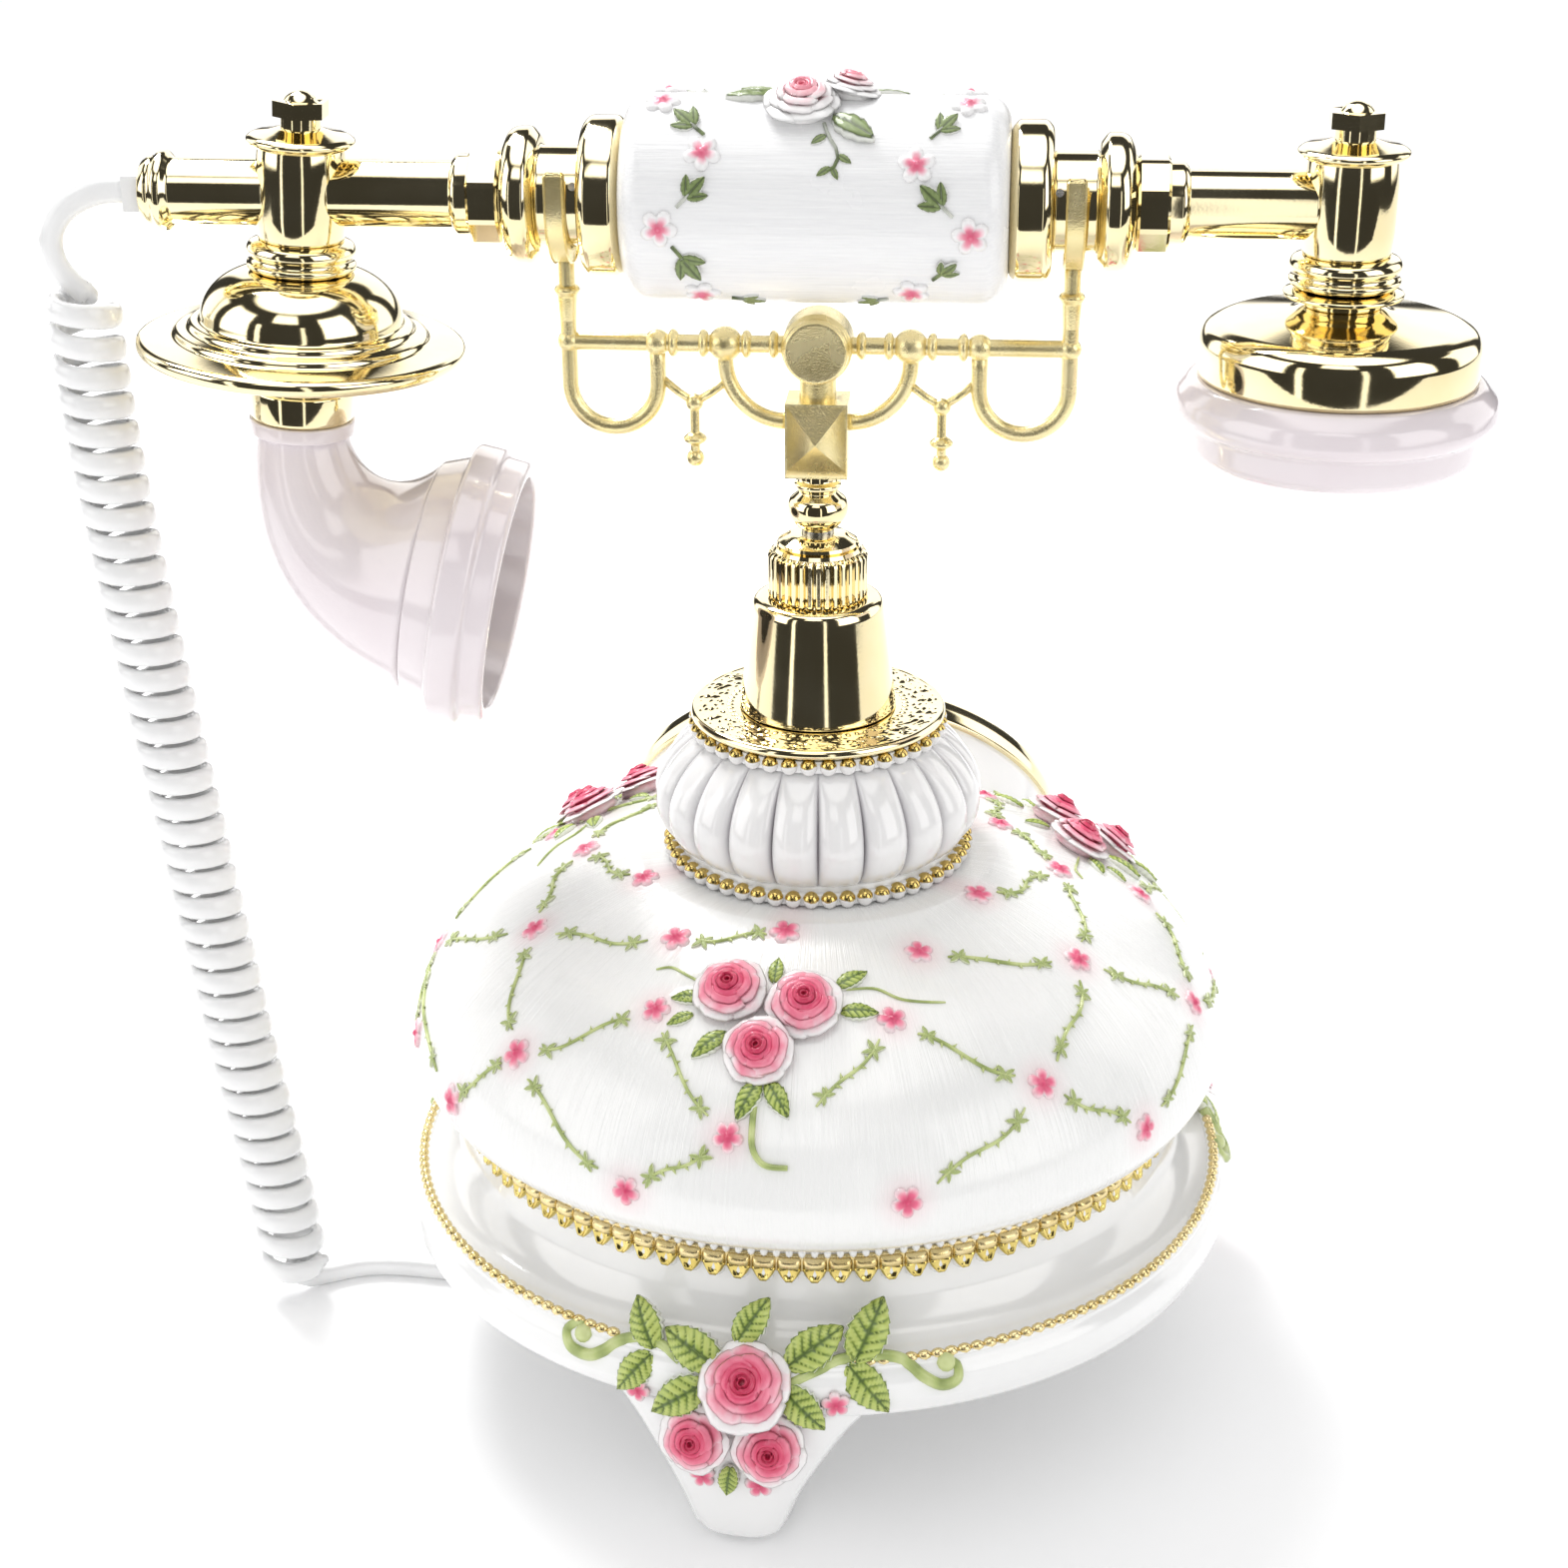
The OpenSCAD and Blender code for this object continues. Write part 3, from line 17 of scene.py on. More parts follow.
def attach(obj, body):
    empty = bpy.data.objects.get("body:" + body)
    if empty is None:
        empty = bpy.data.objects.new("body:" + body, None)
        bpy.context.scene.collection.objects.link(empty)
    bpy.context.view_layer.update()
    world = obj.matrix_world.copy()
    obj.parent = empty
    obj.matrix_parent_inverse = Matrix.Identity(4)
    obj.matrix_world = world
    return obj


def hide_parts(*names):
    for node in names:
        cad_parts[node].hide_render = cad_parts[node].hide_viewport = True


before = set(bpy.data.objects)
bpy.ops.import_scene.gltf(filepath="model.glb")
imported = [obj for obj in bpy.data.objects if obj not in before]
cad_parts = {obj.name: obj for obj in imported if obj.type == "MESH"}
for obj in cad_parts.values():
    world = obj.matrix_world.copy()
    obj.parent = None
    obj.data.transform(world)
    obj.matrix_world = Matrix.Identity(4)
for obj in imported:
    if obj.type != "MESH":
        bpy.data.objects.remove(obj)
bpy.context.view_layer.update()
MM = 0.001

# %% [markdown]
# ## The camera
#
# The telephone is seen from its back, a little from above, with a lens somewhat longer than normal.
# Such a lens keeps the round base and the long handset in proportion. The tiny roll is the slight lean of a camera
# that is held by hand.

# %% Camera
CAMERA_TURN = radians(5.0)
CAMERA_PITCH = 0.4172
CAMERA_ROLL = 0.0057
CAMERA_PLACE = (0.0390, -0.5264, 0.3612)
camera_data = bpy.data.cameras.new("camera")
camera_data.lens = 64.03
camera_data.sensor_width = 36
camera_data.clip_start = 0.01
camera = bpy.data.objects.new("camera", camera_data)
bpy.context.scene.collection.objects.link(camera)
aim = Matrix.Rotation(CAMERA_TURN, 4, "Z") @ Matrix.Rotation(pi / 2 - CAMERA_PITCH, 4, "X")
camera.matrix_world = Matrix.Translation(CAMERA_PLACE) @ aim @ Matrix.Rotation(-CAMERA_ROLL, 4, "Z")
bpy.context.scene.camera = camera
print("camera", [round(v, 3) for v in camera.location])

# %% [markdown]
# ## Small helpers
#
# Most pieces are turned on a lathe, so one helper spins an outline into a closed skin. Sharp corners of a real
# turned piece are never quite sharp: a small round on each corner catches the light, so the helper rounds every
# corner of the outline first.

# %% Helpers for meshes
scene_collection = bpy.context.scene.collection


def new_object(name, mesh):
    obj = bpy.data.objects.new(name, mesh)
    scene_collection.objects.link(obj)
    return obj


def closed_up(mesh, merge=0.0):
    """Merges points nearer than merge, where one is given, and turns every face outwards."""
    bm = bmesh.new()
    bm.from_mesh(mesh)
    if merge:
        bmesh.ops.remove_doubles(bm, verts=bm.verts, dist=merge)
    bmesh.ops.recalc_face_normals(bm, faces=bm.faces)
    bm.to_mesh(mesh)
    bm.free()


def mesh_object(name, points, faces, place=None, smooth=True):
    """A mesh from points in millimetres, put in place, with its faces turned outwards."""
    mesh = bpy.data.meshes.new(name)
    mesh.from_pydata([Vector(p) * MM for p in points], [], faces)
    if place is not None:
        mesh.transform(place)
    closed_up(mesh, 1e-7)
    for polygon in mesh.polygons:
        polygon.use_smooth = smooth
    return new_object(name, mesh)


def full_turn(sides):
    return [2 * pi * k / sides for k in range(sides)]


def spun(r, turn, z=0.0):
    """The point at a radius, an angle and a height."""
    return r * cos(turn), r * sin(turn), z


def ring_faces(rings, sides, wrap=False):
    """Quads between rings of points that lie one on another. With wrap the last ring meets the first."""
    return [(i * sides + k, i * sides + (k + 1) % sides,
             (i + 1) % rings * sides + (k + 1) % sides, (i + 1) % rings * sides + k)
            for i in range(rings if wrap else rings - 1) for k in range(sides)]


def end_face(ring, sides):
    """The face that closes one ring."""
    return tuple(ring * sides + k for k in range(sides))


def rounded(outline, reach, steps=3):
    """An open outline of [radius, height] points with each inner corner rounded."""
    result = [outline[0]]
    for before, corner, after in zip(outline, outline[1:], outline[2:]):
        before, corner, after = Vector(before), Vector(corner), Vector(after)
        back, ahead = before - corner, after - corner
        cut = min(reach, 0.45 * back.length, 0.45 * ahead.length)
        if back.length < 1e-6 or ahead.length < 1e-6 or back.angle(ahead, pi) > radians(168):
            result.append(tuple(corner))
            continue
        a, b = corner + back.normalized() * cut, corner + ahead.normalized() * cut
        for i in range(steps + 1):
            t = i / steps
            result.append(tuple(a * (1 - t) ** 2 + corner * 2 * t * (1 - t) + b * t * t))
    result.append(outline[-1])
    return result


def lathe_parts(outline, segments):
    """Points and faces of an outline spun about Z. Its ends lie on the axis or meet each other."""
    points = [spun(r, turn, z) for r, z in outline for turn in full_turn(segments)]
    return points, ring_faces(len(outline), segments)


def lathe(name, outline, place=None, segments=128, reach=0.35):
    """A turned piece. An outline that starts away from the axis closes on itself as a ring."""
    closed = outline[0][0] > 0.01
    if closed:
        outline = [outline[-1]] + outline + [outline[0]]
        outline = rounded(outline, reach)[1:-1]
        outline = outline + [outline[0]]
    else:
        outline = rounded(outline, reach)
    points, faces = lathe_parts(outline, segments)
    return mesh_object(name, points, faces, place)


def joined(name, pieces):
    """One object from several."""
    bm = bmesh.new()
    materials = []
    for piece in pieces:
        offset, start = len(materials), len(bm.faces)
        bm.from_mesh(piece.data)
        bm.faces.ensure_lookup_table()
        materials += list(piece.data.materials)
        for face in bm.faces[start:]:
            face.material_index += offset
    mesh = bpy.data.meshes.new(name)
    bm.to_mesh(mesh)
    bm.free()
    for m in materials:
        mesh.materials.append(m)
    for piece in pieces:
        bpy.data.objects.remove(piece)
    return new_object(name, mesh)


def paint(piece, material):
    piece.data.materials.clear()
    piece.data.materials.append(material)
    return piece


def settle(piece, body, slot, *stands_for):
    """Says what a finished piece rides on and which solids it stands for; the slot is not used."""
    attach(piece, body)
    if stands_for:
        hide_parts(*stands_for)
    return piece


# %% [markdown]
# ## Places
#
# The solid model's leading sizes are repeated here in millimetres. Four local frames carry most of the pieces:
# along the handset, each of its two heads, and the face of the dial.

# %% Leading sizes and local frames
AXIS_Z = 248.43
HEAD_X = 99.6
HUB_R = 8.7
HUB_H = 9.0
TUBE_R = 6.4
MOUTH_LEAN = radians(4.0)
DIAL_TILT = radians(32.0)


def shift(x, y, z):
    return Matrix.Translation((x * MM, y * MM, z * MM))


along_handset = shift(0, 0, AXIS_Z) @ Matrix.Rotation(pi / 2, 4, "Y")
mirror_x = Matrix.Scale(-1, 4, (1, 0, 0))
mouth_head = shift(-HEAD_X, 0, AXIS_Z) @ Matrix.Rotation(MOUTH_LEAN, 4, "Y")
ear_head = shift(HEAD_X, 0, AXIS_Z)
dial_face = shift(0, 76, 85) @ Matrix.Rotation(pi, 4, "Z") @ Matrix.Rotation(pi / 2 - DIAL_TILT, 4, "X")
print("dial faces", [round(v, 3) for v in dial_face.to_3x3() @ Vector((0, 0, 1))])

# %% [markdown]
# ## The cord
#
# A curly cord is one flat, four wire cable wound on a rod, broad side out. It is one flat tube here: a short lead
# from the plug, then a coil of a little under forty turns whose middle line hangs in a gentle bow, then a lead along
# the table to the socket under the base. The coil closes to its middle over part of a turn at each end, where the
# leads join it.

# %% Cord route
# Half the cord's width and thickness, and the winding's radius, in millimetres.
CORD_WIDE, CORD_THIN = 2.45, 1.4
COIL_R = 6.2
LEAD_TOP = [
    (-134.1, 0, 248.4), (-140, 0, 247.8), (-146, 0, 245), (-149.5, 0, 240.5), (-150, 0, 235.5), (-148, 0, 231.4),
    (-145.2, 0, 228.5)
]
COIL_ROUTE = [
    (-145, 0, 228.4), (-144.8, 0, 215), (-144, 0, 200), (-142.6, 0, 185), (-141, 0, 170), (-139.2, 0, 155),
    (-137.4, 0, 140), (-135.4, 0, 125), (-133.4, 0, 110), (-131.2, -1, 95), (-128.8, -2, 80), (-126.6, -3, 65),
    (-124, -4, 50), (-121.4, -5, 35), (-119, -6, 20), (-117.6, -6, 6)
]
LEAD_LOW = [
    (-117.4, -6, 5.6), (-115.4, -4.6, 3.2), (-111, -1.6, 2.4), (-104, 1.6, 2.4), (-96, 2.4, 2.4), (-86, 1.6, 2.4),
    (-76, 0.6, 2.6), (-66, 0, 4.6), (-58, 0, 9.6), (-53, 0, 15.6), (-52, 0, 20.4)
]
COIL_TURNS = 38.5
COIL_EASE = 0.7
STEPS_PER_TURN, EASED_STEPS, CORD_SIDES = 24, 17, 12


def along(route, share):
    """A place at a share of a route's length, on a smooth curve through its points."""
    spans = [(Vector(b) - Vector(a)).length for a, b in zip(route, route[1:])]
    left = share * sum(spans)
    for i, span in enumerate(spans):
        if left <= span or i == len(spans) - 1:
            t = min(left / span, 1.0)
            break
        left -= span
    p = [Vector(route[max(0, min(len(route) - 1, i + k))]) for k in (-1, 0, 1, 2)]
    return 0.5 * (2 * p[1] + (p[2] - p[0]) * t + (2 * p[0] - 5 * p[1] + 4 * p[2] - p[3]) * t * t
                  + (3 * p[1] - p[0] - 3 * p[2] + p[3]) * t ** 3)


def coil_place(share):
    """A place on the winding, share 0 to 1."""
    middle = along(COIL_ROUTE, share)
    ahead = (along(COIL_ROUTE, min(share + 0.01, 1)) - along(COIL_ROUTE, max(share - 0.01, 0))).normalized()
    side = ahead.cross(Vector((0, 1, 0))).normalized()
    up = side.cross(ahead)
    turn = 2 * pi * COIL_TURNS * share
    opened = min(1.0, COIL_TURNS * share / COIL_EASE, COIL_TURNS * (1 - share) / COIL_EASE)
    reach = COIL_R * sin(opened * pi / 2) ** 1.3
    return middle + reach * (cos(turn) * side + sin(turn) * up)


def direction(points, i):
    """Which way a chain of points runs at its point i."""
    return (points[min(i + 1, len(points) - 1)] - points[max(i - 1, 0)]).normalized()


def square_to(ahead, side):
    """The part of side that stands square to ahead."""
    return (side - ahead * side.dot(ahead)).normalized()


def squared_up(value, power):
    """A sine or cosine raised to a power, with its sign kept, which makes a round section squarer."""
    return copysign(abs(value) ** power, value)


def face_out(i):
    """Which way the cord's face looks on the winding; the eased ends keep that of the last full turn."""
    i = min(max(i, EASED_STEPS), steps - EASED_STEPS)
    return (coil_points[i] - along(COIL_ROUTE, i / steps)).normalized()


def carried(face, points):
    """The flat cord's face, turned as little as possible from one point to the next."""
    faces = []
    for i in range(1, len(points)):
        face = square_to(direction(points, i), face)
        faces.append(face)
    return faces


steps = int(COIL_TURNS * STEPS_PER_TURN)
coil_points = [coil_place(i / steps) for i in range(steps + 1)]
top_points = [along(LEAD_TOP, i / 14) for i in range(14)]
low_points = [along(LEAD_LOW, i / 36) for i in range(1, 37)]
cord_points = top_points + coil_points + low_points
coil_faces = [face_out(i) for i in range(steps + 1)]
top_faces = carried(coil_faces[0], (top_points + coil_points[:1])[::-1])[::-1]
cord_faces = top_faces + coil_faces + carried(coil_faces[-1], coil_points[-1:] + low_points)
points = []
for i, (place, face) in enumerate(zip(cord_points, cord_faces)):
    ahead = direction(cord_points, i)
    face = square_to(ahead, face)
    broad = ahead.cross(face)
    for turn in full_turn(CORD_SIDES):
        points.append(place + face * CORD_THIN * squared_up(cos(turn), 0.8)
                      + broad * CORD_WIDE * squared_up(sin(turn), 0.8))
faces = ring_faces(len(cord_points), CORD_SIDES)
faces += [end_face(0, CORD_SIDES), end_face(len(cord_points) - 1, CORD_SIDES)]
handset_cord = mesh_object("handset_cord", points, faces)

# %% [markdown]
# ## Helpers for nodes
#
# Materials, surroundings and Geometry Nodes trees are all made of nodes. These helpers make a node, set its values and
# wire it, so that each tree reads as a list of steps.

# %% Helpers for nodes
def link(tree, a, b):
    tree.links.new(a, b)


def given(node, **values):
    """Sets some of a node's settings, and of the values of its inputs."""
    for key, value in values.items():
        if hasattr(node, key):
            setattr(node, key, value)
        else:
            node.inputs[key.replace("_", " ")].default_value = value
    return node


def node_of(tree, kind, wires=None, **values):
    """A new node with some settings and values given, and with other nodes' outputs wired to its inputs."""
    made = given(tree.nodes.new(kind), **values)
    for title, source in (wires or {}).items():
        link(tree, source, made.inputs[title])
    return made


def math_node(tree, operation, *values, clamp=False):
    """A Math node; each value is a number or another node's output."""
    made = node_of(tree, "ShaderNodeMath", operation=operation, use_clamp=clamp)
    for socket, value in zip(made.inputs, values):
        if isinstance(value, (int, float)):
            socket.default_value = value
        else:
            link(tree, value, socket)
    return made.outputs[0]


def mapped(tree, value, low, high, **settings):
    """A value's way from low to high, as 0 to 1 or between the To values given."""
    made = node_of(tree, "ShaderNodeMapRange", {"Value": value}, From_Min=low, From_Max=high, **settings)
    return made.outputs[0]


def new_material(name):
    """A node material, with its tree and its shader."""
    material = bpy.data.materials.new(name)
    material.use_nodes = True
    return material, material.node_tree, material.node_tree.nodes["Principled BSDF"]


def raised(tree, shader, height, **values):
    """Feeds a height to the shader as a bump."""
    bump = node_of(tree, "ShaderNodeBump", {"Height": height}, **values)
    link(tree, bump.outputs["Normal"], shader.inputs["Normal"])


print("helpers for nodes ready")

# %% [markdown]
# ## The room
#
# A product shot on white paper: one large floor that runs past every edge of the view, bright enough to read as
# plain white, with only the soft shadow under the base left. Polished gold needs something to mirror, so the
# surroundings hold white softboxes and dark strips between them. Only mirrored light sees those strips; the
# floor and the white glaze are lit by an even sky. Past the paper's edge the camera sees plain white.

# %% The paper floor
floor_material, floor_tree, floor_shader = new_material("white_paper")
given(floor_shader, Base_Color=(0.87, 0.87, 0.875, 1), Emission_Color=(1, 1, 1, 1), Emission_Strength=0.12,
      Roughness=0.9, Specular_IOR_Level=0.1)
paper_place = node_of(floor_tree, "ShaderNodeTexCoord")
paper_noise = node_of(floor_tree, "ShaderNodeTexNoise", {"Vector": paper_place.outputs["Object"]}, Scale=60)
raised(floor_tree, floor_shader, paper_noise.outputs["Fac"], Strength=0.02)

FLOOR_X, FLOOR_FRONT, FLOOR_BACK, FLOOR_FAR = 1300, -450, 6000, 6000


def floor_rectangle(low_x, low_y, high_x, high_y):
    return [(low_x, low_y, 0), (high_x, low_y, 0), (high_x, high_y, 0), (low_x, high_y, 0)]


floor = mesh_object("paper_floor", floor_rectangle(-FLOOR_X, FLOOR_FRONT, FLOOR_X, FLOOR_BACK), [(0, 1, 2, 3)],
                    smooth=False)
# The rest of the paper is hidden from mirrored light, so that it doesn't whiten the gold.
floor_beyond = mesh_object(
    "paper_floor_beyond",
    floor_rectangle(-FLOOR_FAR, -FLOOR_FAR, FLOOR_FAR, FLOOR_FRONT)
    + floor_rectangle(-FLOOR_FAR, FLOOR_FRONT, -FLOOR_X, FLOOR_BACK)
    + floor_rectangle(FLOOR_X, FLOOR_FRONT, FLOOR_FAR, FLOOR_BACK),
    [(0, 1, 2, 3), (4, 5, 6, 7), (8, 9, 10, 11)], smooth=False)
floor_beyond.visible_glossy = False
for paper in (floor, floor_beyond):
    paint(paper, floor_material)
print("floor", FLOOR_FAR / 500, "m across")

# %% [markdown]
# ## The light
#
# The surroundings are one node tree: softboxes for mirrored light, an even white for the rest. One soft lamp from
# behind lays the shadow towards the camera.

# %% Surroundings and lamp
world = bpy.data.worlds.new("surroundings")
bpy.context.scene.world = world
world.use_nodes = True
sky = world.node_tree
sky.nodes.clear()


sky_place = node_of(sky, "ShaderNodeTexCoord")
sky_split = node_of(sky, "ShaderNodeSeparateXYZ", {"Vector": sky_place.outputs["Generated"]})
bearing = math_node(sky, "ARCTAN2", sky_split.outputs["Y"], sky_split.outputs["X"])
height = sky_split.outputs["Z"]


def soft_window(value, low, high, edge):
    """One between low and high, fading over edge."""
    rise = mapped(sky, value, low - edge, low + edge, interpolation_type="SMOOTHSTEP")
    fall = mapped(sky, value, high + edge, high - edge, interpolation_type="SMOOTHSTEP")
    return math_node(sky, "MULTIPLY", rise, fall)


def panel(turn_low, turn_high, z_low, z_high, strength, edge=0.04):
    """A softbox between two bearings in degrees and two heights."""
    spread = soft_window(bearing, radians(turn_low), radians(turn_high), edge)
    tall = soft_window(height, z_low, z_high, edge)
    return math_node(sky, "MULTIPLY", math_node(sky, "MULTIPLY", spread, tall), strength)


# Bearings are from +X towards +Y; the camera stands near -95.
panels = [
    panel(-179, -140, 0.0, 0.72, 2.0), panel(-112, -78, 0.62, 0.84, 1.7), panel(-50, -12, 0.0, 0.72, 2.0),
    panel(14, 48, -0.1, 0.6, 1.5), panel(62, 118, 0.06, 0.5, 1.4), panel(134, 168, -0.1, 0.6, 1.5),
    panel(-130, -124, -0.7, 0.5, 1.4, 0.02), panel(-76, -71, -0.7, 0.5, 1.2, 0.02),
    math_node(sky, "MULTIPLY", soft_window(height, 0.88, 1.5, 0.03), 2.0)
]
mirrored = panels[0]
for extra in panels[1:]:
    mirrored = math_node(sky, "ADD", mirrored, extra)
mirrored = math_node(sky, "ADD", mirrored, 0.05)
white = (1, 1, 1, 1)
sky_glossy = node_of(sky, "ShaderNodeBackground", {"Strength": mirrored}, Color=(1.0, 0.985, 0.97, 1))
sky_even = node_of(sky, "ShaderNodeBackground", Color=white, Strength=0.86)
sky_seen = node_of(sky, "ShaderNodeBackground", Color=white, Strength=0.90)
sky_ray = node_of(sky, "ShaderNodeLightPath")


def chosen_for(ray, otherwise, chosen):
    """One shader for one kind of ray, and another for the rest."""
    mix = sky.nodes.new("ShaderNodeMixShader")
    for socket, source in zip(mix.inputs, (sky_ray.outputs[ray], otherwise, chosen)):
        link(sky, source, socket)
    return mix.outputs[0]


sky_light = chosen_for("Is Glossy Ray", sky_even.outputs[0], sky_glossy.outputs[0])
sky_last = chosen_for("Is Camera Ray", sky_light, sky_seen.outputs[0])
node_of(sky, "ShaderNodeOutputWorld", {"Surface": sky_last})


def lamp(name, place, target, size, power):
    data = bpy.data.lights.new(name, "AREA")
    data.shape = "RECTANGLE"
    data.size, data.size_y = size
    data.energy = power
    obj = new_object(name, data)
    obj.location = place
    obj.rotation_euler = (Vector(target) - Vector(place)).to_track_quat("-Z", "Y").to_euler()
    return obj


lamp("key_light", place=(-0.5, 0.62, 1.2), target=(0, 0, 0.06), size=(0.55, 0.55), power=13)
look = bpy.context.scene.view_settings
look.view_transform = "Standard"
look.exposure = 0.18
look.gamma = 0.92
print("room ready")

# %% [markdown]
# ## Finishes
#
# Each finish is a node material. Two effects are shared by many of them, so each is one node group with named
# inputs: fine handling marks that vary the gloss, and long scratches or combing that run along one direction.
# The shader itself always stays in the material, so that other programs can read it.

# %% Shared surface effects
def group_of(name, inputs, outputs):
    made = bpy.data.node_groups.new(name, "ShaderNodeTree")
    for title, kind, value in inputs:
        socket = made.interface.new_socket(title, in_out="INPUT", socket_type=kind)
        socket.default_value = value
    for title, kind in outputs:
        made.interface.new_socket(title, in_out="OUTPUT", socket_type=kind)
    return made, made.nodes.new("NodeGroupInput"), made.nodes.new("NodeGroupOutput")


def noise(tree, vector, scale, detail=3.0, rough=0.5):
    made = node_of(tree, "ShaderNodeTexNoise", {"Vector": vector}, Scale=scale, Detail=detail, Roughness=rough)
    return made.outputs["Fac"]


handling, g_in, g_out = group_of("handling_marks", [("Scale", "NodeSocketFloat", 60.0)],
                                 [("Smudge", "NodeSocketFloat"), ("Grain", "NodeSocketFloat")])
g_place = node_of(handling, "ShaderNodeTexCoord")
g_scale = node_of(handling, "ShaderNodeVectorMath", operation="SCALE")
link(handling, g_place.outputs["Object"], g_scale.inputs[0])
link(handling, g_in.outputs["Scale"], g_scale.inputs["Scale"])
link(handling, noise(handling, g_scale.outputs[0], 1.0, 4.0), g_out.inputs["Smudge"])
link(handling, noise(handling, g_scale.outputs[0], 22.0, 2.0), g_out.inputs["Grain"])

combing, c_in, c_out = group_of(
    "combed_lines", [("Around", "NodeSocketFloat", 60.0), ("Upward", "NodeSocketFloat", 3.0)],
    [("Height", "NodeSocketFloat")])
c_place = node_of(combing, "ShaderNodeTexCoord")
c_split = node_of(combing, "ShaderNodeSeparateXYZ", {"Vector": c_place.outputs["Object"]})
c_turn = math_node(combing, "ARCTAN2", c_split.outputs["Y"], c_split.outputs["X"])
c_join = node_of(combing, "ShaderNodeCombineXYZ", {
    "X": math_node(combing, "MULTIPLY", math_node(combing, "COSINE", c_turn), c_in.outputs["Around"]),
    "Y": math_node(combing, "MULTIPLY", math_node(combing, "SINE", c_turn), c_in.outputs["Around"]),
    "Z": math_node(combing, "MULTIPLY", c_split.outputs["Z"], c_in.outputs["Upward"])})
link(combing, noise(combing, c_join.outputs[0], 1.0, 2.0, 0.6), c_out.inputs["Height"])
print("groups:", [g.name for g in bpy.data.node_groups])

# %% [markdown]
# ## One maker for most finishes
#
# A finish is made from a dark and a light colour, between which it drifts, a range of roughness, and a fine bump. The
# maker wires these to the shader once, so that each finish is only a row of numbers.

# %% A maker for materials
SMUDGE_LOW, SMUDGE_HIGH = 0.3, 0.7


def use_group(tree, group, **values):
    return given(node_of(tree, "ShaderNodeGroup", node_tree=group), **values)


def ramp(tree, factor, stops):
    """A colour that runs through (place, colour) stops."""
    made = tree.nodes.new("ShaderNodeValToRGB")
    link(tree, factor, made.inputs[0])
    elements = made.color_ramp.elements
    while len(elements) < len(stops):
        elements.new(0.5)
    for element, (place, colour) in zip(elements, stops):
        element.position = place
        element.color = (*colour, 1)
    return made.outputs["Color"]


def finish_of(name, dark, light, rough=(0.1, 0.2), metal=0.0, scale=60.0, bump=0.03, coat=0.0, comb=None, bump_mm=0.2):
    """A finish whose colour and gloss drift between two values, with a fine bump."""
    material, tree, shader = new_material(name)
    marks = use_group(tree, handling, Scale=scale).outputs
    colour = ramp(tree, marks["Smudge"], [(SMUDGE_LOW, dark), (SMUDGE_HIGH, light)])
    link(tree, colour, shader.inputs["Base Color"])
    gloss = mapped(tree, marks["Smudge"], SMUDGE_LOW, SMUDGE_HIGH, To_Min=rough[0], To_Max=rough[1])
    link(tree, gloss, shader.inputs["Roughness"])
    given(shader, Metallic=metal, Coat_Weight=coat, Coat_Roughness=0.04)
    if comb:
        height = use_group(tree, combing, Around=comb[0], Upward=comb[1]).outputs["Height"]
    else:
        height = marks["Grain"]
    raised(tree, shader, height, Strength=bump, Distance=bump_mm * MM)
    return material


GOLD_DARK, GOLD_LIGHT = (0.89, 0.77, 0.47), (0.94, 0.84, 0.57)
gold = finish_of("gold_plate", GOLD_DARK, GOLD_LIGHT, (0.05, 0.11), 1.0, 70, 0.02)
satin_gold = finish_of("satin_gold", (0.87, 0.74, 0.38), (0.94, 0.83, 0.50), (0.20, 0.30), 0.82, 160, 0.3, bump_mm=0.25)
bead_gold = finish_of("bead_gold", (0.70, 0.56, 0.26), (0.86, 0.73, 0.43), (0.16, 0.26), 0.9, 220, 0.2)
cup_gold = finish_of("cup_gold", (0.58, 0.46, 0.14), (0.80, 0.66, 0.26), (0.08, 0.14), 1.0, 200, 0.1)
glaze = finish_of("white_glaze", (0.85, 0.85, 0.845), (0.88, 0.88, 0.875), (0.10, 0.16), 0.0, 40, 0.02, coat=0.6)
pearl = finish_of("pearl_plastic", (0.77, 0.70, 0.725), (0.80, 0.745, 0.765), (0.10, 0.16), 0.0, 50, 0.02, coat=0.5)
inner = finish_of("inner_plastic", (0.55, 0.55, 0.54), (0.62, 0.62, 0.61), (0.4, 0.5), 0.0, 80, 0.2)
black = finish_of("black_plastic", (0.02, 0.02, 0.022), (0.035, 0.035, 0.038), (0.3, 0.42), 0.0, 90, 0.15)
board_green = finish_of("board_green", (0.02, 0.13, 0.06), (0.03, 0.17, 0.08), (0.3, 0.4), 0.0, 300, 0.1)
steel = finish_of("turned_steel", (0.50, 0.50, 0.50), (0.62, 0.62, 0.62), (0.2, 0.3), 1.0, 150, 0.15)
brass = finish_of("brass_disc", (0.62, 0.45, 0.18), (0.74, 0.55, 0.25), (0.22, 0.34), 1.0, 150, 0.1)
felt = finish_of("pad_felt", (0.16, 0.16, 0.16), (0.26, 0.26, 0.26), (0.85, 0.95), 0.0, 400, 0.8, bump_mm=0.4)
plate_white = finish_of("plate_enamel", (0.84, 0.84, 0.83), (0.88, 0.88, 0.87), (0.12, 0.2), 0.0, 60, 0.02, coat=0.4)
ink = finish_of("numeral_ink", (0.015, 0.015, 0.018), (0.03, 0.03, 0.035), (0.35, 0.5), 0.0, 200, 0.05)
cord_white = finish_of("cord_white", (0.80, 0.80, 0.80), (0.85, 0.85, 0.85), (0.16, 0.24), 0.0, 90, 0.05, coat=0.3)


def gilded(piece, body, *stands_for):
    """A finished piece in polished gold."""
    return settle(paint(piece, gold), body, "gold_plate", *stands_for)


print("materials:", len(bpy.data.materials))

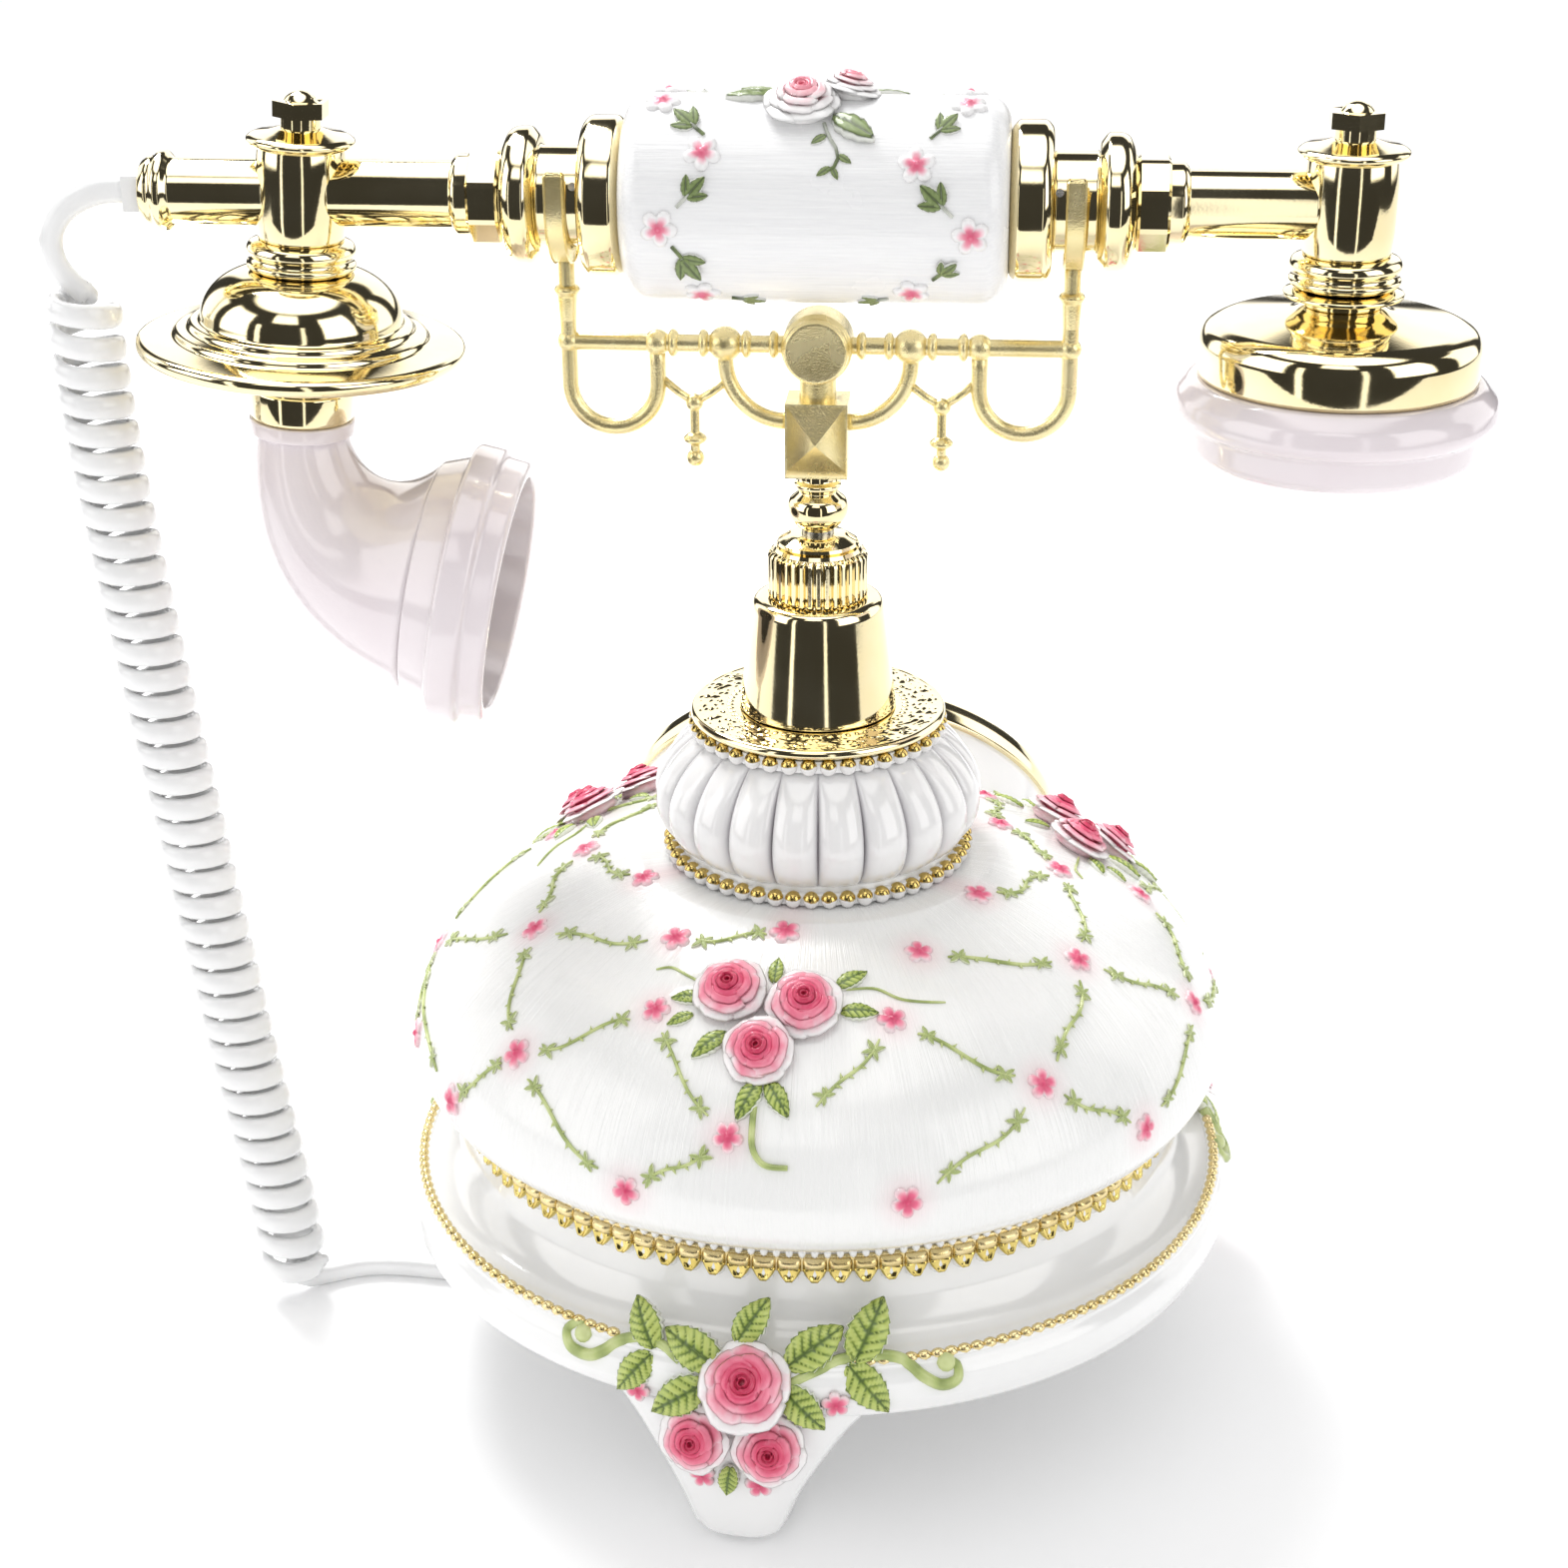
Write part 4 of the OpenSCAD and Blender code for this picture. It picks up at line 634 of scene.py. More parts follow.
# %% [markdown]
# ## Curves into solid bars
#
# Cast arms, loops and prongs follow a path. One helper carries a flat outline along a path and turns it as little
# as possible on the way, which keeps a square bar from twisting.

# %% A bar along a path
def disc_outline(r, sides=20):
    return [spun(r, turn)[:2] for turn in full_turn(sides)]


def bar_parts(path, outline, sizes=None, first_side=(0, 1, 0)):
    """Points and faces of an outline carried along a path, capped at both ends."""
    path = [Vector(p) for p in path]
    side = Vector(first_side)
    points, n = [], len(outline)
    for i, place in enumerate(path):
        ahead = direction(path, i)
        side = square_to(ahead, side)
        up = ahead.cross(side)
        size = sizes[i] if sizes else 1.0
        points += [tuple(place + size * (a * side + b * up)) for a, b in outline]
    return points, ring_faces(len(path), n) + [end_face(0, n), end_face(len(path) - 1, n)[::-1]]


def bar(name, path, outline, place=None, sizes=None, first_side=(0, 1, 0)):
    return mesh_object(name, *bar_parts(path, outline, sizes, first_side), place)


def ellipse_arc(rx, rz, cx, cz, start, end, count):
    """Points of an arc of an ellipse, angles from the first axis towards the second."""
    turns = [radians(start + (end - start) * i / count) for i in range(count + 1)]
    return [(cx + rx * cos(t), cz + rz * sin(t)) for t in turns]


def arc(centre, r, start, end, count=24):
    """Points of a round arc in the XZ plane."""
    x, y, z = centre
    return [(a, y, b) for a, b in ellipse_arc(r, r, x, z, start, end, count)]


def ball_outline(r, rings):
    return [(r * sin(pi * i / rings), -r * cos(pi * i / rings)) for i in range(rings + 1)]


def ball(name, centre, r):
    return mesh_object(name, *lathe_parts(ball_outline(r, 24), 40), shift(*centre))


def sharp(piece, degrees=35):
    """Smooth shading with crisp edges where faces meet at more than an angle."""
    piece.data.shade_smooth()
    piece.data.set_sharp_from_angle(angle=radians(degrees))
    return piece


def eased_copy(name, node, degrees=30):
    """A smooth copy of a solid whose shape is already right."""
    mesh = bpy.data.objects[node].data.copy()
    bm = bmesh.new()
    bm.from_mesh(mesh)
    bmesh.ops.remove_doubles(bm, verts=bm.verts, dist=1e-6)
    bmesh.ops.dissolve_limit(bm, angle_limit=radians(0.5), verts=bm.verts, edges=bm.edges)
    bm.to_mesh(mesh)
    bm.free()
    return sharp(new_object(name, mesh), degrees)


# %% [markdown]
# ## The handset
#
# A white grip between gold rings, a groove that lies in each fork, a round bulge, an eight sided collar and the
# plain tube. All of it was turned on one axis, so each is a lathe outline of radius against distance from the
# middle; the left end is the right end mirrored.

# %% Handset along its axis
GROOVE_X, BULGE_X, OCTAGON_X, COLLAR_X, TUBE_X = 44.4, 52.8, 60.0, 66.1, 69.6
GRIP_HALF, GRIP_R = 36.3, 19.4
FERRULE_X = HEAD_X + HUB_R + 16


def lifted(outline, z):
    """An outline given from its own foot, at its true height."""
    return [(r, rise + z) for r, rise in outline]


left_end = mirror_x @ along_handset
grip_outline = ([(0, -GRIP_HALF)] + ellipse_arc(5, 5, GRIP_R - 5, 5 - GRIP_HALF, 270, 360, 8)
                + ellipse_arc(5, 5, GRIP_R - 5, GRIP_HALF - 5, 0, 90, 8) + [(0, GRIP_HALF)])
grip = lathe("grip_shell", grip_outline, along_handset, 144)
ring_outline = [
    (0, GRIP_HALF), (13.6, GRIP_HALF), (15.2, GRIP_HALF + 1.4), (15.2, GROOVE_X - 1.4), (13.8, GROOVE_X),
    (0, GROOVE_X)
]
spindle_outline = [
    (0, GROOVE_X), (9.5, GROOVE_X), (9.5, BULGE_X), (11, BULGE_X), (13, BULGE_X + 1.6), (13, BULGE_X + 4.2),
    (12.4, BULGE_X + 5.6), (10.6, OCTAGON_X - 0.6), (7.9, OCTAGON_X), (7.9, COLLAR_X), (TUBE_R + 1.3, COLLAR_X),
    (TUBE_R + 1.3, TUBE_X - 0.8), (TUBE_R + 0.4, TUBE_X), (TUBE_R, TUBE_X), (TUBE_R, HEAD_X - 6), (0, HEAD_X - 6)
]


def octagon_collar(name, place):
    """The eight sided collar, with each edge eased."""
    corner = 8.5 / cos(pi / 8) * 0.995
    outline = [spun(corner, radians(45 * k + 22.5) + ease)[:2] for k in range(8) for ease in (-0.06, 0.06)]
    path = [(0, 0, z) for z in (OCTAGON_X, OCTAGON_X + 0.5, COLLAR_X - 0.5, COLLAR_X)]
    return sharp(bar(name, path, outline, place, sizes=[0.95, 1, 1, 0.95], first_side=(1, 0, 0)), 20)


grip_rings = joined("grip_ring_pair", [lathe("ring_a", ring_outline, along_handset, 128, 0.7),
                                       lathe("ring_b", ring_outline, left_end, 128, 0.7)])
spindle_left = joined("spindle_left", [lathe("spindle_turned_a", spindle_outline, left_end, 128, 0.6),
                                       octagon_collar("collar_a", left_end)])
spindle_right = joined("spindle_right", [lathe("spindle_turned_b", spindle_outline, along_handset, 128, 0.6),
                                         octagon_collar("collar_b", along_handset)])
ferrule = lathe("cord_ferrule_turned", [
    (0, HEAD_X + 6), (TUBE_R, HEAD_X + 6), (TUBE_R, FERRULE_X), (TUBE_R + 1.3, FERRULE_X + 1.2),
    (TUBE_R + 1.3, FERRULE_X + 2.6), (TUBE_R + 0.3, FERRULE_X + 3.6), (TUBE_R + 0.3, FERRULE_X + 4.6),
    (TUBE_R - 0.6, FERRULE_X + 6), (4.9, FERRULE_X + 6), (4.9, FERRULE_X + 2), (0, FERRULE_X + 2)], left_end, 96, 0.5)
settle(paint(grip, glaze), "handset", "cream_resin", "grip")
for piece, stands_for in ((grip_rings, "grip_rings"), (spindle_left, "left_spindle"), (spindle_right, "right_spindle"),
                          (ferrule, "cord_ferrule")):
    gilded(piece, "handset", stands_for)
print("grip", round(grip.dimensions.x / MM), "mm long")

# %% [markdown]
# ## The two heads
#
# Each head hangs from an upright hub: a cap and a hexagon nut above, stepped rings below. The mouthpiece carries a
# bell, a broad flange and a collar; the earpiece a wide cup. They are turned too, so their outlines go through the
# same lathe, placed in each head's own frame.

# %% Hubs, bell, flange and cup
TORUS_Z = -HUB_H - 1.4
BELL_Z = TORUS_Z - 4.6
DISC_Z = BELL_Z - 13.6
HORN_COLLAR_Z = DISC_Z - 3.2
HORN_Z = HORN_COLLAR_Z - 12.8
CUP_Z = TORUS_Z - 11.6
EAR_Z = CUP_Z - 10.5
DISC_R, BELL_R = 32.0, 19.8

hub_outline = [
    (0, -HUB_H), (HUB_R - 0.4, -HUB_H), (HUB_R, -HUB_H / 2), (HUB_R, HUB_H / 2), (HUB_R - 0.4, HUB_H), (0, HUB_H)
]
step_outline = [
    (0, BELL_Z), (HUB_R + 1, BELL_Z), (HUB_R + 1.9, BELL_Z + 0.8), (HUB_R + 1.9, BELL_Z + 1.6),
    (HUB_R + 0.2, BELL_Z + 2.4), (HUB_R + 0.2, TORUS_Z - 2.2), (HUB_R + 1.6, TORUS_Z - 1.6),
    (HUB_R + 2, TORUS_Z - 0.4), (HUB_R + 1.4, TORUS_Z + 0.8), (HUB_R - 0.4, TORUS_Z + 1.4), (0, TORUS_Z + 1.4)
]
skirt_outline = [
    (0, CUP_Z + 3.2), (HUB_R - 1.2, CUP_Z + 3.2), (HUB_R - 1.2, CUP_Z + 4.4), (HUB_R + 2.7, CUP_Z + 5.2),
    (HUB_R + 2.7, CUP_Z + 5.9), (HUB_R + 0.6, CUP_Z + 6.6), (HUB_R - 0.8, BELL_Z), (0, BELL_Z)
]
cap_outline = lifted([
    (0, 0), (9.6, 0), (10.4, 0.8), (10.4, 1.4), (9.6, 2), (6.4, 2.6), (4.2, 3.4), (0, 3.4)
], HUB_H)
bell_outline = ([(0, HORN_COLLAR_Z), (DISC_R - 1.2, HORN_COLLAR_Z), (DISC_R, HORN_COLLAR_Z + 1), (DISC_R, DISC_Z - 0.6),
                 (DISC_R - 1, DISC_Z), (BELL_R + 5, DISC_Z + 0.6), (BELL_R + 4.6, DISC_Z + 1.8),
                 (BELL_R + 2.2, DISC_Z + 2.2),
                 (BELL_R + 1.8, DISC_Z + 3.4)]
                + ellipse_arc(BELL_R - HUB_R + 0.4, BELL_Z - DISC_Z - 3.6, HUB_R - 0.4, DISC_Z + 3.6, 0, 90, 14)
                + [(0, BELL_Z)])
horn_collar_outline = [
    (0, HORN_Z), (9.8, HORN_Z), (10.2, HORN_Z + 0.6), (10.2, HORN_Z + 6), (9.4, HORN_Z + 6.6), (9.4, HORN_Z + 9),
    (11.2, HORN_Z + 10), (11.2, HORN_COLLAR_Z), (0, HORN_COLLAR_Z)
]
cup_outline = [
    (0, EAR_Z), (26.7, EAR_Z), (26.7, CUP_Z - 3.4), (25.7, CUP_Z - 1.2), (23.3, CUP_Z), (HUB_R + 1.2, CUP_Z + 2),
    (HUB_R - 1.2, CUP_Z + 3.2), (0, CUP_Z + 3.2)
]
ear_outline = lifted([
    (0, -12.4), (20.5, -13.4), (23.7, -15.5), (26.1, -15.5), (27.7, -13.7), (28.1, -8.9), (30.1, -7.9), (31.1, -5.9),
    (30.5, -3), (28.3, -0.6), (27.3, 0), (0, 0)
], EAR_Z)

both_heads = (mouth_head, ear_head)
head_pieces = [
    ("hub_mouth", [hub_outline, step_outline], [mouth_head], "mouthpiece_hub", 0.5),
    ("hub_ear", [hub_outline, step_outline, skirt_outline], [ear_head], "earpiece_hub", 0.5),
    ("bell_and_flange", [bell_outline], [mouth_head], "mouthpiece_bell", 0.7),
    ("horn_collar_turned", [horn_collar_outline], [mouth_head], "horn_collar", 0.4),
    ("ear_cup_turned", [cup_outline], [ear_head], "earpiece_cup", 1.0),
    ("hub_cap_pair", [cap_outline], both_heads, "hub_caps", 0.6)
]
for name, outlines, places, stands_for, reach in head_pieces:
    parts = [lathe(name + "_part", outline, place, 128, reach) for place in places for outline in outlines]
    gilded(joined(name, parts), "handset", stands_for)
nuts = eased_copy("finial_nut_pair", "finial_nuts", 25)
gilded(nuts, "handset", "finial_nuts")
print("head pieces:", len(head_pieces) + 1)

# %% [markdown]
# ## The horn
#
# The horn is a curved trumpet: its middle line bends from straight down to nearly level while its radius grows.
# Two rows of rings, one for the outside and one for the inside, are joined into one closed wall.

# %% Horn and mouth ring
def bend(a, b, c, d, s):
    a, b, c, d = Vector(a), Vector(b), Vector(c), Vector(d)
    return (1 - s) ** 3 * a + 3 * s * (1 - s) ** 2 * b + 3 * s * s * (1 - s) * c + s ** 3 * d


MOUTH_TILT = radians(6.5)
horn_end = Vector((25, 0, HORN_Z - 31.6))
horn_lead = horn_end + 16 * Vector((-cos(MOUTH_TILT), 0, sin(MOUTH_TILT)))


def horn_point(s):
    return bend((0, 0, HORN_Z - 2.4), (0, 0, HORN_Z - 19), horn_lead, horn_end, s)


def horn_radius(s):
    return 9 + 14.5 * (0.15 * s + 0.85 * s ** 1.35)


HORN_RINGS, HORN_WALL, HORN_SIDES = 40, 2.2, 96
outside = [(i / HORN_RINGS, 0.0) for i in range(HORN_RINGS + 1)]
walls = outside + [(s, HORN_WALL) for s, _ in reversed(outside)]
level = Vector((0, 1, 0))
points = []
for s, inset in walls:
    ahead = (horn_point(min(s + 0.01, 1)) - horn_point(max(s - 0.01, 0))).normalized()
    up = level.cross(ahead)
    for turn in full_turn(HORN_SIDES):
        outward = cos(turn) * level + sin(turn) * up
        points.append(tuple(horn_point(s) + (horn_radius(s) - inset) * outward))
horn_wall = mesh_object("horn_wall", points, ring_faces(len(walls), HORN_SIDES, wrap=True), mouth_head)
horn_seat = lathe("horn_seat", [(6, HORN_Z - 3), (10.4, HORN_Z - 3), (10.4, HORN_Z), (6, HORN_Z)], mouth_head, 96, 0.4)
horn = joined("horn_shell", [horn_wall, horn_seat])
settle(paint(horn, pearl), "handset", "pearl_plastic", "horn")
mouth_frame = mouth_head @ Matrix.Translation(horn_end * MM) @ Matrix.Rotation(pi / 2 + MOUTH_TILT, 4, "Y")
MOUTH_LONG = 17.8
mouth_outline = [(r, share * MOUTH_LONG) for r, share in (
    (21.3, 0), (23.9, 0), (26.2, 0.34), (28.4, 0.36), (28.8, 0.4), (28.5, 0.68), (27.2, 0.72), (26.8, 0.96),
    (25.8, 1), (23.8, 0.98), (23.4, 0.73), (21.3, 0.34))]
mouth_ring = lathe("mouth_ring_turned", mouth_outline, mouth_frame, 128, 0.6)
settle(paint(mouth_ring, pearl), "handset", "pearl_plastic", "mouth_ring")
ear_cap = lathe("ear_cap_turned", ear_outline, ear_head, 128, 0.8)
settle(paint(ear_cap, pearl), "handset", "pearl_plastic", "ear_cap")
print("mouth centre", [round(v, 4) for v in mouth_frame.translation])

# %% [markdown]
# ## The cradle
#
# A cast frame: a cross bar with turned balls, a fork at each end, and hanging loops and arcs under the bar. The
# casting has a satin skin, unlike the polished turned pieces. Each bar is an outline carried along a path.

# %% Cradle frame
BAR_Z, BAR_R, FORK_X, BALL_X, LARGE_X = 220.13, 1.7, 48.6, 31.3, 18.0
LOOP_R, LOOP_X, LOOP_Z = 8.65, 39.95, 211.73
ARC_R = LARGE_X - 6.1
FORK_IN, FORK_OUT = 9.8, 12.8
bar_turn = shift(0, 0, BAR_Z) @ Matrix.Rotation(pi / 2, 4, "Y")


def cradle_side(tag):
    """All the pieces of the frame at +X."""
    rod = disc_outline(1.6, 20)
    made = [lathe(f"cross_bar_{tag}", [(0, 6.3), (BAR_R, 6.3), (BAR_R, FORK_X), (0, FORK_X)], bar_turn, 32, 0.2)]
    for x in (8.5, LARGE_X - 4.2, LARGE_X + 4.2, BALL_X - 3.2):
        made.append(lathe("bar_collar", [(0, x - 0.9), (2, x - 0.9), (2.7, x - 0.2), (2.7, x + 0.4), (2, x + 0.9),
                                         (0, x + 0.9)],
                          bar_turn, 40, 0.3))
    made += [ball("large_ball", (LARGE_X, 0, BAR_Z), 3.4), ball("small_ball", (BALL_X, 0, BAR_Z), 2.6)]
    outer_post = [(FORK_X, 0, AXIS_Z - FORK_IN - 1 - i * (AXIS_Z - FORK_IN - 1 - LOOP_Z) / 12) for i in range(12)]
    hanging = outer_post + arc((LOOP_X, 0, LOOP_Z), LOOP_R, 0, -180, 32) + [(BALL_X, 0, LOOP_Z + 4), (BALL_X, 0, BAR_Z)]
    made.append(bar("loop", hanging, rod))
    made.append(bar("quarter_arc", arc((6.1, 0, BAR_Z - 3.4), ARC_R, -90, 0, 20) + [(LARGE_X, 0, BAR_Z - 1)], rod))
    made.append(lathe("post_taper", [(0, 4), (1.6, 4), (1.9, 9), (2.6, 10.2), (2.1, 11), (0, 11)],
                      shift(FORK_X, 0, BAR_Z), 32, 0.3))
    made.append(ball("loop_knuckle", (FORK_X, 0, BAR_Z), 2.2))
    joint = Vector((24.2, 0, BAR_Z - 11.9))
    for reach in (LARGE_X - 0.4 - 24.2, BALL_X - 1 - 24.2):
        made.append(bar("pendant_arm", [joint, joint + Vector((reach * 0.5, 0, 2.0)), joint + Vector((reach, 0, 4.6))],
                        disc_outline(0.8, 14)))
    made += [ball("pendant_ball", joint, 1.75), ball("drop_ball", joint - Vector((0, 0, 11.2)), 1.75)]
    made.append(lathe("drop_stem", [(0, -11.2), (0.95, -11.2), (0.95, -8.6), (1.2, -8.4), (2.3, -7.6), (2.3, -7),
                                    (1.4, -6.2),
                                    (0.95, -6), (0.95, -0.5), (0, -0.5)], Matrix.Translation(joint * MM), 32, 0.3))
    outline = [(-1.9, -1.15), (-1.55, -1.5), (-1.55, 1.5), (-1.9, 1.15), (1.9, 1.15), (1.55, 1.5), (1.55, -1.5),
               (1.9, -1.15)]
    mid = (FORK_IN + FORK_OUT) / 2
    tips = (6.5, 6.1, 4, 2)
    path = [(FORK_X, -mid, AXIS_Z + rise) for rise in tips]
    path += [(FORK_X, -mid * cos(pi * i / 32), AXIS_Z - mid * sin(pi * i / 32)) for i in range(33)]
    path += [(FORK_X, mid, AXIS_Z + rise) for rise in reversed(tips)]
    sizes = [0.8] + [1.0] * (len(path) - 2) + [0.8]
    made.append(sharp(bar("fork", path, outline, None, sizes, (1, 0, 0)), 25))
    return made


right_side = joined("frame_right", cradle_side("right"))
left_mesh = right_side.data.copy()
left_mesh.transform(mirror_x)
left_mesh.flip_normals()
left_side = new_object("frame_left", left_mesh)
cradle_frame = joined("cradle_casting", [right_side, left_side])
settle(paint(cradle_frame, satin_gold), "cradle", "satin_gold", "cradle_frame")
print("cradle casting faces:", len(cradle_frame.data.polygons))

# %% [markdown]
# ## Block, barrel and stem
#
# The middle of the cradle: a turned ball on the plunger, a square block with a low pyramid on its face, and a
# short barrel that lies across it with a dished end.

# %% Middle of the cradle
OBLATE_Z, BLOCK_Z = 187.33, 194.63
stem = lathe("cradle_stem_turned", [
    (0, 182.93), (3.2, 182.93), (3.2, OBLATE_Z - 4.1), (4.2, OBLATE_Z - 3.6), (5.6, OBLATE_Z - 2),
    (6.1, OBLATE_Z - 0.7),
    (6.1, OBLATE_Z + 0.7), (5.6, OBLATE_Z + 2), (3.7, OBLATE_Z + 3.5), (4.1, OBLATE_Z + 3.9), (4.7, OBLATE_Z + 4.5),
    (4.7, OBLATE_Z + 5.3), (3.7, OBLATE_Z + 5.7), (3.7, BLOCK_Z), (0, BLOCK_Z)], None, 96, 0.6)
gilded(stem, "cradle", "cradle_stem")
barrel = lathe("cradle_barrel_turned", [
    (0, -6.5), (5.5, -6.5), (6.5, -5.5), (6.9, -4.1), (6.9, 3.5), (6.2, 4.3), (6.4, 5.5), (5.9, 6.5), (5.3, 6.5),
    (0, 5.8)],
    shift(0, 0, BAR_Z) @ Matrix.Rotation(pi / 2, 4, "X"), 96, 0.5)
settle(paint(barrel, satin_gold), "cradle", "gold_plate", "cradle_barrel")
block = eased_copy("cradle_block_eased", "cradle_block", 20)
settle(paint(block, satin_gold), "cradle", "satin_gold", "cradle_block")
print("middle of the cradle made")

# %% [markdown]
# ## The base
#
# A hollow casting: a broad plinth, a cove, a waist and a full dome, with a round housing for the dial let into its
# far side. The dome and plinth are one lathe outline. The housing and its bore are then joined and cut with
# boolean operations, the same way the pattern maker would add and drill them.

# %% Dome, plinth and dial housing
PLINTH_R, WAIST_R, DOME_R, DOME_Z, DOME_LOW, DOME_HIGH = 88.0, 74.5, 85.5, 73.29, 22.0, 45.0
ROPE_Z, LEAF_Z, LEAF_TOP_Z, SEAT_Z, SEAT_R, FOOT_H = 44.0, 56.0, 62.5, 113.73, 37.5, 33.0
HOUSING_R, HOUSING_BACK, HOUSING_FACE, WALL = 50.0, -34, -3, 4.0
waist_turn = math.degrees(math.acos(WAIST_R / DOME_R))
seat_turn = math.degrees(math.acos(SEAT_R / DOME_R))
base_outline = ([(0, FOOT_H), (PLINTH_R - 0.6, FOOT_H), (PLINTH_R, FOOT_H + 0.8), (PLINTH_R + 1, 36.85),
                 (PLINTH_R + 0.9, 38.5),
                 (PLINTH_R + 0.6, 40.7), (PLINTH_R - 0.1, 42.2), (PLINTH_R - 1, ROPE_Z - 0.8), (PLINTH_R - 1, ROPE_Z),
                 (83.6, ROPE_Z)]
                + ellipse_arc(83.6 - WAIST_R, 11, 83.6, 55, 270, 200, 14)
                + [(WAIST_R, 55.4), (WAIST_R, LEAF_TOP_Z)]
                + ellipse_arc(DOME_R, DOME_LOW, 0, DOME_Z, 3 - waist_turn, 0, 16)
                + ellipse_arc(DOME_R, DOME_HIGH, 0, DOME_Z, 2, seat_turn, 40) + [(0, SEAT_Z)])
inner_dome = ellipse_arc(DOME_R - WALL, DOME_HIGH - WALL, 0, DOME_Z, 8, 89.9, 12)
hollow_outline = ([(0, FOOT_H - 1), (WAIST_R - WALL, FOOT_H - 1), (WAIST_R - WALL, LEAF_TOP_Z)]
                  + ellipse_arc(DOME_R - WALL, DOME_LOW - 1, 0, DOME_Z, 3 - waist_turn, 0, 6)
                  + [(r, min(z, SEAT_Z - WALL)) for r, z in inner_dome] + [(0, SEAT_Z - WALL)])


def rod_z(name, r, low, high, place=None, segments=144):
    return lathe(name, [(0, low), (r, low), (r, high), (0, high)], place, segments, 0.0)


def box_of(name, low, high):
    points = [(x, y, z) for x in (low[0], high[0]) for y in (low[1], high[1]) for z in (low[2], high[2])]
    faces = [(0, 1, 3, 2), (4, 6, 7, 5), (0, 4, 5, 1), (2, 3, 7, 6), (0, 2, 6, 4), (1, 5, 7, 3)]
    return mesh_object(name, points, faces, smooth=False)


def seen_mesh(piece):
    """The plain mesh that a piece's modifiers or text come to."""
    return bpy.data.meshes.new_from_object(piece.evaluated_get(bpy.context.evaluated_depsgraph_get()))


def applied(piece):
    """Makes what the modifiers come to the piece's own mesh, and takes them off."""
    mesh = seen_mesh(piece)
    piece.modifiers.clear()
    piece.data = mesh
    return piece


def cut(target, tool, operation="DIFFERENCE"):
    """Joins, cuts or clips one closed mesh with another, and uses the other up."""
    step = target.modifiers.new("cut", "BOOLEAN")
    step.operation = operation
    step.solver = "MANIFOLD"
    step.object = tool
    applied(target)
    bpy.data.objects.remove(tool)
    return target


base = lathe("base_shell", base_outline, None, 300, 0.5)
clip = box_of("clip", (-50, 0, FOOT_H), (50, 176, 147))
housing = cut(rod_z("housing_solid", HOUSING_R, HOUSING_BACK, HOUSING_FACE, dial_face), clip, "INTERSECT")
base = cut(base, housing, "UNION")
hollow = lathe("hollow", hollow_outline, None, 120, 0.0)
base = cut(base, cut(hollow, rod_z("keep_wall", HOUSING_R, HOUSING_BACK, 68, dial_face)))
bore = rod_z("housing_bore", HOUSING_R - WALL, -42, 60, dial_face)
bore = cut(bore, box_of("keep_floor", (-90, -90, 0), (90, 90, 39)))
base = cut(base, cut(bore, rod_z("keep_seat", SEAT_R, FOOT_H, 240)))
base = cut(base, rod_z("clear_front", HOUSING_R, HOUSING_FACE, 31, dial_face))
base = cut(base, rod_z("cover_recess", 78.5, FOOT_H - 1, FOOT_H + 2))
sharp(base, 32)
print("base faces:", len(base.data.polygons))

# %% [markdown]
# ## Painted and combed glaze
#
# The dome was combed while its glaze was soft, so very fine lines run up it. Round each painted blossom the pink was
# airbrushed a little past the petals. The comb is a bump that follows the turn about the post, and the blush is a value
# kept on the mesh itself, strongest beside each blossom.

# %% Where the dome's blossoms sit
def on_dome(turn, rise):
    """Place and outward direction on the dome, both angles in degrees, in millimetres."""
    turn, rise = radians(turn), radians(rise)
    high = DOME_HIGH if rise >= 0 else DOME_LOW
    x, y, z = cos(rise) * cos(turn), cos(rise) * sin(turn), sin(rise)
    place = Vector((DOME_R * cos(rise) * cos(turn), DOME_R * cos(rise) * sin(turn),
                    DOME_Z + high * z))
    return place, Vector((x / DOME_R, y / DOME_R, z / high)).normalized()


dial_out = dial_face.to_3x3() @ Vector((0, 0, 1))
dial_middle = dial_face.translation / MM


def clear_of_dial(place, room=HOUSING_R + 4):
    """True where a place keeps away from the dial's housing."""
    away = place - dial_middle
    return (away - dial_out * away.dot(dial_out)).length > room or place.y < 20


# Each blossom is (turn, rise) on the dome in degrees, and each vine runs from one such place to another.
seen_blossoms = [
    (205, 44), (209, 63), (179, 55), (238, 56.5), (265, 62), (328.5, 62.3), (298.5, 56), (359, 54), (20, 62),
    (330.5, 43.5), (244.5, 42.7), (287.5, 44), (225, 24.6), (308, 25.8), (262, 21.2), (249, 5.1), (285.5, 7),
    (323, 6.6), (347, 20), (215, 5.1), (6.3, 37.2), (180, 18.1)
]
far_blossoms = [
    (45, 56), (118, 57), (142, 62), (160, 43), (28, 21.2), (9, 5.1), (45.5, 7), (148, 21.2), (128, 5.1), (165.5, 7),
    (195, 5.1)
]
blossoms = [b for b in seen_blossoms + far_blossoms if clear_of_dial(on_dome(*b)[0])]
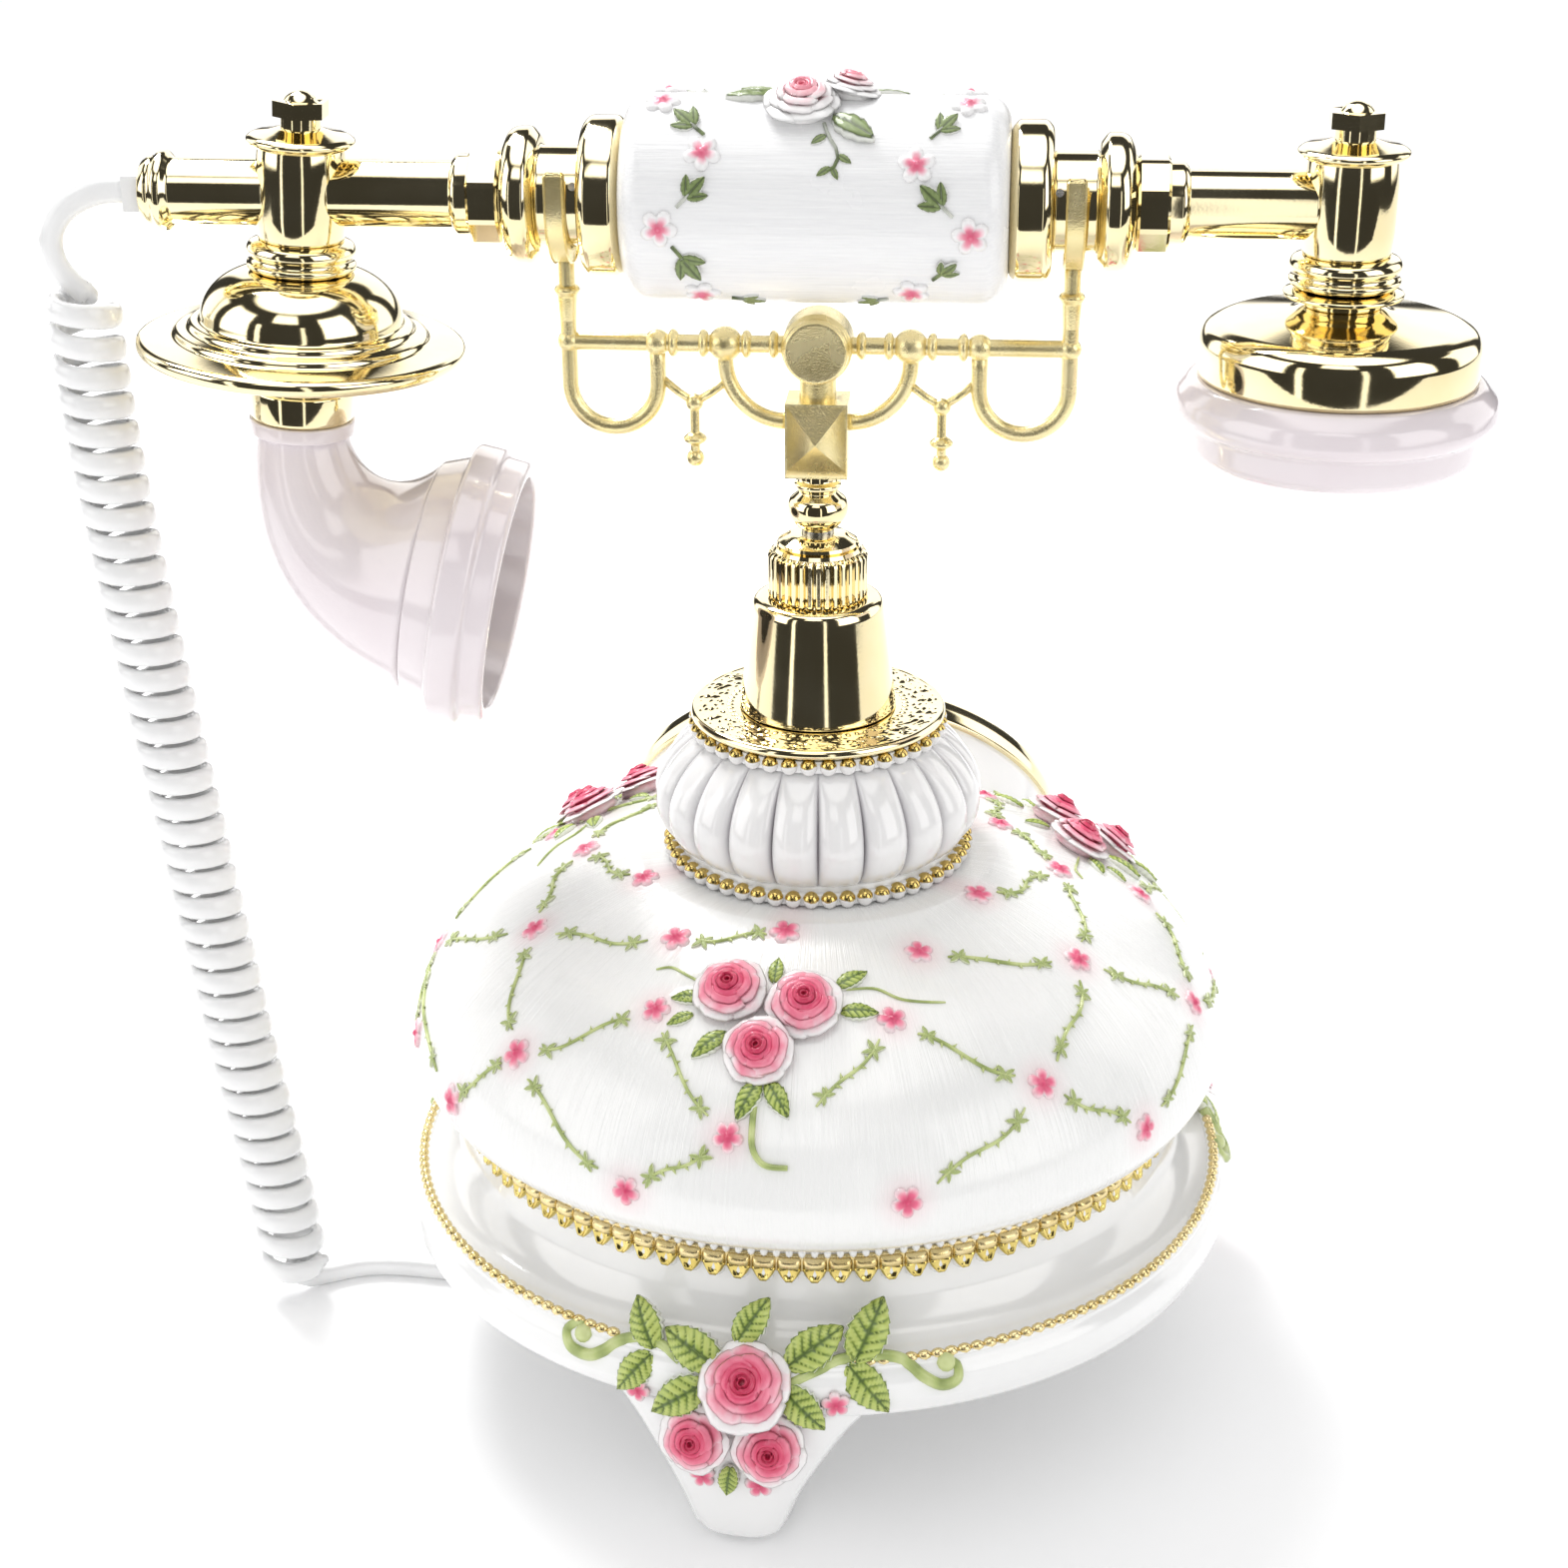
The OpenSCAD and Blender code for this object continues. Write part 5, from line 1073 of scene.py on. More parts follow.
seen_vines = [
    ((205, 44), (238, 56.5)), ((238, 56.5), (265, 62)), ((205, 44), (225, 24.6)), ((225, 24.6), (244.5, 42.7)),
    ((225, 24.6), (249, 5.1)), ((225, 24.6), (215, 5.1)), ((180, 18), (205, 44)), ((179, 55), (205, 44)),
    ((180, 18), (215, 5.1)), ((179, 55), (146, 62)), ((179, 55), (209, 63)), ((244.5, 42.7), (262, 21)),
    ((249, 5.1), (262, 21)), ((271, 24.7), (287.5, 44)), ((298.5, 56), (330.5, 43.5)), ((330.5, 43.5), (347, 20)),
    ((330.5, 43.5), (308, 25.8)), ((287.5, 44), (308, 25.8)), ((308, 25.8), (323, 6.6)), ((308, 25.8), (285.5, 7)),
    ((359, 54), (330.5, 43.5)), ((328.5, 62.3), (359, 54)), ((20, 62), (359, 54)), ((6, 37), (347, 20)),
    ((347, 20), (323, 6.6))
]
far_vines = [
    ((6.3, 37.2), (28, 21.2)), ((28, 21.2), (9, 5.1)), ((28, 21.2), (45.5, 7)), ((347, 20), (9, 5.1)),
    ((45, 56), (20, 62)), ((142, 62), (160, 43)), ((160, 43), (148, 21.2)), ((148, 21.2), (128, 5.1)),
    ((148, 21.2), (165.5, 7)), ((160, 43), (180, 18)), ((165.5, 7), (180, 18)), ((118, 57), (142, 62)),
    ((180, 18), (195, 5.1))
]
vines = [v for v in seen_vines + far_vines if all(clear_of_dial(on_dome(*end)[0]) for end in v)]
print("blossoms:", len(blossoms), "vines:", len(vines))

# %% [markdown]
# ## The glaze of the base
#
# The dome's faces take the combed glaze and the rest of the casting the plain one. The airbrushed pink round each
# blossom is mixed in by the value kept on the mesh, which fades with the distance to the nearest blossom.

# %% Glazes of the base
def tinted(material, attribute, tint):
    """Mixes a tint into a finish by a value kept on the mesh."""
    tree = material.node_tree
    shader = tree.nodes["Principled BSDF"]
    mixed = node_of(tree, "ShaderNodeMix", data_type="RGBA")
    value = node_of(tree, "ShaderNodeAttribute", attribute_name=attribute)
    link(tree, value.outputs["Fac"], mixed.inputs["Factor"])
    link(tree, shader.inputs["Base Color"].links[0].from_socket, mixed.inputs["A"])
    mixed.inputs["B"].default_value = (*tint, 1)
    link(tree, mixed.outputs["Result"], shader.inputs["Base Color"])
    return material


def with_value(piece, name, values):
    """Keeps one value per point on a piece."""
    attribute = piece.data.attributes.new(name, "FLOAT", "POINT")
    for cell, value in zip(attribute.data, values):
        cell.value = value
    return piece


dome_glaze = tinted(finish_of("dome_glaze", (0.85, 0.85, 0.84), (0.88, 0.88, 0.87), (0.13, 0.2), 0.0, 34, 0.5, 0.35,
                              comb=(150.0, 55.0), bump_mm=0.35), "blush", (0.86, 0.36, 0.42))
BLUSH_REACH, BLUSH_MOST = 7.5, 0.4
spots = [on_dome(*b)[0] for b in blossoms]


def blush_at(here):
    nearest = min((here - spot).length for spot in spots)
    return BLUSH_MOST * max(0.0, 1 - nearest / BLUSH_REACH) ** 1.5


with_value(base, "blush", [blush_at(vertex.co / MM) for vertex in base.data.vertices])
base.data.materials.clear()
base.data.materials.append(glaze)
base.data.materials.append(dome_glaze)
for polygon in base.data.polygons:
    middle = polygon.center / MM
    on_top = middle.z > LEAF_TOP_Z and middle.xy.length < DOME_R + 0.5 and polygon.normal.dot(middle) > 0
    if on_top and clear_of_dial(middle, HOUSING_R + 0.3):
        polygon.material_index = 1
settle(base, "base", "cream_resin", "base_casting")
print("dome faces:", sum(p.material_index for p in base.data.polygons))

# %% [markdown]
# ## Repeats round a ring
#
# Beads, tongues and teeth each repeat one small shape many times round the post. A Geometry Nodes tree does that: it
# makes a circle of points, puts the shape on each with its face turned outwards, and makes the copies real. The tree
# is built once and its inputs are set on each use by the socket's identifier.

# %% A tree that repeats a shape round a ring
def new_tree(name, inputs):
    tree = bpy.data.node_groups.new(name, "GeometryNodeTree")
    tree.interface.new_socket("Geometry", in_out="INPUT", socket_type="NodeSocketGeometry")
    for title, kind in inputs:
        tree.interface.new_socket(title, in_out="INPUT", socket_type=kind)
    tree.interface.new_socket("Geometry", in_out="OUTPUT", socket_type="NodeSocketGeometry")
    return tree, tree.nodes.new("NodeGroupInput"), tree.nodes.new("NodeGroupOutput")


def finish_tree(tree, start, end, geometry):
    """Every tree ends the same way: copies made real, then the material."""
    real = node_of(tree, "GeometryNodeRealizeInstances", {"Geometry": geometry})
    coat = node_of(tree, "GeometryNodeSetMaterial",
                   {"Geometry": real.outputs[0], "Material": start.outputs["Material"]})
    link(tree, coat.outputs[0], end.inputs["Geometry"])


def run_tree(name, tree, base_mesh, **values):
    """Runs a tree on a mesh with named input values, and returns the result as a plain object."""
    obj = new_object(name, base_mesh)
    step = obj.modifiers.new("tree", "NODES")
    step.node_group = tree
    identifiers = {s.name: s.identifier for s in tree.interface.items_tree if s.in_out == "INPUT"}
    for title, value in values.items():
        step[identifiers[title]] = value
    return applied(obj)


ring_tree, r_in, r_out = new_tree("repeat_round_ring", [
    ("Count", "NodeSocketInt"), ("Radius", "NodeSocketFloat"), ("Height", "NodeSocketFloat"),
    ("Piece", "NodeSocketObject"),
    ("Material", "NodeSocketMaterial")])
r_circle = node_of(ring_tree, "GeometryNodeMeshCircle",
                   {"Vertices": r_in.outputs["Count"], "Radius": r_in.outputs["Radius"]})
r_index = node_of(ring_tree, "GeometryNodeInputIndex")
r_turn = math_node(ring_tree, "MULTIPLY", r_index.outputs[0],
                   math_node(ring_tree, "DIVIDE", 2 * pi, r_in.outputs["Count"]))
r_rotation = node_of(ring_tree, "ShaderNodeCombineXYZ", {"Z": r_turn})
r_piece = node_of(ring_tree, "GeometryNodeObjectInfo", {"Object": r_in.outputs["Piece"]})
r_copies = node_of(ring_tree, "GeometryNodeInstanceOnPoints", {
    "Points": r_circle.outputs[0], "Instance": r_piece.outputs["Geometry"], "Rotation": r_rotation.outputs[0]})
r_offset = node_of(ring_tree, "ShaderNodeCombineXYZ", {"Z": r_in.outputs["Height"]})
r_lift = node_of(ring_tree, "GeometryNodeTransform",
                 {"Translation": r_offset.outputs[0], "Geometry": r_copies.outputs[0]})
finish_tree(ring_tree, r_in, r_out, r_lift.outputs[0])


def around(name, piece, count, r, z, material, keep_clear=None):
    """Copies of a piece round the post, leaving out each copy with a point where keep_clear says no."""
    made = run_tree(name, ring_tree, bpy.data.meshes.new(name), Count=count, Radius=r * MM, Height=z * MM,
                    Piece=piece, Material=material)
    bpy.data.objects.remove(piece)
    if keep_clear:
        bm = bmesh.new()
        bm.from_mesh(made.data)
        lost, stack = set(), [v for v in bm.verts if not keep_clear(v.co / MM)]
        while stack:
            v = stack.pop()
            if v not in lost:
                lost.add(v)
                stack += [e.other_vert(v) for e in v.link_edges]
        bmesh.ops.delete(bm, geom=list(lost), context="VERTS")
        bm.to_mesh(made.data)
        bm.free()
    return made


print("ring tree inputs:", [s.name for s in ring_tree.interface.items_tree if s.in_out == "INPUT"])

# %% [markdown]
# ## Beads, tongues and rope
#
# Under the flange and under the neck run strings of beads, gold on top and white below where the brush didn't reach.
# The waist wears a band of gold tongues in a white scalloped edge, with white teeth over it. The plinth's top edge
# has a thin gold rope of close beads.

# %% Bead rings
BEAD, NECK_TOP_R = 3.5, 21.9


def bead_shape(name, r, stretch=1.0, rings=8, sides=12):
    points, faces = lathe_parts(ball_outline(r, rings), sides)
    return mesh_object(name, [(x, y * stretch, z) for x, y, z in points], faces)


bead_paint, b_tree, b_shader = new_material("bead_paint")
b_marks = use_group(b_tree, handling, Scale=260.0)
b_normal = node_of(b_tree, "ShaderNodeNewGeometry")
b_split = node_of(b_tree, "ShaderNodeSeparateXYZ", {"Vector": b_normal.outputs["Normal"]})
b_rise = math_node(b_tree, "MULTIPLY_ADD", b_marks.outputs["Smudge"], 0.9, -0.62)
b_gilt = mapped(b_tree, math_node(b_tree, "ADD", b_split.outputs["Z"], b_rise), -0.12, 0.12)
link(b_tree, ramp(b_tree, b_gilt, [(0.3, (0.80, 0.79, 0.78)), (0.6, (0.62, 0.47, 0.17))]),
     b_shader.inputs["Base Color"])
link(b_tree, b_gilt, b_shader.inputs["Metallic"])
given(b_shader, Roughness=0.2)


def bead_ring(name, outer, inner, count, z):
    middle = outer - BEAD / 2
    beads = around(name + "_beads", bead_shape("bead", BEAD / 2, 0.98), count, middle, z + BEAD / 2, bead_paint)
    band_outline = [(inner, z + 0.4), (middle, z + 0.4), (middle, z + 2.9), (inner, z + 2.9)]
    return joined(name, [beads, paint(lathe(name + "_band", band_outline, None, 144, 0.2), glaze)])


settle(bead_ring("lower_beads", 32.2, 28.9, 53, SEAT_Z), "base", "gold_plate", "lower_bead_ring")
settle(bead_ring("upper_beads", 26.6, NECK_TOP_R, 40, 140.0), "base", "gold_plate", "upper_bead_ring")
print("beads of", BEAD, "mm")

# %% [markdown]
# ## Tongues round the waist
#
# Each tongue is a pad over a small cup, both thin shells made from a grid: the front swells out by a rule, the back is
# flat, and a wall joins their edges. Copies that would run into the dial's housing are left out, and the plain bands
# under them are cut away there.

# %% Tongues, teeth and rope
TONGUES = 96
ROPE_BEADS = 200


def shell_faces(rows, columns):
    """Faces of a closed shell: a grid of points, the same grid again behind it, and the wall round both."""
    count, faces = rows * columns, []
    for j in range(rows - 1):
        for i in range(columns - 1):
            a = j * columns + i
            faces.append((a, a + 1, a + columns + 1, a + columns))
            faces.append((count + a, count + a + columns, count + a + columns + 1, count + a + 1))
    edge = list(range(columns)) + [j * columns + columns - 1 for j in range(1, rows)]
    edge += [(rows - 1) * columns + i for i in range(columns - 2, -1, -1)]
    edge += [j * columns for j in range(rows - 2, 0, -1)]
    return faces + [(a, count + a, count + b, b) for a, b in zip(edge, edge[1:] + edge[:1])]


def tongue_shape(name, low, high, outline, swell, rows=7, columns=9):
    """A tongue that faces +X: outline gives half its width and swell how far it stands out."""
    points = []
    for layer in (0, 1):
        for j in range(rows):
            v = j / (rows - 1)
            for i in range(columns):
                u = -1 + 2 * i / (columns - 1)
                points.append((swell(u, v) if layer else -0.8, u * outline(v), high + (low - high) * v))
    return mesh_object(name, points, shell_faces(rows, columns))


def pad_swell(u, v):
    return 0.2 + 1.0 * (1 - abs(u) ** 4) * (1 - abs(2 * v - 1) ** 4)


def cup_width(v):
    return max(0.25, 2.3 * (1 - v ** 1.7) ** 0.75)


def cup_swell(u, v):
    return 0.2 + 0.85 * min(1.0, abs(u) ** 1.5 + v ** 3) - (0.7 if abs(u) > 0.9 or v > 0.9 else 0.0)


def off_dial(place):
    return clear_of_dial(place, HOUSING_R + 0.4)


pad_piece = tongue_shape("tongue_pad", 3.0, 5.4, lambda v: 2.35 - 0.35 * abs(2 * v - 1) ** 3, pad_swell)
cup_piece = tongue_shape("tongue_cup", 0.0, 3.2, cup_width, cup_swell)
scallop_piece = bead_shape("scallop", 2.75, 0.96, 6, 10)
tooth_piece = bead_shape("tooth", 1.25, 0.7, 6, 8)
pads = around("tongue_pads", pad_piece, TONGUES, WAIST_R + 0.9, LEAF_Z - 0.4, bead_gold, off_dial)
cups = around("tongue_cups", cup_piece, TONGUES, WAIST_R + 0.9, LEAF_Z - 0.4, cup_gold, off_dial)
scallop = around("white_scallops", scallop_piece, TONGUES, WAIST_R - 1.35, LEAF_Z + 1.3, glaze, off_dial)
teeth = around("white_teeth", tooth_piece, TONGUES * 2, WAIST_R + 0.4, LEAF_TOP_Z - 0.3, glaze, off_dial)


def band_round(name, outline, reach, finish):
    """A plain band round the base, cut away where the dial's housing stands."""
    band = lathe(name, outline, None, 192, reach)
    return paint(cut(band, rod_z("clear", HOUSING_R + 0.05, -102, 102, dial_face)), finish)


band = band_round("tongue_band", [
    (WAIST_R, LEAF_Z + 1.6), (WAIST_R + 0.7, LEAF_Z + 1.8), (WAIST_R + 0.9, LEAF_Z + 4), (WAIST_R + 0.7, LEAF_Z + 5.5),
    (WAIST_R, LEAF_Z + 5.5)], 0.2, bead_gold)
settle(joined("leaf_band_dressed", [pads, cups, scallop, teeth, band]), "base", "gold_plate", "leaf_band")
# Where the feet stand, and how far to each side of a foot its leaves reach, in degrees.
FOOT_TURNS = (263.5, 23.5, 143.5)
LEAF_FAN = 14.5


def off_feet(place):
    """The rope stops short of each foot's leaves."""
    turn = math.degrees(math.atan2(place.y, place.x)) % 360
    return off_dial(place) and all(abs((turn - foot + 180) % 360 - 180) > LEAF_FAN for foot in FOOT_TURNS)


rope_piece = bead_shape("rope_bead", 1.15, 1.32, 6, 10)
rope = around("rope_beads", rope_piece, ROPE_BEADS, PLINTH_R - 2.3, ROPE_Z + 0.3, bead_gold, off_feet)
rope_seat = band_round("rope_seat", [
    (PLINTH_R - 3.9, ROPE_Z - 0.4), (PLINTH_R - 1.0, ROPE_Z - 0.4), (PLINTH_R - 1.4, ROPE_Z + 0.35),
    (PLINTH_R - 3.4, ROPE_Z + 0.5)], 0.15, glaze)
settle(joined("rope_dressed", [rope, rope_seat]), "base", "gold_plate", "rope_band")
print("tongues", TONGUES, "rope beads", ROPE_BEADS)

# %% [markdown]
# ## The neck
#
# Twenty one lobes, like a small melon. Each point keeps how deep in a valley it lies, and the material greys it
# there: painted shade in the valleys.

# %% Melon neck
NECK_Z, NECK_H, LOBES, FLANGE_Z = 116.73, 23.5, 21, 143.53


def neck_bulge(s):
    foot, top = 26.6, 23.0
    return foot + (top - foot) * s + (33.6 - (foot + top) / 2) * sin(pi * s ** 0.94) ** 0.62


points, valley_shade = [], []
rows, sides = 36, LOBES * 18
for i in range(rows + 1):
    s = 0.5 - 0.5 * cos(pi * i / rows)
    for turn in full_turn(sides):
        across = abs(((LOBES * turn / (2 * pi)) % 1.0) * 2 - 1)
        valley = 1 - math.sqrt(max(0.0, 1 - across ** 2.2))
        r = neck_bulge(s) - 3.0 * sin(pi * s) ** 0.5 * valley
        points.append(spun(r, turn, NECK_Z + NECK_H * s))
        # Painted shade: how much the valley here is greyed, standing in for the shade that falls in it.
        valley_shade.append(0.8 * valley ** 2.0 * sin(pi * s) ** 0.3)
faces = ring_faces(rows + 1, sides) + [end_face(0, sides), end_face(rows, sides)]
neck = sharp(with_value(mesh_object("neck_lobes", points, faces), "valley", valley_shade), 50)
# The grey tint mixed in by the valley value is painted shade in the valleys of the lobes.
neck_glaze_with_valley_shade = tinted(finish_of("neck_glaze_with_valley_shade", (0.82, 0.815, 0.815), (0.86, 0.855, 0.85), (0.09, 0.15), 0.0, 45, 0.02,
                              coat=0.5), "valley", (0.42, 0.40, 0.43))
paint(neck, neck_glaze_with_valley_shade)
seat_outline = [(0, SEAT_Z), (28.9, SEAT_Z), (29.6, SEAT_Z + 2), (28.9, SEAT_Z + 4), (0, SEAT_Z + 4)]
neck_ring = paint(lathe("neck_ring", seat_outline, None, 144, 0.5), glaze)
neck_top = paint(rod_z("neck_top", NECK_TOP_R, NECK_Z + NECK_H - 1, FLANGE_Z), glaze)
settle(joined("melon_neck", [neck, neck_ring, neck_top]), "base", "cream_resin", "fluted_neck")
print("neck faces:", len(faces))

# %% [markdown]
# ## The post
#
# A gold flange with a fine embossed ring, a tapered sleeve, a fluted collar and a slotted cap. The embossing and the
# flutes follow a rule of angle and radius, so they are heights on a fine polar grid.

# %% Flange, sleeve, collar and cap
SLEEVE_Z, COLLAR_Z, CAP_Z = 145.53, 169.03, 179.53


def embossing(r, turn):
    """Height of the relief on the flange: a beaded line inside, and scrolls of small grains outside."""
    lift = 0.0
    if 17.2 < r < 18.6:
        lift = 0.28 * max(0.0, cos(60 * turn)) * sin(pi * (r - 17.2) / 1.4)
    if 18.9 < r < 24.8:
        wave = (sin(24 * turn + 2.2 * sin(1.3 * r)) * sin(1.9 * (r - 18.9))
                + 0.6 * sin(61 * turn - 3.1 * r) * sin(2.8 * r))
        lift = 0.24 * max(0.0, wave) * sin(pi * (r - 18.9) / 5.9) ** 0.5
    return lift


RELIEF_Z, FLANGE_SIDES = SLEEVE_Z - 0.18, 480
radii = [0.0] + [15.5 + 0.24 * i for i in range(40)]
profile = [(r, RELIEF_Z) for r in radii if r < 24.9]
profile += [(25.2, SLEEVE_Z), (25.6, SLEEVE_Z - 0.25), (26, FLANGE_Z + 1.2), (26, FLANGE_Z + 0.5),
            (25.6, FLANGE_Z + 0.1),
            (25, FLANGE_Z), (0, FLANGE_Z)]
points = [spun(r, turn, z + (embossing(r, turn) if z == RELIEF_Z else 0.0))
          for r, z in profile for turn in full_turn(FLANGE_SIDES)]
flange = mesh_object("flange_embossed", points, ring_faces(len(profile), FLANGE_SIDES))
gilded(flange, "base", "post_flange")
sleeve = lathe("post_sleeve_turned", [(7, SLEEVE_Z), (16, SLEEVE_Z), (15.8, SLEEVE_Z + 1), (13.3, COLLAR_Z - 1.8),
                                      (12.8, COLLAR_Z - 0.6),
                                      (11.7, COLLAR_Z), (7, COLLAR_Z)], None, 144, 0.9)
gilded(sleeve, "base", "post_sleeve")
FLUTES = 36
points, sides = [], FLUTES * 12
for share, land, z in ((0.0, 9.2, COLLAR_Z), (1.0, 9.8, COLLAR_Z + 0.3), (1.0, 9.98, COLLAR_Z + 0.7),
                       (1.0, 9.98, COLLAR_Z + 5),
                       (1.0, 9.98, CAP_Z - 1.9), (1.0, 9.8, CAP_Z - 1.5), (0.8, 9.45, CAP_Z - 1.1),
                       (0.0, 8.9, CAP_Z - 0.7), (0.0, 8.5, CAP_Z), (0.0, 0, CAP_Z)):
    for turn in full_turn(sides):
        off = abs(2 * ((FLUTES * turn / (2 * pi)) % 1.0) - 1)
        points.append(spun(land - 0.85 * share * min(1.0, max(0.0, (off - 0.45) / 0.4)), turn, z))
faces = ring_faces(10, sides) + [end_face(0, sides)]
fluted = sharp(mesh_object("fluted_collar_cut", points, faces), 24)
gilded(fluted, "base", "fluted_collar")
cap = eased_copy("slotted_cap_eased", "slotted_cap", 30)
gilded(cap, "base", "slotted_cap")
print("post made of 4 pieces")

# %% [markdown]
# ## The dial
#
# The dial faces away from the camera, in a round housing under the neck. A gilt bezel holds a white plate with plain
# numerals; a brass plated wheel with ten finger holes turns over it, up to a fixed stop. Bezel and centre cap are
# turned, the wheel keeps the exact shape of its solid, and the numerals are flat text made into thin raised mesh.

# %% Dial pieces
WHEEL_Z, WHEEL_T, WHEEL_R, HOLE_RING, HOLE_R = 2.6, 1.6, 38.0, 28.5, 6.2
wheel_face = dial_face @ shift(0, 0, WHEEL_Z + WHEEL_T)


def hole_place(k, z):
    """The frame of the k-th finger hole, at a height over the dial's face."""
    return dial_face @ shift(*spun(HOLE_RING, radians(30 + 30 * k), z))


bezel = lathe("bezel_turned", [(39.6, -2), (39.6, 4.4), (41, 5.8), (43.7, 5.8), (45.4, 4.8), (47.7, 5.2), (50.4, 3.2),
                               (51.2, 0),
                               (51.2, -3), (41.6, -3), (41.6, -2)], dial_face, 192, 0.6)
gilded(bezel, "base", "dial_bezel")
plate = lathe("number_plate_enamel", [(4, -1.6), (39.4, -1.6), (39.4, -0.3), (39, 0), (4, 0)], dial_face, 144, 0.2)
settle(paint(plate, plate_white), "base", "plate_enamel", "number_plate")
wheel = eased_copy("finger_wheel_eased", "finger_wheel", 30)
settle(paint(wheel, satin_gold), "dial", "gold_plate", "finger_wheel")
rim_outline = [(HOLE_R, -0.1), (HOLE_R + 1.0, -0.1), (HOLE_R + 0.7, 0.32), (HOLE_R + 0.2, 0.3)]
edge_outline = [(WHEEL_R - 1.6, -0.1), (WHEEL_R - 0.3, -0.1), (WHEEL_R - 0.6, 0.3), (WHEEL_R - 1.2, 0.3)]
hole_rims = [lathe(f"rim_{k}", rim_outline, hole_place(k, WHEEL_Z + WHEEL_T), 48, 0.1) for k in range(10)]
hole_rims.append(lathe("wheel_edge", edge_outline, wheel_face, 144, 0.1))
gilded(joined("finger_hole_rims", hole_rims), "dial")
cap_piece = lathe("dial_cap_turned", [(0, 0.02), (15.9, 0.02), (15.9, 0.6), (14.5, 1.4), (13.3, 1.2), (9, 1.5),
                                      (0, 1.8)],
                  wheel_face, 96, 0.3)
gilded(cap_piece, "dial", "dial_cap")
numerals = []
for k, digit in enumerate("1234567890"):
    text = bpy.data.curves.new("numeral", "FONT")
    text.body = digit
    text.size = 8.5 * MM
    text.extrude = 0.06 * MM
    text.align_x, text.align_y = "CENTER", "CENTER"
    shape = new_object("numeral", text)
    mesh = seen_mesh(shape)
    bpy.data.objects.remove(shape)
    mesh.transform(hole_place(k, 0.1))
    mesh.materials.clear()
    numerals.append(paint(new_object(f"numeral_{k}", mesh), ink))
settle(joined("dial_numerals", numerals), "base", "black_plastic")
stop = bar("finger_stop_formed", [(22.4, 0, 5.3), (23.2, 0, 5.35), (30, 0, 5.35), (38, 0, 5.35), (39.5, 0, 5.3)],
           [(-1.45, -0.3), (-1.3, -0.45), (1.3, -0.45), (1.45, -0.3), (1.45, 0.3), (1.3, 0.45), (-1.3, 0.45),
            (-1.45, 0.3)],
           dial_face @ Matrix.Rotation(radians(-20), 4, "Z"), [0.6, 1, 1, 1, 1])
settle(paint(sharp(stop, 30), steel), "base", "gold_plate", "finger_stop")
print("dial pieces ready, numerals:", len(numerals))

# %% [markdown]
# ## Pieces that keep their solid's shape
#
# Screws, springs, the ringer disc and other workings already have the right shape. Each keeps its solid and gets a
# finish of its own, so nothing shows in plain grey when the base is turned over or a cap is taken off.

# %% Finishes for the solids that stay
solid_finishes = {
    "foot_pads": felt, "bottom_cover": inner, "cover_screws": steel, "hook_spring": steel, "hook_switch": black,
    "circuit_board": board_green, "ringer": brass, "line_jack": inner, "cord_jack": inner, "base_plug": cord_white,
    "handset_plug": cord_white, "dial_mechanism": black, "dial_shaft": steel, "plunger": steel, "barrel_screw": black,
    "spindle_screws": steel, "microphone": black, "receiver_capsule": black,
}
for name, finish in solid_finishes.items():
    paint(bpy.data.objects[name], finish)
print("solids with a finish:", len(solid_finishes))

# %% [markdown]
# ## Shapes for the ornament
#
# Roses, leaves and blossoms were modelled in clay, cast with the body and painted by hand. Each kind is made once as
# a closed mesh of unit size, with a value kept on its points for the painter: how near the rim of a petal, or how
# deep in a leaf's vein.

# %% Rose, leaf, blossom and thorn
def two_sided(sheet, rows, columns, thickness):
    """Points and faces of a shell from a grid of points, each thickened by its own amount."""
    return [tuple(p) for p in sheet] + [tuple(p + t) for p, t in zip(sheet, thickness)], shell_faces(rows, columns)


def unit_piece(name, points, faces, attribute, values, merge=0.0):
    """A closed unit shape that carries one painted value per point."""
    mesh = bpy.data.meshes.new(name)
    mesh.from_pydata([Vector(p) * MM for p in points], [], faces)
    piece = with_value(new_object(name, mesh), attribute, values)
    closed_up(mesh)
    mesh.shade_smooth()
    if merge:
        closed_up(mesh, merge)
    return piece


# Each ring of petals: inner and outer radius, lowest and highest point, number of petals and half a petal's turn.
ROSE_RINGS = [
    (0.03, 0.13, 0.30, 0.66, 2, 2.0), (0.08, 0.27, 0.26, 0.68, 3, 1.5), (0.15, 0.43, 0.20, 0.62, 3, 1.35),
    (0.24, 0.62, 0.12, 0.52, 4, 1.05), (0.34, 0.82, 0.04, 0.38, 5, 0.86), (0.42, 1.0, -0.02, 0.2, 5, 0.84)
]
ROSE_SHADES = (0.0, 0.06, 0.2, 0.34, 0.5, 0.78)


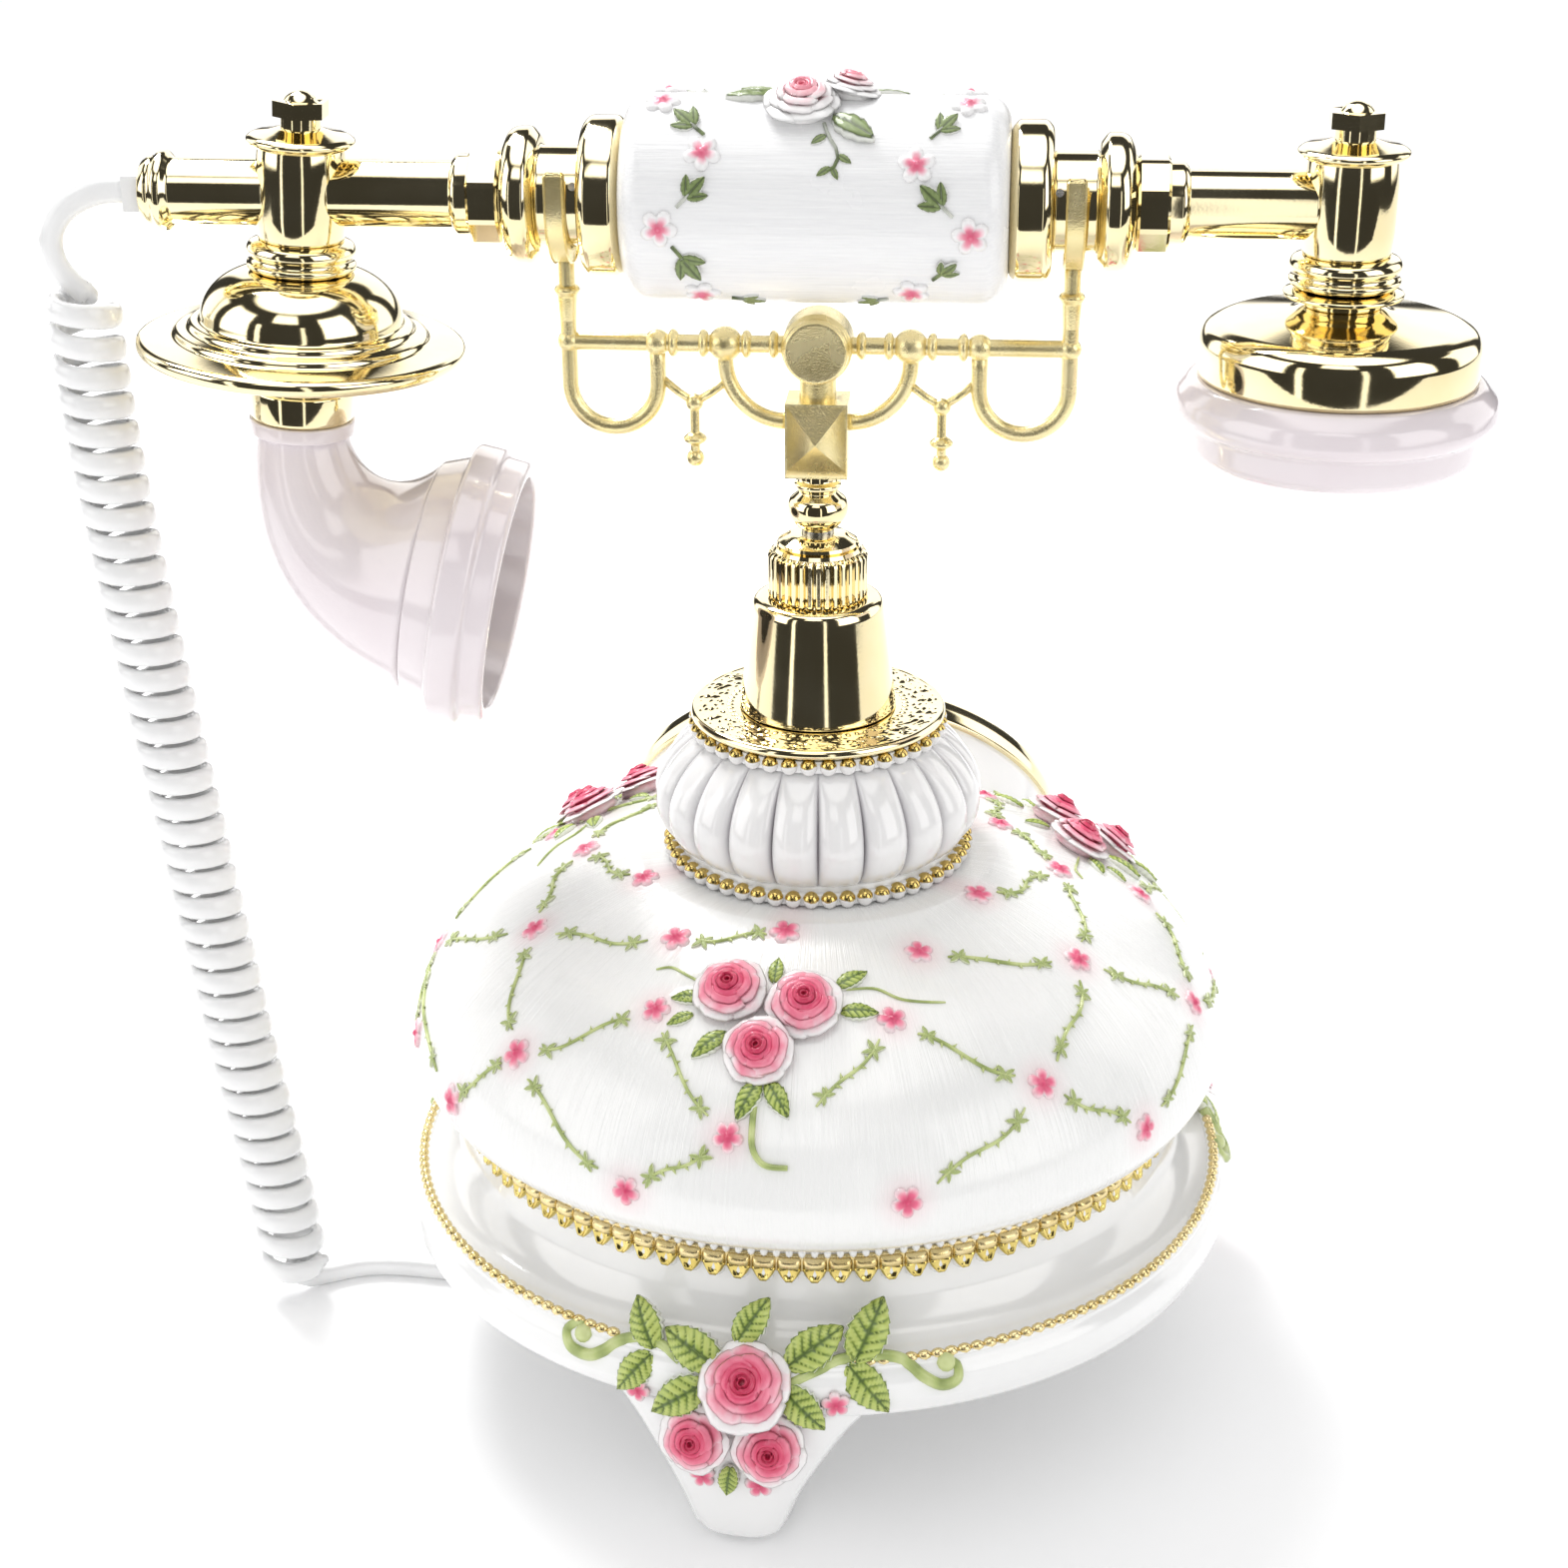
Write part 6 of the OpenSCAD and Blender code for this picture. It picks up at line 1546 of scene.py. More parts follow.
def rose_shape(seed, radius=1.0, rows=7, columns=9):
    """A full rose, facing +Z: rows of cupped petals round a tight bud, on a low cushion."""
    draw = random.Random(seed)
    points, faces, shade = [], [], []
    for level, (low_r, high_r, low_z, high_z, count, half) in enumerate(ROSE_RINGS):
        start_turn = draw.uniform(0, 2 * pi)
        for k in range(count):
            middle = start_turn + 2 * pi * k / count + draw.uniform(-0.22, 0.22)
            lift = draw.uniform(-0.05, 0.06)
            spread = draw.uniform(0.93, 1.05)
            swirl = draw.uniform(0.04, 0.09)
            sheet, thickness, own = [], [], []
            for j in range(rows):
                v = j / (rows - 1)
                roll = max(0.0, v - 0.72) / 0.28
                rise = sin(min(v / 0.86, 1.0) * pi / 2)
                for i in range(columns):
                    u = -1 + 2 * i / (columns - 1)
                    turn = middle + half * u
                    round_off = 1 - 0.2 * abs(u) ** 3 - 0.04 * cos(7 * u + 5 * k) * v
                    share = 0.72 * v ** 0.75 * round_off + 0.28 * roll * round_off
                    r = low_r + (high_r - low_r) * share * spread + swirl * high_r * u
                    z = low_z + (high_z + lift - low_z) * rise * (1 - 0.1 * u * u) - 0.07 * roll * roll
                    sheet.append(Vector(spun(r * radius, turn, z * radius)))
                    thickness.append(Vector(spun(0.05, turn, -0.045)) * radius)
                    # The rim term lightens each petal's rim, more on the outer rows: a painted highlight along the
                    # rims.
                    rim = 0.07 * (level + 1) * v ** 4 * (0.5 + 0.5 * abs(u))
                    own.append(min(1.0, ROSE_SHADES[level] + rim + draw.uniform(-0.03, 0.03)))
            made, made_faces = two_sided(sheet, rows, columns, thickness)
            faces += [tuple(f + len(points) for f in face) for face in made_faces]
            points += made
            shade += own + own
    outline = [(0, -0.25), (0.6, -0.25), (0.8, -0.12), (0.74, 0.02), (0.5, 0.14), (0.2, 0.42), (0, 0.5)]
    made, made_faces = lathe_parts([(r * radius, z * radius) for r, z in outline], 20)
    faces += [tuple(f + len(points) for f in face) for face in made_faces]
    points += made
    shade += [0.85 if z < 0.3 * radius else 0.0 for _, _, z in made]
    return unit_piece(f"rose_{seed}", points, faces, "shade", shade, 1e-9)


def leaf_shape(name, width=0.52, teeth=6, rows=19, columns=9, thick=0.1, curl=0.1):
    """A serrated leaf of unit length along +Y, its veins pressed into the top."""
    points, values = [], []
    for j in range(rows):
        v = j / (rows - 1)
        half = 0.5 * width * sin(pi * min(1.0, 0.02 + 0.98 * v ** 0.82)) ** 0.75
        notch = 1 - 0.2 * ((v * teeth) % 1.0) * (0.1 < v < 0.97)
        for i in range(columns):
            u = -1 + 2 * i / (columns - 1)
            x = u * max(half, 0.012) * (notch if abs(u) > 0.9 else 1.0)
            side_vein = max(0.0, cos(2 * pi * (v * teeth - 1.4 * abs(u)))) ** 4 * (abs(u) < 0.85)
            vein = max(exp(-(u / 0.13) ** 2), 0.85 * side_vein)
            z = thick * (1 - 0.75 * u * u) + curl * sin(pi * v) - 0.05 * vein
            points.append(Vector((x, v, z)))
            values.append(1.0 if abs(u) > 0.92 or j in (0, rows - 1) else 0.5 * vein)
    below = [Vector((0, 0, -p.z - 0.05)) for p in points]
    made, faces = two_sided(points, rows, columns, below)
    return unit_piece(name, made, faces, "vein", values + [1.0] * len(values))


def blossom_shape(name, point=0.0):
    """A five petal blossom of unit radius on a low round."""
    points, shade, sides = [], [], 30
    for s, z, value in ((1.0, -0.12, 0.95), (1.0, 0.08, 0.95), (0.82, 0.2, 0.85), (0.55, 0.24, 0.5), (0.32, 0.2, 0.2),
                        (0.16, 0.34, 0.05), (0.0, 0.38, 0.3)):
        for turn in full_turn(sides):
            petal = abs(cos(2.5 * turn)) ** (0.6 + point)
            r = s * (0.62 + 0.38 * petal if s > 0.4 else 0.8)
            dip = -0.1 * (1 - petal) if 0.4 < s < 0.95 else 0.0
            points.append(spun(r, turn, z + dip))
            shade.append(value)
    return unit_piece(name, points, ring_faces(7, sides) + [end_face(0, sides)], "shade", shade, 1e-9)


def thorn_shape():
    points = [spun(0.5, pi * k / 3, -0.4) for k in range(6)] + [spun(0.22, pi * k / 3, 0.5) for k in range(6)]
    faces = ring_faces(2, 6) + [(6 + k, 6 + (k + 1) % 6, 12) for k in range(6)] + [(5, 4, 3, 2, 1, 0)]
    return unit_piece("thorn", points + [(0.1, 0, 1.1)], faces, "vein", [0.3] * 13)


print("rose faces:", len(rose_shape(1).data.polygons), "leaf faces:", len(leaf_shape("leaf_test").data.polygons))
for spare in ("rose_1", "leaf_test"):
    bpy.data.objects.remove(bpy.data.objects[spare])

# %% [markdown]
# ## Paint for the ornament
#
# The painter laid a deep rose red in each heart and wiped it towards the rims, which stay white; the very rim of each
# petal is lightened further as a painted highlight. Leaves are a bright yellow green with darker veins, and the white
# body shows as a thin line round their edges.

# %% Rose and leaf paint
def painted(name, attribute, stops, rough, bump_scale):
    """Paint whose colour follows a value kept on the points, broken up a little by brush marks."""
    material, tree, shader = new_material(name)
    value = node_of(tree, "ShaderNodeAttribute", attribute_name=attribute)
    marks = use_group(tree, handling, Scale=bump_scale).outputs
    drift = math_node(tree, "MULTIPLY", math_node(tree, "SUBTRACT", marks["Smudge"], 0.5), 0.5)
    shade = math_node(tree, "ADD", value.outputs["Fac"], drift, clamp=True)
    link(tree, ramp(tree, shade, stops), shader.inputs["Base Color"])
    given(shader, Roughness=rough, Coat_Weight=0.5, Coat_Roughness=0.08)
    raised(tree, shader, marks["Grain"], Strength=0.25, Distance=0.3 * MM)
    return material


ROSE_STOPS = [
    (0.0, (0.55, 0.025, 0.09)), (0.3, (0.74, 0.09, 0.19)), (0.58, (0.85, 0.27, 0.37)), (0.78, (0.88, 0.56, 0.62)),
    (0.97, (0.88, 0.85, 0.85))
]
rose_paint = painted("rose_enamel", "shade", ROSE_STOPS, 0.3, 260.0)
blossom_paint = painted("blossom_enamel", "shade",
                        [(0.0, (0.66, 0.05, 0.15)), (0.5, (0.82, 0.17, 0.29)), (0.8, (0.88, 0.42, 0.50)),
                         (1.0, (0.88, 0.76, 0.78))], 0.35, 420.0)
leaf_paint = painted("leaf_enamel", "vein",
                     [(0.0, (0.52, 0.60, 0.17)), (0.14, (0.38, 0.48, 0.10)), (0.36, (0.16, 0.24, 0.045)),
                      (0.5, (0.10, 0.16, 0.035)), (0.62, (0.26, 0.34, 0.09)), (0.96, (0.82, 0.84, 0.74))],
                     0.32, 330.0)
dull_leaf_paint = painted("sage_enamel", "vein",
                          [(0.0, (0.24, 0.31, 0.12)), (0.2, (0.19, 0.25, 0.09)), (0.45, (0.08, 0.11, 0.04)),
                           (0.96, (0.76, 0.77, 0.72))], 0.4, 380.0)
vine_paint = painted("vine_enamel", "vein",
                     [(0.1, (0.62, 0.68, 0.33)), (0.5, (0.46, 0.54, 0.20)), (0.9, (0.28, 0.35, 0.11))], 0.3, 500.0)
vine_leaf_paint = painted("vine_leaf_enamel", "vein",
                          [(0.0, (0.58, 0.64, 0.30)), (0.3, (0.32, 0.40, 0.13)), (0.6, (0.46, 0.53, 0.24)),
                           (0.96, (0.74, 0.78, 0.56))], 0.35, 500.0)
print("paints ready")

# %% [markdown]
# ## Trees that place and draw the ornament
#
# One tree stands a piece on every point of a mesh, turned and sized by values kept on the point. Another draws a stem
# along any chain of edges, as thick as the value kept on each point. Both are used for the dome, the feet and the
# grip.

# %% Scatter and stem trees
def named_value(tree, name, kind):
    made = node_of(tree, "GeometryNodeInputNamedAttribute", data_type=kind, Name=name)
    return next(socket for socket in made.outputs if socket.enabled)


scatter_tree, s_in, s_out = new_tree("stand_on_points",
                                     [("Piece", "NodeSocketObject"), ("Material", "NodeSocketMaterial")])
s_piece = node_of(scatter_tree, "GeometryNodeObjectInfo", {"Object": s_in.outputs["Piece"]})
s_copies = node_of(scatter_tree, "GeometryNodeInstanceOnPoints", {
    "Points": s_in.outputs["Geometry"], "Instance": s_piece.outputs["Geometry"],
    "Rotation": named_value(scatter_tree, "turn", "FLOAT_VECTOR"), "Scale": named_value(scatter_tree, "size", "FLOAT")})
finish_tree(scatter_tree, s_in, s_out, s_copies.outputs[0])

stem_tree, t_in, t_out = new_tree("stem_along_edges",
                                  [("Thickness", "NodeSocketFloat"), ("Material", "NodeSocketMaterial")])
t_curve = node_of(stem_tree, "GeometryNodeMeshToCurve", {"Mesh": t_in.outputs["Geometry"]})
t_circle = node_of(stem_tree, "GeometryNodeCurvePrimitiveCircle", {"Radius": t_in.outputs["Thickness"]}, Resolution=8)
t_size = named_value(stem_tree, "size", "FLOAT")
t_radius = node_of(stem_tree, "GeometryNodeSetCurveRadius", {"Curve": t_curve.outputs[0], "Radius": t_size})
t_tube = node_of(stem_tree, "GeometryNodeCurveToMesh",
                 {"Curve": t_radius.outputs[0], "Profile Curve": t_circle.outputs["Curve"]}, Fill_Caps=True)
if "Scale" in t_tube.inputs:
    link(stem_tree, t_size, t_tube.inputs["Scale"])
finish_tree(stem_tree, t_in, t_out, t_tube.outputs[0])


def stood(out, towards, spin=0.0):
    """A turn that stands a piece up along out, its +Y kept towards a direction, then spun about out in degrees."""
    out = out.normalized()
    side = Vector(towards).cross(out).normalized()
    turned = Matrix((side, out.cross(side), out)).transposed()
    return turned @ Matrix.Rotation(radians(spin), 3, "Z")


def scatter(name, piece, places, material):
    """Copies of a piece at (point, turn, size) places, sizes in millimetres."""
    mesh = bpy.data.meshes.new(name)
    mesh.from_pydata([point * MM for point, _, _ in places], [], [])
    for title, kind in (("turn", "FLOAT_VECTOR"), ("size", "FLOAT")):
        mesh.attributes.new(title, kind, "POINT")
    for i, (_, turned, size) in enumerate(places):
        mesh.attributes["turn"].data[i].vector = turned.to_euler()
        mesh.attributes["size"].data[i].value = size
    made = run_tree(name, scatter_tree, mesh, Piece=piece, Material=material)
    bpy.data.objects.remove(piece)
    made.data.shade_smooth()
    print(name, len(places), "copies,", len(made.data.polygons), "faces")
    return made


def stems(name, chains, material, thickness=0.6):
    """Tubes along chains of (point, size)."""
    mesh = bpy.data.meshes.new(name)
    points, edges, sizes = [], [], []
    for chain in chains:
        edges += [(len(points) + i, len(points) + i + 1) for i in range(len(chain) - 1)]
        points += [point * MM for point, _ in chain]
        sizes += [size for _, size in chain]
    mesh.from_pydata(points, edges, [])
    for cell, value in zip(mesh.attributes.new("size", "FLOAT", "POINT").data, sizes):
        cell.value = value
    made = run_tree(name, stem_tree, mesh, Thickness=thickness * MM, Material=material)
    made.data.shade_smooth()
    if "vein" not in made.data.attributes:
        with_value(made, "vein", [0.5 + 0.3 * sin(0.09 * i) for i in range(len(made.data.vertices))])
    return made


UP = Vector((0, 0, 1))
print("trees:", [t.name for t in bpy.data.node_groups if t.bl_idname == "GeometryNodeTree"])

# %% [markdown]
# ## Ornament on the dome
#
# Three clusters of three roses, one above each foot, with leaves, a stem and two tendrils. Between them, small blossoms
# stand in a loose diamond pattern, and thorny vines run from each towards the next without touching either.

# %% Dome roses, leaves and vines
draw = random.Random(11)
MOTIF_TURNS = (0, 120, 240)
ROSES = [((257.2, 48.5), 7.0), ((271.7, 47.0), 7.2), ((264.7, 37.9), 6.7)]
DOME_LEAVES = [
    ((252.2, 47.0), 105, 6.6), ((251.6, 43.6), 130, 5.6), ((265.1, 51.4), 0, 6.4), ((277.8, 50.8), -60, 7.4),
    ((278.2, 46.2), -95, 7.6), ((258.6, 41.2), 140, 8.4), ((265.4, 32.8), 158, 9.0), ((266.6, 32.8), -146, 8.6)
]
MAIN_STEM = [(265.6, 32), (265.2, 28), (265.2, 24), (265.4, 20.1), (266.2, 17.4), (267.6, 15.8), (270.3, 15.6)]
TENDRILS = [
    [(250.4, 49.6), (247.4, 50.2), (242.4, 51), (239.4, 49.8)],
    [(279.9, 50.4), (285.8, 50.2), (290.6, 47.5), (298.4, 45.6)]
]


def dome_chain(stops, size=1.0, lift=0.15, steps=9, sway=0.0, tail=0.55):
    """A smooth chain of points over the dome through (turn, rise) stops."""
    route = [(t, r, 0) for t, r in stops]
    chain = []
    count = steps * (len(stops) - 1)
    for i in range(count + 1):
        s = i / count
        turn, rise, _ = along(route, s)
        rise += sway * sin(2 * pi * s)
        place, out = on_dome(turn, rise)
        chain.append((place + out * lift, size * (tail + (1 - tail) * sin(pi * s) ** 0.5)))
    return chain


def dome_out(here):
    """Outward direction at a place a little off the dome."""
    return Vector((here.x / DOME_R ** 2, here.y / DOME_R ** 2, (here.z - DOME_Z) / DOME_HIGH ** 2)).normalized()


roses, leaves, chains, vine_leaves, thorns, small = [], [], [], [], [], []
for extra in MOTIF_TURNS:
    for i, ((turn, rise), size) in enumerate(ROSES):
        place, out = on_dome(turn + extra, rise)
        turned = stood((out - 0.2 * UP).normalized(), UP, 50 * i + extra)
        roses.append((place + out * 1.2, turned, size))
    for (turn, rise), spin, size in DOME_LEAVES:
        place, out = on_dome(turn + extra, rise)
        leaves.append((place - out * 0.1, stood(out, UP, spin), size))
    chains.append(dome_chain([(t + extra, r) for t, r in MAIN_STEM], 1.9, 0.3, 5, tail=0.8))
    for tendril in TENDRILS:
        chains.append(dome_chain([(t + extra, r) for t, r in tendril], 0.9, 0.15, 6))
for (t0, r0), (t1, r1) in vines:
    if t1 - t0 > 180:
        t0 += 360
    if t0 - t1 > 180:
        t1 += 360
    stops = [(t0 + (t1 - t0) * s, r0 + (r1 - r0) * s) for s in (0.18, 0.39, 0.61, 0.82)]
    sway = draw.uniform(0.5, 1.3) * draw.choice((-1, 1))
    chain = dome_chain(stops, draw.uniform(1.0, 1.25), 0.2, 7, sway)
    chains.append(chain)
    for i in range(2, len(chain) - 2, 2):
        here, size = chain[i]
        ahead = (chain[i + 1][0] - chain[i - 1][0]).normalized()
        out = dome_out(here)
        side = ahead.cross(out) * (1 if i % 4 == 2 else -1)
        turned = stood((side + out * 0.3 + ahead * 0.4).normalized(), ahead)
        thorns.append((here + side * 0.45, turned, draw.uniform(0.6, 0.95)))
    for i, sign in ((3, 1), (len(chain) - 4, -1)):
        here, ahead = chain[i][0], (chain[i + 1][0] - chain[i - 1][0]).normalized() * sign
        out = dome_out(here)
        for spin in (draw.uniform(35, 60), draw.uniform(-60, -35), draw.uniform(120, 150), draw.uniform(-150, -120)):
            vine_leaves.append((here - out * 0.05, stood(out, ahead, spin), draw.uniform(1.9, 2.7)))
for turn, rise in blossoms:
    place, out = on_dome(turn, rise)
    small.append((place, stood(out, UP, draw.uniform(0, 72)), draw.uniform(2.9, 3.4)))
settle(scatter("dome_rose_clusters", rose_shape(3), roses, rose_paint), "base", "rose_enamel", "dome_roses")
settle(scatter("dome_rose_leaves", leaf_shape("dome_leaf"), leaves, leaf_paint), "base", "leaf_enamel")
settle(scatter("dome_blossoms", blossom_shape("dome_blossom"), small, blossom_paint), "base", "rose_enamel")
settle(scatter("vine_leaves", leaf_shape("vine_leaf", 0.46, 3, 8, 5, 0.16, 0.08), vine_leaves, vine_leaf_paint), "base",
       "leaf_enamel")
settle(joined("dome_vines", [stems("dome_stems", chains, vine_paint, 0.34),
                             scatter("vine_thorns", thorn_shape(), thorns, vine_paint)]),
       "base", "leaf_enamel")
print("roses", len(roses), "leaves", len(leaves), "vine leaves", len(vine_leaves), "thorns", len(thorns))

# %% [markdown]
# ## The feet
#
# Three feet hang from the plinth like shields: wide where they leave it, drawn in to a rounded toe. Each is a stack
# of rounded sections, one for each height, joined into a closed skin; a soft raised line follows its two edges.

# %% Feet as stacked sections
RIM_R = 89
# Height, half width and outward reach of each section.
FOOT_ROWS = [
    (1.5, 6.4, 84.4), (1.9, 7.8, 85.8), (3, 8.9, 87), (5, 9.8, 87.9), (8, 10.8, 88.5), (12, 12.4, 88.9),
    (16, 14.6, 89.1), (20, 17.1, 89.2), (24, 19.7, 89.3), (27, 21.7, 89.3), (30, 24.2, 89.2), (32, 26.6, 89.0),
    (33.6, 29.6, 88.7), (35, 34, 88.4)
]


def foot_section(z, half, reach, sides=72):
    """A rounded section of a foot, its outer side bent to the plinth's rim, with a raised line near both edges."""
    back = 66.0 if z > 4 else 67.0
    deep = (reach - back) / 2
    ring = []
    for turn in full_turn(sides):
        q = half * squared_up(sin(turn), 2 / 3.4)
        x = back + deep + deep * squared_up(cos(turn), 2 / 3.4)
        if cos(turn) > 0:
            x += 0.5 * exp(-((abs(q) / half - 0.88) / 0.06) ** 2) * (1 if z < 31 else 0.3)
        ring.append((x - (RIM_R - math.sqrt(RIM_R ** 2 - q * q)), q, z))
    return ring


def foot_skin(name, turn):
    rings = [foot_section(*row) for row in FOOT_ROWS]
    sides = len(rings[0])
    faces = ring_faces(len(rings), sides) + [end_face(0, sides), end_face(len(rings) - 1, sides)]
    skin = mesh_object(name, sum(rings, []), faces, Matrix.Rotation(radians(turn), 4, "Z"))
    finer = skin.modifiers.new("finer", "SUBSURF")
    finer.levels = finer.render_levels = 1
    return sharp(applied(skin), 50)


feet = paint(joined("shield_feet", [foot_skin(f"foot_{i}", turn) for i, turn in enumerate(FOOT_TURNS)]), glaze)
settle(feet, "base", "cream_resin", "feet")
print("feet faces:", len(feet.data.polygons))

# %% [markdown]
# ## Ornament on the feet
#
# The biggest roses sit where each foot leaves the plinth, one large over two small, with broad serrated leaves fanned
# round them and a green scroll on each side that curls up against the rope. All of it is placed by turn and height on
# one skin.

# %% Foot roses, leaves and scrolls
def on_foot(turn, rise, lift=0.0):
    """Place and outward direction on the plinth's rim or the foot under it, in degrees and millimetres."""
    slope = 0.0 if rise < 38 else 0.72
    r = 89.3 - slope * (rise - 38)
    turn = radians(turn)
    out = Vector((cos(turn), sin(turn), slope)).normalized()
    return Vector((r * cos(turn), r * sin(turn), rise)) + out * lift, out


def leaf_between(foot, root, tip, lift=0.5, lean=0.0):
    """A leaf from its root to its tip, each (turn from the foot's middle, height)."""
    a, out_a = on_foot(foot + root[0], root[1], lift)
    b, out_b = on_foot(foot + tip[0], tip[1], lift)
    out = (out_a + out_b).normalized()
    return a, stood(out, (b - a).normalized(), lean), (b - a).length


FOOT_LEAVES = [
    ((-10.6, 43.0), (-14.8, 50.6)), ((-10.8, 42.6), (-14.9, 34.8)), ((-1.6, 42.0), (-9.8, 46.8)),
    ((-3.2, 39.8), (-9.8, 32.6)), ((0.0, 46.0), (4.0, 53.6)), ((6.6, 43.0), (14.2, 49.4)),
    ((15.2, 43.6), (19.9, 53.6)), ((14.4, 43.9), (19.4, 35.2)), ((6.2, 40.2), (11.6, 32.6)),
    ((-0.1, 22.4), (-0.6, 15.4))
]
SCROLLS = [[(-7.0, 42.1), (-9.6, 43.9), (-12.5, 44.4), (-15.5, 43.1), (-17.5, 40.8), (-19.4, 39.4), (-22.2, 39.7),
            (-23.4, 42.0), (-22.0, 43.6), (-20.9, 42.3)],
           [(7.3, 40.7), (10.2, 42.4), (13.6, 44.3), (17.6, 44.7), (21.4, 43.8), (23.8, 41.0), (26.1, 39.1),
            (28.2, 39.6), (28.4, 41.9), (27.1, 42.4)]]
FOOT_BLOSSOMS = [((-12.2, 35.6), 2.6), ((12.9, 37.4), 2.8), ((-3.8, 18.6), 2.7), ((3.4, 18.0), 2.9)]
foot_roses, foot_leaves, scrolls, foot_small, curls = [], [], [], [], []
for foot in FOOT_TURNS:
    for (turn, rise), size, lean in (((1.8, 39.6), 8.8, 0.25), ((-4.3, 28.4), 6.9, 0.3), ((4.9, 27.8), 7.1, 0.3)):
        place, out = on_foot(foot + turn, rise, 1.6)
        foot_roses.append((place, stood((out + UP * lean).normalized(), UP, 77 * turn), size))
    foot_leaves += [leaf_between(foot, root, tip, 0.7) for root, tip in FOOT_LEAVES]
    for scroll in SCROLLS:
        count = 6 * (len(scroll) - 1)
        chain = []
        for i in range(count + 1):
            turn, rise, _ = along([(t, r, 0) for t, r in scroll], i / count)
            chain.append((on_foot(foot + turn, rise, 0.9)[0], 1.0 + 0.35 * sin(pi * i / count)))
        scrolls.append(chain)
        turn, rise = scroll[-1]
        place, out = on_foot(foot + turn, rise, 0.8)
        curls.append((place, stood(out, UP), 2.0))
    for (turn, rise), size in FOOT_BLOSSOMS:
        place, out = on_foot(foot + turn, rise, 0.2)
        foot_small.append((place, stood(out, UP, 30 * turn), size))
settle(scatter("foot_rose_clusters", rose_shape(8), foot_roses, rose_paint), "base", "rose_enamel", "foot_roses")
settle(scatter("foot_blossoms", blossom_shape("foot_blossom"), foot_small, blossom_paint), "base", "rose_enamel")
foot_green = scatter("foot_leaf_fans", leaf_shape("foot_leaf", 0.62, 7, 29, 13, 0.11, 0.12), foot_leaves, leaf_paint)
scroll_ends = scatter("scroll_ends", bead_shape("curl", 1.0, 1.0, 8, 12), curls, vine_paint)
foot_vines = stems("foot_scrolls", scrolls, vine_paint, 0.95)
settle(joined("foot_greenery", [foot_green, foot_vines, scroll_ends]), "base", "leaf_enamel", "foot_leaves")
print("foot roses", len(foot_roses), "leaves", len(foot_leaves), "scrolls", len(scrolls))

# %% [markdown]
# ## Ornament on the grip
#
# The white grip was brushed lengthwise with a stiff brush before painting, so very fine lines run along it. Two pale
# roses sit at its top, and a loose oval of blossoms and three leaf sprigs runs round each side.

# %% Brushed grip with roses and sprigs
grip_glaze, g_tree, g_shader = new_material("brushed_glaze")
g_at = node_of(g_tree, "ShaderNodeTexCoord")
g_map = node_of(g_tree, "ShaderNodeMapping", {"Vector": g_at.outputs["Object"]}, Scale=(70.0, 2400.0, 2400.0))
g_lines = noise(g_tree, g_map.outputs[0], 1.0, 3.0, 0.6)
g_marks = use_group(g_tree, handling, Scale=60.0)
link(g_tree, ramp(g_tree, g_lines, [(0.25, (0.80, 0.80, 0.81)), (0.7, (0.87, 0.87, 0.87))]),
     g_shader.inputs["Base Color"])
link(g_tree, math_node(g_tree, "MULTIPLY_ADD", g_marks.outputs["Smudge"], 0.12, 0.2), g_shader.inputs["Roughness"])
given(g_shader, Coat_Weight=0.35, Coat_Roughness=0.08)
raised(g_tree, g_shader, g_lines, Strength=0.5, Distance=0.25 * MM)
paint(grip, grip_glaze)


def on_grip(x, turn, lift=0.0):
    """Place and outward direction on the grip; turn 0 faces the near side, 90 is up."""
    turn = radians(turn)
    out = Vector((0, -cos(turn), sin(turn)))
    return Vector((x, 0, AXIS_Z)) + out * (GRIP_R + lift), out


def grip_leaf(root, tip, lift=0.1):
    a, out = on_grip(*root, lift)
    b, _ = on_grip(*tip, lift)
    return a, stood(out, (b - a).normalized()), (b - a).length


ALONG = Vector((1, 0, 0))
SPRIGS = [
    ((-20, 47.5), (-25.2, 61.9)), ((-24.6, 6.6), (-20, 21.2)), ((-25.7, -15.2), (-21.2, -32.9)),
    ((21.6, 46.5), (25.8, 60.3)), ((26.1, 3.2), (20.8, 18.3)), ((22.5, -35.4), (26.4, -23.2)),
    ((-15.5, -58), (-10, -62)), ((14, -56), (9, -61))
]
GRIP_BLOSSOMS = [
    (-20.1, 36.4), (19.3, 30.7), (-28, -4.9), (29.4, -7.1), (-20.9, -51.4), (18.5, -47), (-28.6, 74), (28.4, 74)
]
grip_roses, grip_leaves, grip_small, grip_stems = [], [], [], []
place, out = on_grip(-2.4, 70, 0.7)
grip_roses.append((place, stood(out, ALONG, 20), 7.0))
place, out = on_grip(6.2, 91, 0.7)
grip_roses.append((place, stood((out + ALONG * 0.2).normalized(), ALONG, 100), 5.6))
grip_leaves += [grip_leaf((3.6, 62), (11.4, 42)), grip_leaf((-7.5, 86), (-17, 80)), grip_leaf((-8, 98), (-15, 110)),
                grip_leaf((9, 108), (17, 116))]
chain = [on_grip(x, t, 0.2)[0] for x, t in ((2.0, 56), (2.6, 50), (3.4, 45), (4.4, 40), (4.9, 34), (4.2, 29),
                                            (3.0, 27))]
grip_stems.append([(point, 0.9) for point in chain])
grip_leaves += [grip_leaf((2.5, 48), (-0.2, 42)), grip_leaf((4.8, 36), (7.4, 31)), grip_leaf((3.6, 29), (1.0, 24)),
                grip_leaf((3.8, 29), (5.0, 22))]
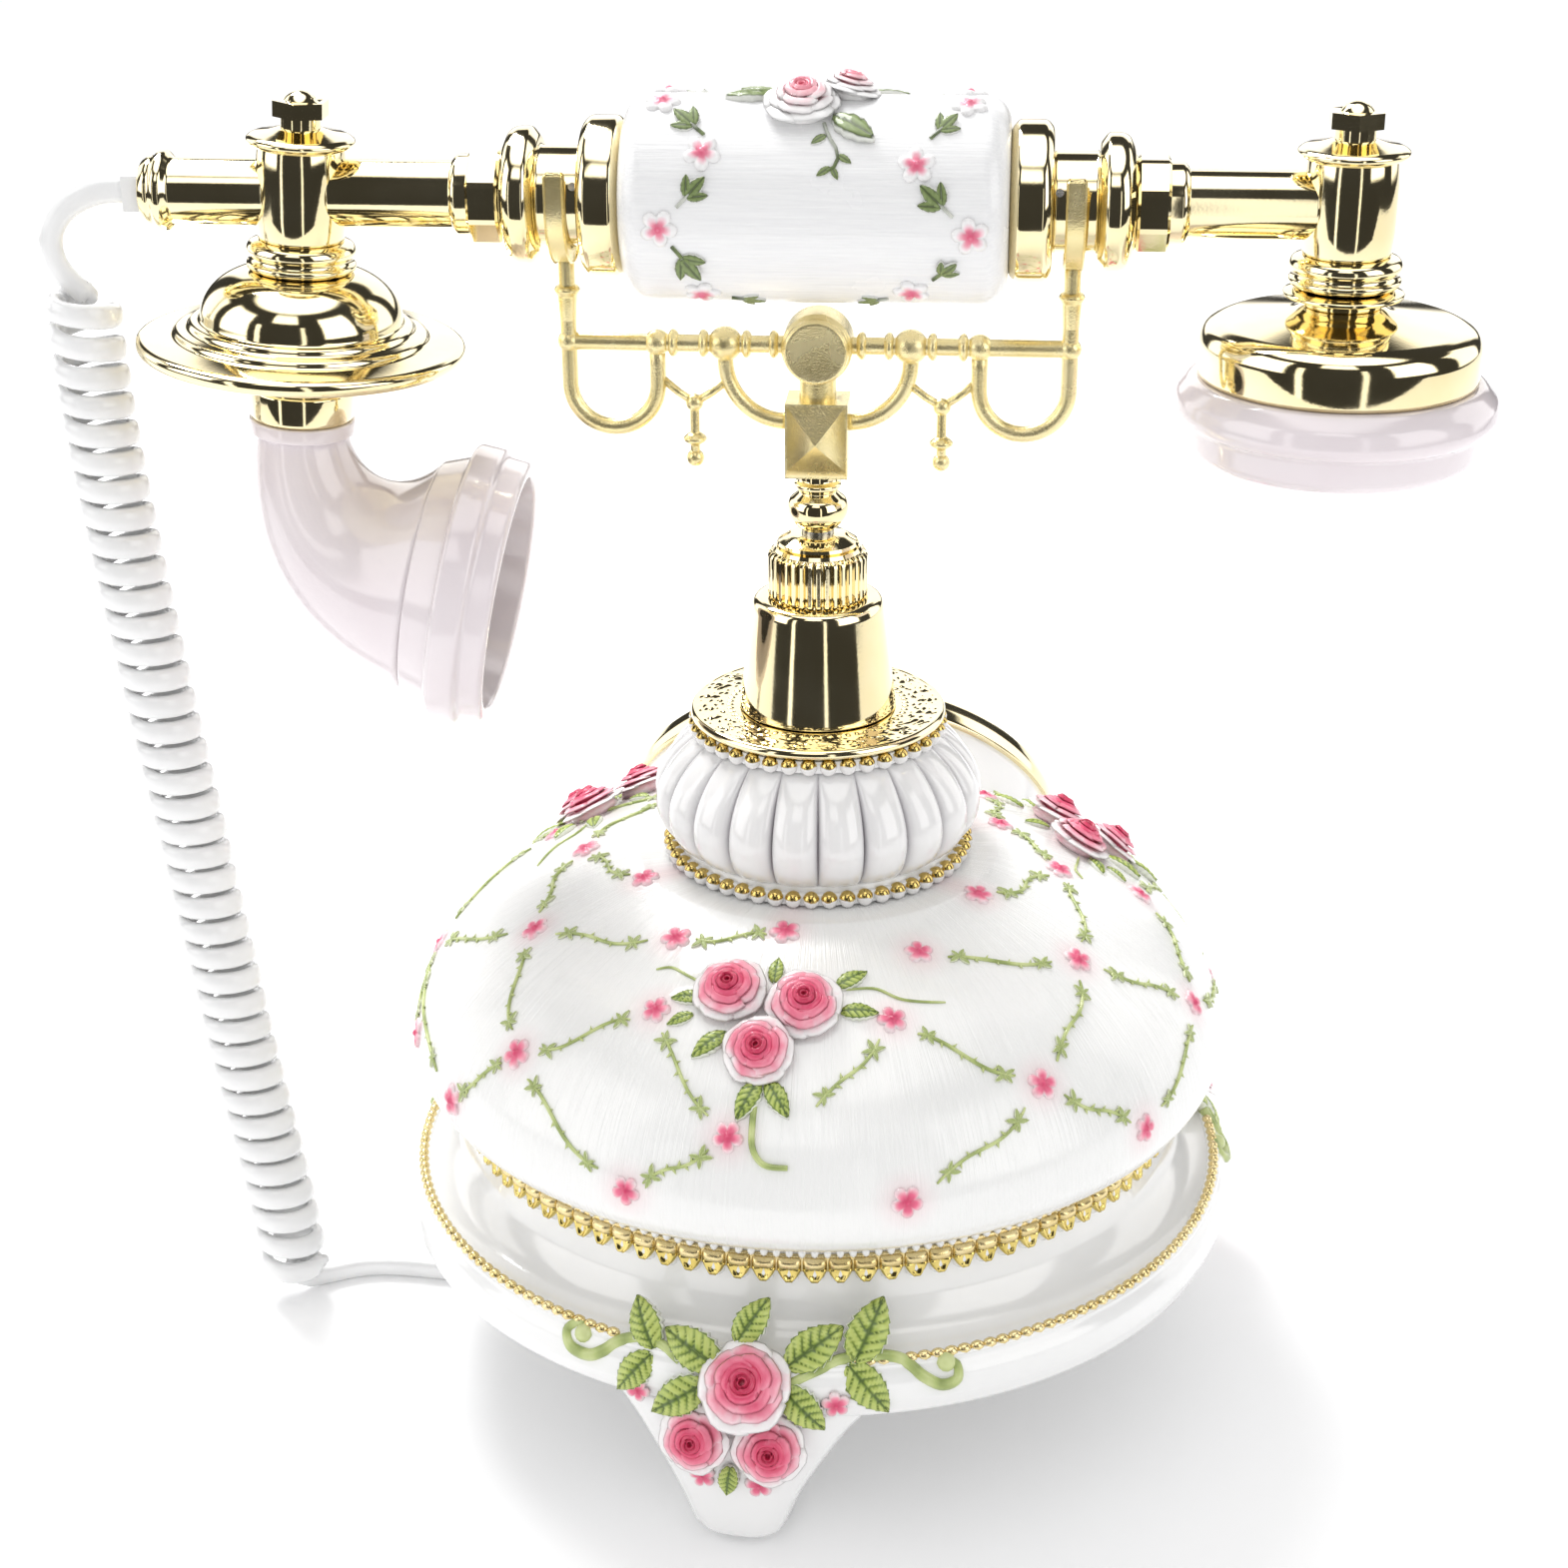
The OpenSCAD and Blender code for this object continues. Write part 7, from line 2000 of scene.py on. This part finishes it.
for side in (0, 1):
    def seen_from(spot):
        """The same spot on the near side or mirrored to the far one."""
        return (spot[0], 180 - spot[1]) if side else spot

    for root, tip in SPRIGS:
        a, turned, length = grip_leaf(seen_from(root), seen_from(tip))
        for spin, share in ((0, 0.62), (42, 0.5), (-42, 0.5)):
            grip_leaves.append((a + turned @ Vector((0, 0.38 * length, 0)),
                                turned @ Matrix.Rotation(radians(spin), 3, "Z"), share * 1.25 * length))
        grip_stems.append([(a + turned @ Vector((0, s * length, 0.1)), 0.9) for s in (0.0, 0.25, 0.5)])
    for i, spot in enumerate(GRIP_BLOSSOMS):
        place, out = on_grip(*seen_from(spot))
        grip_small.append((place, stood(out, ALONG, 40 * i), 3.6))
pale = painted("pale_rose_enamel", "shade",
               [(0.0, (0.78, 0.20, 0.28)), (0.2, (0.84, 0.36, 0.42)), (0.42, (0.87, 0.62, 0.65)),
                (0.6, (0.87, 0.83, 0.83)), (0.9, (0.87, 0.865, 0.86))],
               0.3, 260.0)
star_paint = painted("star_blossom_enamel", "shade",
                     [(0.0, (0.70, 0.10, 0.20)), (0.3, (0.80, 0.25, 0.35)), (0.55, (0.87, 0.62, 0.67)),
                      (0.8, (0.87, 0.86, 0.86))], 0.35, 420.0)
settle(scatter("grip_rose_pair", rose_shape(21), grip_roses, pale), "handset", "rose_enamel", "grip_roses")
settle(scatter("grip_blossoms", blossom_shape("grip_blossom", 0.25), grip_small, star_paint), "handset", "rose_enamel")
settle(joined("grip_sprigs", [scatter("grip_leaves", leaf_shape("grip_leaf", 0.55, 4, 13, 7, 0.09, 0.05), grip_leaves,
                                      dull_leaf_paint),
                              stems("grip_stems", grip_stems, dull_leaf_paint, 0.4)]), "handset", "leaf_enamel")
print("grip leaves", len(grip_leaves), "blossoms", len(grip_small))

# %% [markdown]
# ## The cord
#
# The cord rides on the base in place of its three solids, in the white cord finish.

settle(handset_cord, "base", "cord_white", "cord_lead_top", "cord_coil", "cord_lead_low")
handset_cord.data.materials.append(cord_white)
